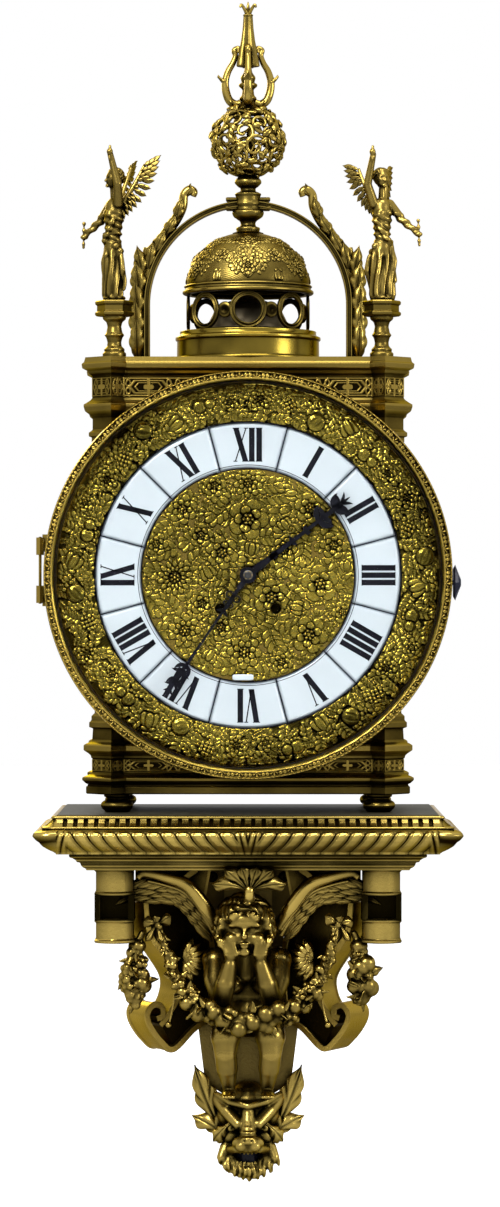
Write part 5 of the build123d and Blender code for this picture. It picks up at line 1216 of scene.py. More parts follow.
# %% Corner rolls
def run_profile(plan, rows):
    """An outline repeated at each height with its own outset: plan(outset) gives the outline."""
    sections = [np.column_stack([np.asarray(plan(outset), float), np.full(len(plan(outset)), height)])
        for height, outset in rows]
    count = len(sections[0])
    faces = [tuple(range(count - 1, -1, -1)), tuple(range((len(sections) - 1) * count,
        len(sections) * count))]
    return np.concatenate(sections), faces + grid_faces(len(sections), count, wrap_columns=True).tolist()


def block(x, y, half_x, half_y):
    """The plan of a block about a middle."""
    return lambda outset: [(x + across * (half_x + outset), y + depth * (half_y + outset)) for across,
        depth in ((1, 1), (-1, 1), (-1, -1), (1, -1))]


roll_parts = []
roll_x = 109.5
for side in (-1, 1):
    def roll_plan(outset, side=side):
        half = 16.5 + outset
        share = np.linspace(-1, 1, 25)
        front = np.column_stack([side * roll_x + share * half, -113.0 - outset - 9.0 * (1 - share ** 2)])
        return np.vstack([front, [(side * roll_x + half, -75.0), (side * roll_x - half, -75.0)]])

    band = [(0.0, -1.2), (0.8, -0.2), (2.2, -0.2), (2.9, -1.0), (3.6, -1.4)]
    for low, high in ((-48.8, -29.0), (-10.0, 12.6)):
        rows = [(low + rise, outset) for rise, outset in band] + [(high - rise, outset) for rise,
            outset in band[::-1]]
        roll_parts.append(run_profile(roll_plan, rows))
    for x, y, half_x, half_y in ((-13.8, -97, 2.3, 19), (13.8, -97, 2.3, 19), (0, -89, 12, 11)):
        roll_parts.append(run_profile(block(side * roll_x + x, y, half_x, half_y), [(-29.5, 0), (-9.5, 0)]))
points, faces = joined(roll_parts)
# painted highlight down each roll's middle, darker to its sides; painted shade on the blocks in the window
off_middle = np.clip(np.abs(np.abs(points[:, 0]) - roll_x) / 16, 0, 1)
make_piece("corner_roll_bands", points, faces, bracket_gilt, slot="dark_bronze", nodes=["corner_rolls"],
    smooth=False, hollow=0.12 + 0.55 * off_middle ** 2 + 0.5 * (np.abs(points[:, 2] + 19.5) < 10.4))
print("corner rolls done")

# %% [markdown]
# A leaf like a plume rises over the child's head and hides the joint under the shelf.

# %% Crest leaf
plume = [tube_points([(1, -139, 0), (1, -138, -6), (1, -136, -12)], [4.4, 4.0, 4.6], 14)]
for side in (-1, 1):
    for spread, length, width, curl in ((16, 24, 13, 60), (46, 27, 14, 40), (78, 30, 15, 30)):
        turn = side * radians(spread)
        plume.append(leaf_points((1 + side * spread * 0.04, -140 + spread * 0.03, -3),
            (sin(turn), -0.2, 0.25 + cos(turn)), (0.1 * sin(turn), -1, 0.05), length, width, curl=curl,
            side_bend=side * spread * 0.35, cup=0.6, lobes=3, depth=0.3, thickness=2.2, tip=1.8))
make_piece("crest_plume", *joined(plume), bracket_gilt, nodes=["crest_leaf"], depth_mm=0.9, steps=8)
print("crest done")

# %% [markdown]
# The shelf: a cove cut with flutes under the slab, and below it the broad rim of slanting lobes, called
# gadroons. Both run round a rectangle, so a point is described by its way along the edge, its height and
# its outset. The lobes slant away from a leaf in the middle of the front, and there is a leaf on each
# corner.

# %% Shelf
shelf_low, shelf_high = node_box("shelf_board")
rim_low, rim_high = node_box("gadrooned_rim")
half_width = shelf_high[0] - 2.5
front_y = shelf_low[1] + 2.5
back_y = -2.0
joint_z = rim_high[2] - 4.2
side_y = back_y + (front_y - back_y) * np.arange(480) / 480
front_x = np.linspace(-half_width, half_width, 1001)
left = np.column_stack([np.full(480, -half_width), side_y])
places = np.vstack([left, np.column_stack([front_x, np.full(1001, front_y)]), left[::-1] * [-1, 1]])
ways = np.array([(-1, 0)] * 480 + [(-1, -1)] + [(0, -1)] * 999 + [(1, -1)] + [(1, 0)] * 480)
along = np.concatenate([-half_width - side_y + front_y, front_x, (half_width + side_y
    - front_y)[::-1]])[None, :]
shelf_gilt = worn_and_shaded_metal("shelf_gilt", (0.36, 0.26, 0.062), (0.007, 0.004, 0.001), (0.18, 0.46), grain=500,
    mid_tone_at=0.46)


def shelf_moulding(name, outset, height, hollow, nodes=()):
    """A moulding round the shelf, with a back behind it and both ends shut, so that it is solid."""
    points = np.concatenate([places[None] + ways[None] * outset[..., None],
        (height + 0 * outset)[..., None]], -1)
    behind = points - 9.0 * np.column_stack([ways, 0 * ways[:, 0]])[None]
    points = np.concatenate([behind[:1], points, behind[-1:]])
    # the back of the moulding and its ends are painted darkest, as shade
    hollow = np.pad(hollow, ((1, 1), (0, 0)), constant_values=1)
    ends = [np.repeat(points[:, end].mean(0)[None, None], len(points), 0) for end in (0, -1)]
    points = np.concatenate([ends[0], points, ends[1]], 1)
    make_piece(name, points, grid_faces(*points.shape[:2], wrap_rows=True), shelf_gilt, nodes=nodes,
        hollow=np.pad(hollow, ((0, 0), (1, 1)), mode="edge"))


height = np.linspace(0, 1, 40)[:, None]
base = np.interp(height, [0, 0.10, 0.16, 0.34, 0.55, 0.74, 0.86, 0.93, 1.0],
    [0.5, 1.0, 3.0, 8.5, 13.4, 16.0, 15.4, 13.0, 10.5])
pitch = 11.8
slant = 12.5 * np.clip((0.93 - height) / 0.85, 0, 1) ** 1.6
across_lobe = 2 * (((np.abs(along) + slant) / pitch) % 1.0) - 1
lobe_head = np.clip((height - 0.74) / 0.2, 0, 1)
round_lobe = np.sqrt(np.clip(1 - across_lobe ** 2 - lobe_head ** 2, 0, 1))
gadroon = round_lobe ** 0.8 - 0.16 * np.exp(-((np.abs(across_lobe) - 0.62) / 0.1) ** 2) * (height < 0.8)
from_mark = np.minimum(np.abs(along), np.minimum(np.abs(np.abs(along) - half_width), 60))
leaf_zone = np.exp(-(from_mark / 8.5) ** 6)
leaf_form = np.abs(np.cos((from_mark + 5 * (1 - height)) * 0.62)) ** 0.7
relief = (1 - leaf_zone) * gadroon * 3.6 + leaf_zone * (1.2 + 2.4 * leaf_form)
relief *= np.sin(pi * np.clip((height - 0.05) / 0.92, 0, 1)) ** 0.5
# painted highlight on the gadroons' rounded lobes and the leaves' ridges, painted shade and patina between
# them
hollow = 0.85 - 0.8 * gadroon * (1 - leaf_zone) - leaf_zone * (0.1 + 0.6 * leaf_form)
shelf_moulding("gadroons", np.minimum(base + relief, 19.8), rim_low[2] + (joint_z - rim_low[2]) * height,
    hollow, nodes=["gadrooned_rim"])

height = np.linspace(0, 1, 16)[:, None]
cove = np.interp(height, [0, 0.10, 0.16, 0.4, 0.74, 0.80, 0.92, 1.0],
    [11.6, 11.6, 9.8, 6.6, 3.4, 4.2, 4.2, 3.0])
flute = np.clip((0.20 - np.abs((along / 8.4) % 1.0 - 0.5)) / 0.05, 0, 1) * (height > 0.16) * (height < 0.76)
# the flutes are painted dark with painted shade and patina, the ground between them light
shelf_moulding("fluted_cove", cove - 1.9 * flute, joint_z + (shelf_high[2] - 0.6 - joint_z) * height,
    0.25 + 0.75 * flute)
print("gadroons and flutes done")

# %% [markdown]
# Two matted plates with a smooth border close the space between the stem and the corner rolls. A fan of
# ribs, like half a shell, sits in the bend of each arm, with a bud on a stem below it.

# %% Shoulder plates, shell fans and buds
shoulder_parts = []
outline = np.array([(30, 13), (94, 13), (94, -18), (88, -30), (76, -36), (62, -34), (48, -28), (36, -20)])
middle = np.mean(outline, axis=0)
for side in (-1, 1):
    for inset, front, back in ((0.0, -56.0, -50.0), (3.0, -56.8, -52.0)):
        sheet = (outline + (middle - outline) * inset / [32, 20])[::side]
        shoulder_parts.append(plate(*[np.column_stack([side * sheet[:, 0], np.full(8, y), sheet[:, 1]])
            for y in (front, back)]))
make_piece("shoulder_plates", *joined(shoulder_parts), arm_bronze, slot="dark_bronze", smooth=False,
    hollow=np.tile(np.repeat([0.25, 0.6], 16), 2))
fan_parts = []
for side in (-1, 1):
    for k in range(7):
        swing = radians(-66 + 22 * k)
        fan_parts.append(leaf_points((side * 54, -72, -66), (-side * cos(swing), -0.25, sin(swing)),
            (0, -1, 0.1), 19, 9.5, curl=-40, cup=0.8, lobes=1, depth=0.02, thickness=2.2, rows=14,
            columns=9, tip=1.0))
    stem = smooth_path([(side * 60, -88, -92), (side * 62, -90, -104), (side * 65, -92, -117)], 16)
    fan_parts.append(tube_points(stem, np.linspace(1.2, 0.9, 16), 8))
    fan_parts.append((unit_ball * 2.6 + [side * 65.5, -92.5, -118], unit_ball_faces))
make_piece("shell_fans", *joined(fan_parts), bracket_gilt, slot="dark_bronze", depth_mm=0.8, steps=8)
print("shoulder plates and fans done")

# %% [markdown]
# The case's mouldings run round a rectangle with a diagonal pier at each corner. The CAD gives the
# bodies; here each run gets its fine fillets, hollows and rounds, from a profile of height and outset
# pairs that is rounded at every corner.

# %% Case mouldings
wall_x, wall_y = 117.0, 54.4
pier_x, pier_y, pier_reach = 111.0, 48.5, 15.5


def case_plan(outset):
    """The case's outline, seen from above, moved outwards."""
    x, y = wall_x + outset, wall_y + outset
    reach = pier_reach + outset * sqrt(2)
    quarter = [(x, pier_y - reach + x - pier_x), (pier_x + reach, pier_y), (pier_x, pier_y + reach),
        (pier_x - reach + y - pier_y, y)]
    half = quarter + [(-px, py) for px, py in quarter[::-1]]
    return [(px, py + case_y) for px, py in half + [(-px, -py) for px, py in half]]


base_rows = [(74.0, 3.2), (74.6, 4.0), (79.8, 4.0), (80.8, 3.0), (82.0, 3.0), (82.6, 4.2), (85.2, 6.2),
    (87.2, 6.2), (88.2, 5.0), (89.8, 2.2), (91.2, 0.8), (91.8, 0.4), (102.5, 0.2), (103.4, 1.0),
    (105.2, 1.2), (107.0, 2.6), (109.6, 5.4), (113.6, 5.4), (114.6, 4.4), (116.6, 1.6), (118.2, 0.4),
    (127.3, 0.0), (128.4, 2.2), (132.4, 2.2), (133.4, 1.2), (134.4, 1.0)]
head_rows = [(364.5, 0.6), (365.4, 2.4), (368.6, 2.4), (369.8, 1.0), (371.0, 0.2), (380.5, 0.2),
    (382.5, 1.4), (386.0, 4.6), (389.6, 5.4), (391.6, 5.4), (392.6, 4.0), (395.0, 1.4), (396.6, 0.4),
    (414.0, 0.2), (415.2, 0.8), (416.6, 2.2), (418.8, 3.2), (421.0, 6.2), (424.6, 6.6), (426.0, 5.2),
    (430.0, 4.4)]
for name, rows, nodes in (("base_moulding", base_rows, ["base_plinth"]),
        ("head_moulding", head_rows, ["entablature", "cornice"])):
    low, high = node_box(nodes[0])[0][2], node_box(nodes[-1])[1][2]
    scale = (high - low) / (rows[-1][0] - rows[0][0])
    fitted = [(low + (z - rows[0][0]) * scale, out) for z, out in rounded(rows, 3, 0.45)]
    points, faces = run_profile(case_plan, fitted)
    # projecting rows painted lighter and sunk rows darker, patina with painted highlight and shade; the base
    # band below 87 mm gets painted shade
    hollow = 0.62 - 0.09 * np.repeat([out for _, out in fitted], 16) + 0.4 * (points[:, 2] < 87)
    make_piece(name, points, faces, case_gilt, nodes=nodes, smooth=False, hollow=hollow)
    print(name, "from", round(low, 1), "to", round(high, 1))


# %% [markdown]
# The glazed door's ring has four parts from outside to inside: a twisted rope, a band of cast shells
# and scrolls, a smooth roll with a painted highlight, and a step down to the glass painted dark as shade.
# Every ring point is pushed forward by a formula of its radius and of its way round, as with the dial's
# relief.

# %% Door ring
door_front = bezel_low[1]
angle = turns(2600)[None, :]
radius = np.concatenate([[155.2, 155.2], np.linspace(155.6, 163.9, 34), [164.0, 164.0, 163.2]])[:, None]
turned_depth = np.interp(radius, [155.2, 156.0, 157.4, 158.2, 159.0, 161.2, 162.0, 163.0, 164.0],
    [6.0, 3.0, 0.7, 0.7, 1.9, 2.2, 1.6, 0.9, 4.4])
rope_turns, shell_count, shell_pitch = 300, 72, 14.2
rope_share = (radius - 163.2) / 0.8
rope = np.sqrt(np.clip(1 - rope_share ** 2, 0, 1)) * (0.65 + 0.35 * np.cos(rope_turns * angle + 2.6
    * rope_share))
shell_way = (shell_count * angle / (2 * pi)) % 1.0 - 0.5
band = np.clip(1 - ((radius - 160.2) / 2.3) ** 2, 0, 1)
fan_out = np.hypot(shell_way * shell_pitch, radius - 158.2)
fan_turn = np.arctan2(shell_way * shell_pitch, radius - 158.1)
fan = np.clip((4.2 - fan_out) / 0.6, 0, 1) * (0.55 + 0.45 * np.cos(7 * fan_turn))
curl_out = np.hypot((np.abs(shell_way) - 0.38) * shell_pitch, radius - 160.3)
eye = np.exp(-(curl_out / 0.6) ** 2) * band
roll = np.exp(-((radius - 157.4) / 0.75) ** 2)
cast = np.maximum(fan, np.clip(1 - (curl_out / 1.9) ** 2, 0, 1)) * (band > 0) * band ** 0.4
depth = door_front + np.maximum(0.02, turned_depth - 1.35 * rope - 1.5 * cast + 0.8 * eye)
depth[0], depth[-2], depth[-1] = -176.6, door_front + 6, -165.0
# painted highlight on the rope, the shells and the roll, painted shade in the scroll eyes and on the inner
# step
hollow = 0.62 - 0.7 * cast + 0.6 * eye - 0.75 * rope - 0.85 * roll
hollow[:3] = 1.0
points = np.stack([radius * np.sin(angle), depth, dial_z + radius * np.cos(angle)], -1)
make_piece("door_ring", points, grid_faces(*depth.shape, wrap_columns=True), bezel_gilt, body="bezel_door",
    nodes=["bezel_ring"], hollow=hollow)
# painted shade: a black fillet at the step down to the glass
spin_on_dial("door_step", [(155.3, -176.8), (155.0, -176.8), (155.0, -176.0), (156.5, -175.2)], fired_black_and_shade,
    body="bezel_door")
print("door ring has", depth.size, "points")

# %% [markdown]
# The hands are thin blued plates cut to a lacy outline. A hand's edge is a list of distances along it
# and half widths, with pairs of little leaves that branch off it. Each leaf is a flat blade of its own,
# laid on the shaft as the piercing saw would leave it.

# %% Hands
hand_steel = plain_black("hand_steel", (0.004, 0.004, 0.007), 0.3)
hour_angle, minute_angle = 52.5, 214.5


def blade(x, y, heading, length, width, curl):
    """A flat leaf in the dial's plane: two edges that meet at a point, bent along an arc."""
    left, right = [], []
    for step in range(13):
        share = step / 12
        half = width / 2 * sin(pi * (0.12 + 0.88 * share) ** 0.8) + 0.05
        left.append(away(x, y, heading + curl * share + 90, -half))
        right.append(away(x, y, heading + curl * share + 90, half))
        x, y = away(x, y, heading + curl * share, length / 12)
    return left, right


def shaft(edge):
    return [(-half, along) for along, half in edge], [(half, along) for along, half in edge]


def loop_of(x, y, outer, inner, steps=20):
    """A small ring, as two lists of points."""
    return [[away(x, y, 360 * step / steps, out) for step in range(steps + 1)] for out in (inner, outer)]


def hand_piece(name, bands, angle, front, body, node):
    """Bands of two edges become plates with a front, a back and sides, turned to the hand's angle."""
    points, faces = [], []
    for left, right in bands:
        start, count = len(points), len(left)
        for depth in (front, front + 0.9):
            for x, y in left + right:
                across, up = away(*away(0, 0, angle, y), angle + 90, x)
                points.append((across, depth, dial_z + up))
        for a in range(start, start + count - 1):
            b, c, d = a + count, a + 2 * count, a + 3 * count
            faces += [(a, a + 1, b + 1, b), (d, d + 1, c + 1, c), (a, c, c + 1, a + 1),
                (b, b + 1, d + 1, d)]
    make_piece(name, points, faces, hand_steel, body=body, slot="blued_steel", nodes=[node], smooth=False,
        hollow=np.zeros(len(points)))


hour_bands = [loop_of(0, 0, 6.6, 2.2), shaft([(6.0, 2.6), (12, 3.0), (22, 2.0), (34, 1.9), (44, 1.6),
    (52, 1.5)]), shaft([(22, 1.8), (26, 3.2), (30, 1.8)]), shaft([(52, 1.5), (70, 1.3), (84, 2.0),
    (94, 2.2), (103.5, 0.15)])]
minute_bands = [loop_of(0, 0, 6.6, 1.8), shaft([(6.0, 2.2), (11, 2.4), (16, 1.2), (30, 1.8), (36, 1.0),
    (60, 0.9), (84, 1.2), (96, 2.2), (108, 1.6), (118.6, 0.15)])]
hour_leaves = [(58, 60, 5, 2.6, -60), (72, 84, 13, 4.6, -70), (76, 50, 9, 4.0, 60), (88, 74, 13, 4.6, -75),
    (91, 40, 10, 4.0, 55), (95, 20, 9, 2.6, 40), (44, 48, 5, 2.4, 40)]
minute_leaves = [(88, 66, 10, 3.4, -60), (92, 40, 9, 3.0, 50), (101, 62, 9, 3.2, -55),
    (104, 34, 8, 2.8, 40), (111, 36, 5, 2.0, 20), (34, 40, 6, 2.4, 40)]
for side in (-1, 1):
    minute_bands += [loop_of(side * 3.4, 21, 3.2, 1.9, 16), loop_of(side * 2.4, 28, 2.2, 1.3, 16)]
    for bands, leaves, off in ((hour_bands, hour_leaves, 0.8), (minute_bands, minute_leaves, 0.7)):
        for along, heading, length, width, curl in leaves:
            bands.append(blade(side * off, along, side * heading, length, width, side * curl))
hour_front, minute_front = node_box("hour_hand")[0][1], node_box("minute_hand")[0][1]
hand_piece("hour_hand_plate", hour_bands, hour_angle, hour_front, "hour_hand_group", "hour_hand")
hand_piece("minute_hand_plate", minute_bands, minute_angle, minute_front, "minute_hand_group",
    "minute_hand")
spin_on_dial("hour_pipe", [(2.3, hour_front + 0.1), (3.4, hour_front + 0.1), (3.4, hour_front + 6.0)],
    hand_steel, spokes=32, body="hour_hand_group", slot="blued_steel")
spin_on_dial("hand_washer", [(1.9, minute_front - 0.05), (3.6, minute_front - 0.05),
    (3.9, minute_front + 0.4)], hand_steel, spokes=40, body="minute_hand_group", slot="blued_steel")
nut_steel = worn_and_shaded_metal("nut_steel", (0.30, 0.31, 0.32), (0.05, 0.05, 0.05), (0.2, 0.4))
spin_on_dial("hand_nut", rounded([(0.05, -171.9), (2.2, -171.9), (3.1, -171.6), (3.8, -171.2),
    (3.9, -170.4)], 3), nut_steel, spokes=40, body="minute_hand_group", slot="bright_steel")
print("hands cut from", len(hour_bands) + len(minute_bands), "plates")

# %% [markdown]
# A small white plaque hangs at the foot of the centre disc. It stays bare.

# %% Small plaque
plaque_points = []
for outset, depth in ((0.0, 0.0), (0.0, -0.7), (-0.5, -1.0)):
    for turn in turns(40):
        across, up = [abs(way) ** 0.35 * np.sign(way) for way in (cos(turn), sin(turn))]
        plaque_points.append((-4.0 + (8.4 + outset) * across, disc_front - 3.2 + depth,
            dial_z - 82.2 + (2.3 + outset) * up))
plaque_faces = grid_faces(3, 40, wrap_columns=True).tolist() + [list(range(80, 120))]
make_piece("bare_plaque", plaque_points, plaque_faces, white_enamel, slot="enamel", smooth=False,
    hollow=np.zeros(120))
print("plaque done")

# %% [markdown]
# The friezes are engraved and their ground is blackened: long hexagons, crossed straps and little
# scrolls stand in gilt lines. A frieze is a flat panel cut into a fine grid, and the pattern is a
# function of the way along it and up it. The same function serves the front, the sides and the piers.

# %% Engraved friezes
def strapwork(u, v, period):
    """1 on the gilt lines of the pattern, 0 on the ground. v runs from -1 to 1."""
    step = np.abs((u / period) % 1.0 - 0.5) * period
    half = period * 0.36
    far = period / 2 - step
    hexagon = np.maximum(np.abs(v) / 0.70, step / half + 0.30 * np.abs(v) / 0.7 - 0.12)
    petals = 2.9 + 1.3 * np.cos(4 * np.arctan2(v * 4.2, step))
    lines = [np.exp(-((hexagon - 0.93) / 0.085) ** 2), np.exp(-((hexagon - 0.62) / 0.05) ** 2) * 0.8,
        np.hypot(step, v * 4.2) < petals, np.exp(-((np.abs(v) - 0.22 * far) / 0.14) ** 2)
        * (step > half * 0.98), np.exp(-((np.hypot(far - 3.6, (np.abs(v) - 0.42) * 5) - 1.7) / 0.5) ** 2),
        np.exp(-((np.abs(v) - 0.90) / 0.07) ** 2)]
    return np.clip(np.maximum.reduce(lines), 0, 1)


def case_frieze(name, low, high, outset):
    """Panels between a low and a high level, engraved on the outer side of each face of the case."""
    outline = np.array(case_plan(outset))
    parts, marks = [], []
    for start, end in zip(outline, np.roll(outline, -1, 0)):
        length = dist(start, end)
        if length < 8:
            continue
        period = length / max(1, round(length / 44)) if length > 40 else length * 0.9
        way = (end - start) / length
        columns, rows = max(8, int(length / 0.42)), max(8, int((high - low) / 0.36))
        u, v = np.meshgrid(np.linspace(-length / 2, length / 2, columns), np.linspace(-1, 1, rows))
        border = np.clip((np.abs(u) - length / 2 + 1.2) / 0.4, 0, 1)
        line = np.maximum(strapwork(u + period / 2, v, period) * (1 - border), border)
        place = (start + end) / 2 + way * u[..., None] + np.array([way[1], -way[0]]) * (0.12 + 0.3
            * line)[..., None]
        height = (low + high) / 2 + v * (high - low) / 2
        parts.append((np.concatenate([place, height[..., None]], -1).reshape(-1, 3),
            grid_faces(rows, columns)))
        marks.append((1.0 - 0.95 * line).ravel())
    make_piece(name, *joined(parts), case_gilt, smooth=False, hollow=np.concatenate(marks))


case_frieze("base_frieze", 92.6, 102.2, 0.35)
case_frieze("head_frieze", 397.6, 413.2, 0.35)
print("friezes engraved")

# %% [markdown]
# The piers stand diagonally, so the front shows two faces of each. Their shafts have a raised border
# round a sunk field, and a small moulded base and cap. The case stands on four turned feet.

# %% Piers and feet
def raised(foot, rows):
    """Heights given above a foot."""
    return [(foot + height, out) for height, out in rows]


pier_low, pier_high = node_box("corner_piers")
shaft_rows = raised(pier_low[2], [(0, 1.2), (3.0, 1.2), (4.0, 0.2), (5.5, -1.4), (7.0, -1.4), (7.8, -2.4)])
shaft_rows += raised(pier_high[2], [(-8.4, -2.4), (-7.6, -1.2), (-6.0, -1.2), (-4.4, 0.4), (-3.4, 1.0),
    (0, 1.0)])
feet_low, feet_high = node_box("bun_feet")
foot_profile = [(0, 7.0), (0, 9.5), (1.4, 10.4), (3.2, 12.6), (5.8, 13.4), (8.2, 12.4), (9.8, 9.6),
    (11.0, 8.4), (12.0, 8.6), (12.6, 10.6), (14.4, 10.8), (feet_high[2] - feet_low[2], 10.0)]
foot_y = (feet_high[1] - feet_low[1]) / 2 - 12.4
pier_parts = []
for number, (x_side, y_side) in enumerate(((-1, -1), (1, -1), (-1, 1), (1, 1))):
    def pier_outline(outset, x=x_side * pier_x, y=case_y + y_side * pier_y):
        reach = pier_reach + outset
        return [(x + reach, y), (x, y + reach), (x - reach, y), (x, y - reach)]
    pier_parts.append(run_profile(pier_outline, rounded(shaft_rows, 3, 0.3)))
    spin_upright(f"foot_{number + 1}", foot_profile, case_gilt, x=x_side * (feet_high[0] - 13.0),
        y=case_y + y_side * foot_y, spokes=48, foot=feet_low[2], size=0.8,
        nodes=[] if number else ["bun_feet"], depth_mm=0.8, steps=8)
points, faces = joined(pier_parts)
make_piece("pier_shafts", points, faces, case_gilt, nodes=["corner_piers"], smooth=False,
    hollow=np.full(len(points), 0.42))
print("piers and feet done")

# %% [markdown]
# The dome is cast with the same flowers as the dial. The field of heights is laid over it like a round
# cloth: the cloth's centre sits on the crown, and the way out on the cloth is the way down the dome. The
# rim, the crown, the drum below and the bell inside are plain turnings.

# %% Dome, drum and bell
dome_rise, dome_reach, cloth_edge = 44.9, 51.5, 78.0
cloth = Relief(10.0, cloth_edge, 150, 860)
# an even middle value of painted shade and grime on the dome's bare ground
cloth.shade_and_grime[:] = 0.45
for k in range(6):
    bearing = 60 * k
    for side in (-1, 1):
        x, y, way = stalk(cloth, *away(0, 0, bearing, 74), bearing + 180 - side * 62, 36, side * 120, 1.6,
            1.5)
        x2, y2, way2 = stalk(cloth, x, y, way - side * 20, 30, side * 250, 1.4, 1.4)
        acanthus(cloth, x2, y2, way2, 12, 9, bend=side * 90, height=1.6, pairs=3)
        acanthus(cloth, x, y, way - side * 60, 20, 11, bend=-side * 80, height=1.6, pairs=4)
        for out, lean, length in ((70, 118, 22), (56, 75, 17), (44, 30, 18), (30, 60, 15)):
            acanthus(cloth, *away(0, 0, bearing + side * degrees(0.12), out), bearing + side * lean, length,
                9.5, bend=side * 80, height=1.5, pairs=4)
for k in range(6):
    between = 60 * k + degrees(0.52)
    flower(cloth, *away(0, 0, 60 * k, 64), 9.5, 7, 2.3, turn=45 * k)
    flower(cloth, *away(0, 0, between, 52), 8.0, 6, 2.1, turn=30 * k)
    flower(cloth, *away(0, 0, 60 * k, 32), 7.0, 6, 2.0, turn=45 * k)
    tulip(cloth, *away(0, 0, between, 72), 60 * k + 30, 11, 1.8)
slope = np.linspace(radians(80), 0, cloth.shape[0])[:, None]
skin = cloth.height * 2.3 / cloth.height.max() * np.clip((cloth_edge - cloth.radius) / 2, 0, 1)
out = (dome_reach - 0.6 + skin) * np.cos(slope)
up = dome_high[2] - dome_rise + (dome_rise - 1.0 + 0.9 * skin) * np.sin(slope)
points = np.stack([out * np.sin(cloth.angle), case_y - out * np.cos(cloth.angle), up], -1)
roof_gilt = worn_and_shaded_metal("roof_gilt", (0.27, 0.193, 0.042), (0.006, 0.004, 0.001), (0.18, 0.46), grain=500,
    mid_tone_at=0.42, reach=0.008, light_from_above=0.34)
drum_brass = worn_and_shaded_metal("drum_brass", (0.26, 0.185, 0.028), (0.012, 0.008, 0.002), (0.14, 0.3), mid_tone_at=0.6,
    reach=0.004)
bell_bronze = worn_and_shaded_metal("bell_bronze", (0.16, 0.13, 0.08), (0.02, 0.015, 0.01), (0.3, 0.5))
make_piece("dome_relief", points, grid_faces(*cloth.shape, wrap_columns=True), roof_gilt, nodes=["dome"],
    hollow=cloth.shade_and_grime)
spin_upright("dome_rim", [(0.2, 47.0), (0.2, 53.4), (1.2, 54.4), (3.0, 54.2), (4.0, 52.4), (5.4, 52.0),
    (6.6, 53.2), (7.6, 52.6), (8.2, 51.0)], roof_gilt, spokes=120, foot=dome_low[2], depth_mm=0.4, steps=6)
spin_upright("dome_crown", [(-1.6, 13.0), (-0.9, 11.0), (0, 9.4), (1.6, 9.8), (2.4, 8.0), (2.6, 5.0)],
    roof_gilt, spokes=60, foot=dome_high[2], size=0.6, depth_mm=0.4, steps=6)
drum_low, drum_high = node_box("dome_drum")
drum_tall = drum_high[2] - drum_low[2]
spin_upright("drum_wall", [(0, 58.0), (0, 60.3), (1.6, 60.3), (2.4, 59.0), (16.0, 58.8), (17.0, 60.2),
    (19.2, 60.2), (20.2, 57.0), (22.2, 56.4), (drum_tall, 56.6), (drum_tall, 47.0), (drum_tall - 2, 46.6)],
    drum_brass, spokes=120, foot=drum_low[2], size=0.6, nodes=["dome_drum"], steps=8)
bell_foot = node_box("bell")[0][2]
bell_rows = raised(bell_foot, [(0, 33.2), (0.2, 35.0), (3, 34.0)])
spin_upright("bell_shell", bell_rows + [(464.0, 31.6), (472.0, 27.6), (477.0, 22.0), (480.0, 14.0),
    (481.0, 5.0), (486.0, 4.0)], bell_bronze, spokes=90, size=1.2, slot="bell_metal", nodes=["bell"],
    depth_mm=0.6, steps=8)
print("dome, drum and bell done")


# %% [markdown]
# Eight rings on edge make the gallery round the bell, with a small disc between each two. Each ring has
# a rounded lip outside and inside. A ring is one profile spun about an axis that points out of the drum.

# %% Gallery
def spun_ring(centre, axis, profile, spokes=56):
    """Spin radius and depth pairs about any axis."""
    radius, depth = np.asarray(profile, float).T[:, :, None]
    angle = turns(spokes)
    local = np.stack([radius * np.cos(angle), radius * np.sin(angle), depth + 0 * angle], -1)
    return local.reshape(-1, 3) @ turn_to(axis).T + np.asarray(centre, float), grid_faces(len(profile),
        spokes, True, True)


gallery_low, gallery_high = node_box("gallery")
gallery_z = (gallery_low[2] + gallery_high[2]) / 2
ring_reach = (gallery_high[2] - gallery_low[2]) / 2
disc = rounded([(0.05, 1.5), (4.6, 1.2), (6.2, 0.7), (6.7, -0.2), (6.5, -1.6), (0.05, -1.6)], 3)
lip = rounded([(11.0, -1.4), (10.8, 0.4), (11.5, 1.4), (12.2, 1.1), (12.8, 0.4), (13.6, 0.4), (14.2, 1.1),
    (15.0, 1.0), (ring_reach, 0.0), (ring_reach, -1.4)], 3, 0.4)
gallery_parts = []
for k in range(16):
    turn = radians(22.5 * k - 90)
    axis = np.array([cos(turn), sin(turn), 0])
    gallery_parts.append(spun_ring(axis * 49.6 + [0, case_y, gallery_z], axis, disc if k % 2 else lip))
make_piece("gallery_rings", *joined(gallery_parts), roof_gilt, nodes=["gallery"], steps=5)
print("gallery rings:", len(gallery_parts))

# %% [markdown]
# The arch is a thin band with a sunk face. Outside each leg a long acanthus leaf climbs, and its upper
# end curls over like a crook. Leaf and crook are tapered tubes and lobed sheets side by side.

# %% Arch and its leaves
arch_low, arch_high = node_box("arch")
arch_reach = arch_high[0] - 2.5
arch_spring = arch_high[2] - arch_high[0]
sweep = np.linspace(0, pi, 61)
leg = np.linspace(arch_low[2], arch_spring, 9)[:8]
arch_path = np.array([(-arch_reach, z) for z in leg] + [(-arch_reach * cos(a),
    arch_spring + arch_reach * sin(a)) for a in sweep] + [(arch_reach, z) for z in leg[::-1]])
arch_heading = np.gradient(arch_path, axis=0)
arch_heading /= np.linalg.norm(arch_heading, axis=1)[:, None]
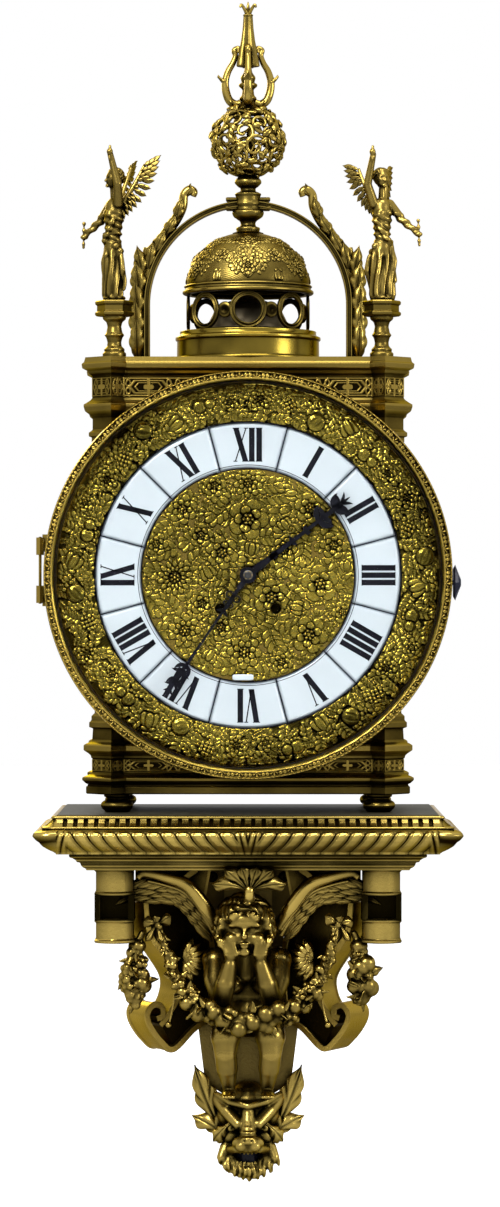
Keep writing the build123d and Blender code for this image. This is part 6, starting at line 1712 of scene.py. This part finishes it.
# each section point's third number is its hollow: the sunk face darker with patina and painted shade, the
# rims lighter as a painted highlight
section = [(-2.5, -5.2, 0.2), (-2.1, -6.0, 0.1), (-1.5, -6.0, 0.1), (-1.1, -5.2, 0.7), (1.1, -5.2, 0.7),
    (1.5, -6.0, 0.1), (2.1, -6.0, 0.1), (2.5, -5.2, 0.2), (2.5, 5.2, 0.5), (1.5, 6.0, 0.5),
    (-1.5, 6.0, 0.5), (-2.5, 5.2, 0.5)]
points = [(x - run_z * out, case_y + depth, z + run_x * out) for (x, z),
    (run_x, run_z) in zip(arch_path, arch_heading) for out, depth, _ in section]
make_piece("arch_band", points, grid_faces(len(arch_path), 12, wrap_columns=True), roof_gilt,
    nodes=["arch"], smooth=False, hollow=[mark for _ in arch_path for _, _, mark in section])
climbing = [((91, 431), (0.02, 1), 34, 15), ((91, 448), (0.05, 1), 32, 15), ((90, 466), (0.1, 1), 30, 15),
    ((89, 484), (0.12, 1), 28, 15), ((87, 500), (0.18, 1), 25, 12), ((83, 505), (-0.2, 1), 24, 12),
    ((78, 518), (-0.45, 0.9), 22, 12), ((69, 533), (-0.5, 0.85), 20, 11), ((60, 546), (-0.3, 0.95), 20, 10)]
arch_leaves = []
for side in (-1, 1):
    stem = [(89.5, 430.5), (90.5, 450), (89.5, 475), (87.5, 498), (85, 514), (84, 524)]
    crook = [(84, 494), (80, 512), (71, 531), (60, 547), (54.5, 558), (53, 568), (48.5, 572.5),
        (44.6, 570.4), (45.6, 566.6)]
    for places, count, shares, radii in ((stem, 40, [0, 0.5, 1], [4.0, 5.4, 2.6]),
            (crook, 60, [0, 0.35, 0.75, 1], [4.6, 4.6, 3.2, 2.6])):
        arch_leaves.append(tapered(smooth_path([(side * x, case_y, z) for x, z in places], count), shares,
            radii, 3.6))
    for (x, z), (dx, dz), length, width in climbing:
        for y in (-2.2, 2.2):
            arch_leaves.append(leaf_points((side * x, case_y + y, z), (side * dx, 0, dz),
                (side * 0.35, y, 0.0), length, width, curl=14, lobes=3, depth=0.22, thickness=1.8, rows=22,
                columns=13, cup=0.5))
    arch_leaves.append(leaf_points((side * 52, case_y, 566), (-side * 0.6, 0, 0.9), (side * 0.4, -1, 0.3),
        12, 8, curl=60, lobes=2, depth=0.3, thickness=1.6, rows=14, columns=9))
make_piece("arch_leaves", *joined(arch_leaves), roof_gilt, nodes=["leaf_brackets"], depth_mm=0.7, steps=7)
print("arch and leaves done")

# %% [markdown]
# Above the arch stands a turned collar with two lugs, and on it an open ball: leafy scrolls are spread
# evenly over a sphere by the golden angle, each a tube wound in a spiral with three leaves, between a
# cap below and a cap above.

# %% Collar and open ball
spin_upright("collar_turning", [(538.4, 9.8), (540.4, 10.0), (541.6, 6.6), (544.0, 6.0), (546.0, 7.0),
    (549.4, 12.0), (552.0, 13.2), (554.0, 13.0), (555.0, 10.8), (557.6, 10.4), (560.0, 11.4), (562.4, 10.4),
    (566.4, 10.2), (568.4, 11.2), (569.6, 9.0), (570.6, 6.4), (573.0, 6.2), (574.4, 8.4), (577.4, 11.2),
    (579.6, 11.0), (582.0, 8.8), (583.4, 7.4)], roof_gilt, spokes=60, size=0.9, nodes=["turned_collar"],
    depth_mm=0.6, steps=8)
lug_rows = rounded([(554.6, -1.0), (555.4, 0.2), (557.4, 0.2), (558.2, -0.8), (562.2, -0.8), (563.0, 0.2),
    (564.8, 0.2), (565.4, -1.0)], 3, 0.4)
points, faces = joined([run_profile(block(side * 14.0, case_y, 4.2, 5.2), lug_rows) for side in (-1, 1)])
make_piece("collar_lugs", points, faces, roof_gilt, smooth=False, hollow=np.full(len(points), 0.4))

ball_low, ball_high = node_box("pierced_ball")
ball_reach = 28.4
ball_centre = np.array([0, case_y, (ball_low[2] + ball_high[2]) / 2])
scroll_count = 38
winding = np.linspace(0, 1, 34)
scroll_reach = 9.4 * (1 - winding) ** 0.8 + 1.2
scroll_parts = []
for k in range(scroll_count):
    level = 1 - (2 * k + 1) / scroll_count
    if abs(level) > 0.93:
        continue
    turn = k * 2.39996
    out = np.array([cos(turn) * sqrt(1 - level ** 2), sin(turn) * sqrt(1 - level ** 2), level])
    east = unit(np.cross([0, 0, 1.0], out))
    north = np.cross(out, east)
    hand = 1 if k % 2 else -1
    bearing = (k * 1.9 + hand * winding * 8.2)[:, None]
    line = out * ball_reach + (east * np.cos(bearing) + north * np.sin(bearing)) * scroll_reach[:, None]
    line *= ((ball_reach + 0.5 * np.sin(winding * 3)) / np.linalg.norm(line, axis=1))[:, None]
    scroll_parts.append(tapered(ball_centre + line, [0, 0.3, 1], [1.0, 1.7, 1.1], sides=8))
    for petal in range(3):
        swing = bearing[4 + 9 * petal, 0] + hand * 0.6
        scroll_parts.append(leaf_points(ball_centre + line[4 + 9 * petal],
            east * cos(swing) + north * sin(swing), out, 10.5 - petal, 7.6, curl=-24, cup=0.5,
            side_bend=50 * hand, lobes=3, depth=0.3, rows=10, columns=7))
for level in (-64, 64):
    wide, high = ball_reach * cos(radians(level)), (ball_reach - 1.5) * sin(radians(level))
    scroll_parts.append(spun_ring(ball_centre + [0, 0, high], (0, 0, 1.0),
        [(wide - 1.6, 0.8), (wide + 1.2, 0.4), (wide + 0.8, -1.4), (wide - 1.6, -1.2)], 40))
make_piece("ball_scrolls", *joined(scroll_parts), roof_gilt, nodes=["pierced_ball"], depth_mm=0.6, steps=5)
cap_rows = [(ball_reach * sin(radians(a)), (ball_reach + 0.6) * cos(radians(a)))
    for a in (56, 60, 63, 67, 72, 76)]
cap_rows += [(ball_reach + 0.2, 6.0)]
for name, sign in (("ball_foot_cap", -1), ("ball_crown_cap", 1)):
    spin_upright(name, [(sign * z, radius) for z, radius in cap_rows[::sign]], roof_gilt, spokes=48,
        foot=ball_centre[2], size=0, steps=4)
print("collar and ball done")

# %% [markdown]
# The finial is a slender fluted spire with four scrolls round its foot and three curled prongs and a
# short tip at its top.

# %% Finial
spire_foot = ball_high[2] - 0.8
tip_z = node_box("finial")[1][2]
spin_upright("finial_turning", [(0, 8.4), (1.6, 8.8), (2.6, 6.4), (6, 5.6), (9, 7.4), (11, 5.2), (16, 4.6),
    (18.6, 7.6), (20.4, 7.8), (21.6, 5.2), (26, 6.4), (30, 3.6), (35, 2.6), (37, 2.6)], roof_gilt,
    spokes=48, foot=spire_foot, size=1.2, nodes=["finial"], depth_mm=0.6, steps=8)
spire_rows = raised(spire_foot, [(34.4, 3.0), (34.6, 10.6), (37, 10.4), (42, 9.2), (48, 8.2), (56, 6.4),
    (66, 5.0)])
spire_rows += raised(tip_z, [(-12.5, 4.2), (-11.5, 4.8), (-10.5, 3.2), (-9.5, 2.0)])
spin_upright("finial_spire", spire_rows, roof_gilt, size=1.0, flute=0.42, depth_mm=0.7, steps=8)


def round_axis(bearing, foot, places):
    """Places given by reach and height, turned to a bearing round the clock's axis."""
    return np.array([(reach * cos(bearing), case_y + reach * sin(bearing), foot + z) for reach,
        z in places])


scroll_parts = []
up = np.array([0, 0, 1.0])
for bearing in turns(4):
    way = np.array([cos(bearing), sin(bearing), 0])
    curve = round_axis(bearing, spire_foot, [(5.5, 4.5), (10, 3.4), (15.5, 7), (18.4, 15), (18.8, 23),
        (16.5, 31), (12.5, 38), (10.5, 44), (11.5, 48.5), (8.2, 50), (7.6, 46.5)])
    scroll_parts.append(tapered(smooth_path(curve, 70), [0, 0.3, 0.6, 0.85, 1], [3.8, 3.3, 2.5, 2.2, 2.8],
        2.8))
    high, low = round_axis(bearing, spire_foot, [(16.4, 17), (10, 1.5)])
    for base, direction, face, length, width, curl in ((high, way * 0.45 + up, way, 13, 6.5, 40),
            (low, way + up * 0.6, up, 11, 8, 50)):
        scroll_parts.append(leaf_points(base, direction, face, length, width, curl=curl, lobes=2, depth=0.2,
            thickness=2.0, rows=16, columns=9, cup=0.5))
for k in range(3):
    prong = round_axis(radians(120 * k - 30), tip_z, [(0.8, -11), (3.4, -6.5), (6.4, -3.2), (7.6, -5.4)])
    scroll_parts.append(tube_points(smooth_path(prong, 20), np.linspace(1.7, 0.9, 20), 8))
scroll_parts.append(tube_points([(0, case_y, tip_z + z) for z in (-11, -4, -0.3)], [1.8, 1.3, 0.4], 8))
make_piece("finial_scrolls", *joined(scroll_parts), roof_gilt, depth_mm=0.6, steps=6)
print("finial done")

# %% [markdown]
# Two small columns carry the winged figures. Each is turned, and its plinth has six sides.

# %% Columns
column_low, column_high = node_box("figure_columns")
column_x = column_high[0] - 16.0
column_y = (column_low[1] + column_high[1]) / 2
plinth_rows = rounded([(463.0, -3.0), (463.2, -0.4), (464.4, 1.2), (466.4, 1.2), (467.4, -0.4),
    (472.0, -0.4), (473.0, 1.0), (475.0, 1.2), (476.0, 0.2)], 3, 0.4)
column_rows = [(0, 9.6), (3.4, 9.6), (4.4, 8.0), (6.4, 8.6), (9.0, 6.0), (12, 5.6), (16, 6.6), (18, 8.2),
    (20.0, 6.6), (25, 5.6), (28.6, 6.6), (31, 9.4), (33, 9.6)]
plinth_parts = []
for number, side in enumerate((-1, 1)):
    spin_upright(f"column_{number + 1}", column_rows, case_gilt, x=side * column_x, y=column_y, spokes=40,
        foot=column_low[2], size=0.9, nodes=[] if number else ["figure_columns"], depth_mm=0.6, steps=8)

    def hexagon(outset, side=side):
        return [(side * column_x + (14.6 + outset) * cos(a), column_y + (14.6 + outset) * sin(a))
            for a in turns(6)]
    plinth_parts.append(run_profile(hexagon, plinth_rows))
points, faces = joined(plinth_parts)
make_piece("column_plinths", points, faces, case_gilt, smooth=False, hollow=np.full(len(points), 0.35))
print("columns done")

# %% [markdown]
# The figures are clay again: a head, a bodice, arms, and a long skirt whose folds are carved by waves
# that run down and widen. Each raises one arm and lowers the other, with a short rod in each hand. Their
# wings are rows of feathers. The right figure is the left one mirrored, and each is turned its own way.

# %% Winged figures
robe_chains = [[(-3, 0, 479, 8.2), (-2.5, 1, 495, 7.2), (-1, 1, 514, 7.4)],
    [(4, 1.5, 479, 6.6), (4, 3, 497, 5.8), (2, 1, 515, 6.8)], [(0, 1, 514, 8.0), (0, 1, 524, 6.6),
    (0, 1, 532, 5.6)], [(0, 1, 531, 6.4), (0, 0.5, 543, 8.2), (0, 0, 553, 7.2)],
    [(-9, -1, 516, 2.6), (-2, 7.5, 526, 3.0), (7, 5, 541, 2.4)], [(0, 0, 556, 3.1), (0, 1, 567, 2.8)],
    [(0, 7.0, 575.5, 0.8), (0, 8.1, 573.6, 1.1)], [(7, 0, 555, 4.2), (14, 4, 570, 3.5), (11, 9, 594, 2.5)],
    [(12.5, 10.5, 590, 1.2), (11.6, 9.6, 600.4, 1.2)], [(-7, 0, 555, 4.2), (-16, 5, 542, 3.5),
    (-26, 14, 531, 2.4)], [(-7, -3, 520, 3.4), (-9.5, -5, 504, 4.2), (-10, -6, 488, 2.2)],
    [(-6, 3, 524, 2.6), (-8, 4, 508, 3.6), (-9, 4, 493, 2.4)], [(-27, 15, 521, 1.2), (-26, 15, 541, 1.2)],
    [(9, -2, 512, 2.0), (11, -3, 500, 2.6), (8, -4, 486, 1.6)]]
robe_balls = [((0, 0, 478), (9.4, 9.4, 2.4)), ((-6, 0, 555), 4.2), ((6, 0, 555), 4.2),
    ((-3, 5, 547), (3.6, 3.4, 3.8)), ((3, 5, 547), (3.6, 3.4, 3.8)), ((0, 1.6, 575), (5.8, 6.2, 7.6)),
    ((0, -1.2, 578), (6.4, 6.4, 6.0)), ((0, -6.4, 576), (3.2, 3.0, 3.2)),
    ((0, 6.2, 569.6), (2.0, 1.5, 1.6)), ((-6.4, 2, 520), 3.2), ((6.4, 2, 520), 3.2), ((-7.2, -2, 516), 3),
    ((7.2, -2, 516), 3), ((12, 10, 596), (2.6, 2.6, 3.0)), ((-26.5, 14.5, 530), 2.9)]


def winged_figure(name, x, turn, node, hand):
    """A robed figure on a column, turned by degrees. hand is -1 for the mirrored one."""
    angle = radians(turn)

    def at(across, forward, z, *radius):
        px = x + hand * across * cos(angle) - forward * sin(angle)
        return np.array([px, column_y - hand * across * sin(angle) - forward * cos(angle), z, *radius])

    body = Clay()
    for places in robe_chains:
        body.chain(*[at(*place) for place in places])
    for centre, radii in robe_balls:
        body.ball(at(*centre), radii)

    def carve_robe(points):
        """Folds in the skirt and blouse, hair, eyes and a belt."""
        dx, dy, z = (points - [x, column_y, 0]).T
        out, around = np.hypot(dx, dy), np.arctan2(dy, dx)
        skirt = np.clip((519 - z) / 8, 0, 1) * np.clip((z - 478) / 3, 0, 1) * (out < 16)
        folds = 1.1 * np.sin(9 * around + 1.6 * np.sin(z * 0.11 + turn) + 0.02 * (z - 480)
            * np.sin(2 * around))
        blouse = np.clip((z - 522) / 3, 0, 1) * np.clip((549 - z) / 4, 0,
            1) * 0.5 * np.sin(z * 1.1 + 3 * np.cos(around))
        across, forward = dx * cos(angle) - dy * sin(angle), -dx * sin(angle) - dy * cos(angle)
        hair = np.clip((z - 570) / 3, 0, 1) * np.clip((3.6 - forward + (z - 578) * 0.5) / 2, 0,
            1) * (out < 9.5)
        curls = hair * (0.5 + 0.8 * np.abs(np.sin(z * 1.15 + 1.4 * np.sin(6 * around))))
        eyes = 0.75 * (pit(across + 2.3, z - 576, 1.2, 0.9) + pit(across - 2.3, z - 576, 1.2,
            0.9)) * (forward > 4)
        belt = 0.7 * np.exp(-((z - 530.5) / 1.1) ** 2) * (out < 9)
        return skirt * folds + blouse + curls - eyes + belt

    body.fuse(name, 0.62, 2, figure_gilt, carve=carve_robe, nodes=[node], depth_mm=0.8)
    plumes = []
    for side in (-1, 1):
        arm = smooth_path([at(side * a, forward, z) for a, forward,
            z in ((3, -4, 553), (8, -11, 565), (12, -18, 579), (14, -23, 590))], 24)
        outward = unit(at(side * 1.0, -1.2, 0) - at(0, 0, 0))
        face_way = at(side * 0.5, 1, 0) - at(0, 0, 0)
        for row, (reach, lift, count) in enumerate(((17, 0.0, 12), (12, 1.2, 10), (7, 2.2, 9))):
            for share in np.linspace(0, 1, count):
                place = arm[int((0.04 + 0.92 * share) * 23)] + face_way * lift * 0.7
                way = outward * (0.25 + 0.55 * share) + [0, 0, -1.0 + 1.35 * share]
                plumes.append(leaf_points(place, way, face_way, reach * (0.7 + 0.3 * share),
                    5.6 - 0.6 * row, curl=6, side_bend=-side * 14, cup=0.3, lobes=5, depth=0.05,
                    thickness=1.0, rows=14, columns=7, tip=1.5))
        plumes.append(tube_points(arm, np.linspace(2.8, 1.4, 24), 10))
    points, faces = joined(plumes)
    low, high = node_box(node)
    shoulder = at(0, -4, 556)
    over = np.max((points - shoulder) / np.where(points > shoulder, high + 1.5 - shoulder,
        low - 1.5 - shoulder))
    points = shoulder + (points - shoulder) / max(1.0, over)
    print(name, "wings shrunk by", round(max(1.0, over), 3))
    make_piece(name + "_wings", points, faces, figure_gilt, steps=5)


winged_figure("left_robed_figure", -column_x, 62.0, "left_figure", 1)
winged_figure("right_robed_figure", column_x, -20.0, "right_figure", -1)
print("figures done")

# %% [markdown]
# The mouldings under the shelf step in from the gadroons to the bracket's body, and two screws go
# through the body into the wall. A screw is a shallow disc at each end of its hole.

# %% Under moulding and wall screws
under_low, under_high = node_box("under_moulding")


def under_plan(outset):
    x, y = under_high[0] - 14 + outset, under_low[1] + 14 - outset
    return [(-x, y), (x, y), (x, -1.5), (-x, -1.5)]


under_rows = raised(under_low[2], [(0, 0.0), (1.6, 0.8), (2.4, 2.6), (4.0, 4.2), (6.6, 5.0), (7.2, 7.6),
    (8.6, 8.2), (10.4, 10.6), (11.4, 13.2), (13.0, 13.8), (under_high[2] - under_low[2], 13.0)])
points, faces = run_profile(under_plan, rounded(under_rows, 3, 0.7))
make_piece("under_mouldings", points, faces, bracket_gilt, slot="dark_bronze", nodes=["under_moulding"],
    smooth=False, hollow=np.repeat(0.5 - 0.25 * np.sin(0.9 * np.arange(len(points) // 4)), 4))
screw = [(0.05, 1.6), (2.6, 1.4), (4.6, 0.4), (4.9, -0.6), (0.05, -0.6)]
screws = [spun_ring((x, depth, 0.0), (0, -1.0, 0), screw, 24) for x in (-30.0, 30.0)
    for depth in (-40.0, -6.0)]
make_piece("wall_screws", *joined(screws), bracket_gilt, slot="dark_bronze", depth_mm=0.6, steps=4)
print("under moulding and screws done")

# %% [markdown]
# Whatever still shows its CAD mesh gets a finish by its material slot: the movement behind the dial, the
# back of the case, the glass. The glass is thin and clear, with a faint green. The bracket's back plate, a
# dull bronze painted very dark as the shade behind the arms and figures, and the painted top of the shelf
# have finishes of their own.

# %% Finishes for the CAD pieces
old_glass = mottled("old_glass", 9.0, (0.97, 0.985, 0.975), (0.995, 1.0, 0.995),
    {"Transmission Weight": 1.0, "IOR": 1.02, "Roughness": 0.0})
finishes = {"gilt_brass": case_gilt, "dark_bronze": bracket_gilt, "enamel": white_enamel,
    "glass": old_glass, "blued_steel": plain_black("blued_steel", (0.010, 0.011, 0.020), 0.22),
    "bell_metal": worn_and_shaded_metal("bell_metal", (0.26, 0.22, 0.14), (0.05, 0.04, 0.02), (0.3, 0.5)),
    "movement_brass": worn_and_shaded_metal("movement_brass", (0.74, 0.58, 0.27), (0.30, 0.2, 0.06), (0.22, 0.4),
    grain_height=0.02), "bright_steel": worn_and_shaded_metal("bright_steel", (0.56, 0.57, 0.58), (0.2, 0.2, 0.2),
    (0.2, 0.4), grain_height=0.02)}
# painted shade: the back plate's bronze is very dark because it stands in shadow behind the figures
by_node = {"bracket_back": worn_and_shaded_metal("shaded_bronze", (0.075, 0.053, 0.014), (0.01, 0.007, 0.002),
    (0.28, 0.5), grain=620, grain_height=0.3), "shelf_board": plain_black("shelf_top_paint",
    (0.030, 0.026, 0.014), 0.6)}
for part in frame["record"]["subparts"]:
    for slot in frame["nodes"][part["node"]].material_slots:
        slot.material = by_node.get(part["node"]) or finishes[part["material_slot"]]
print("finishes set")
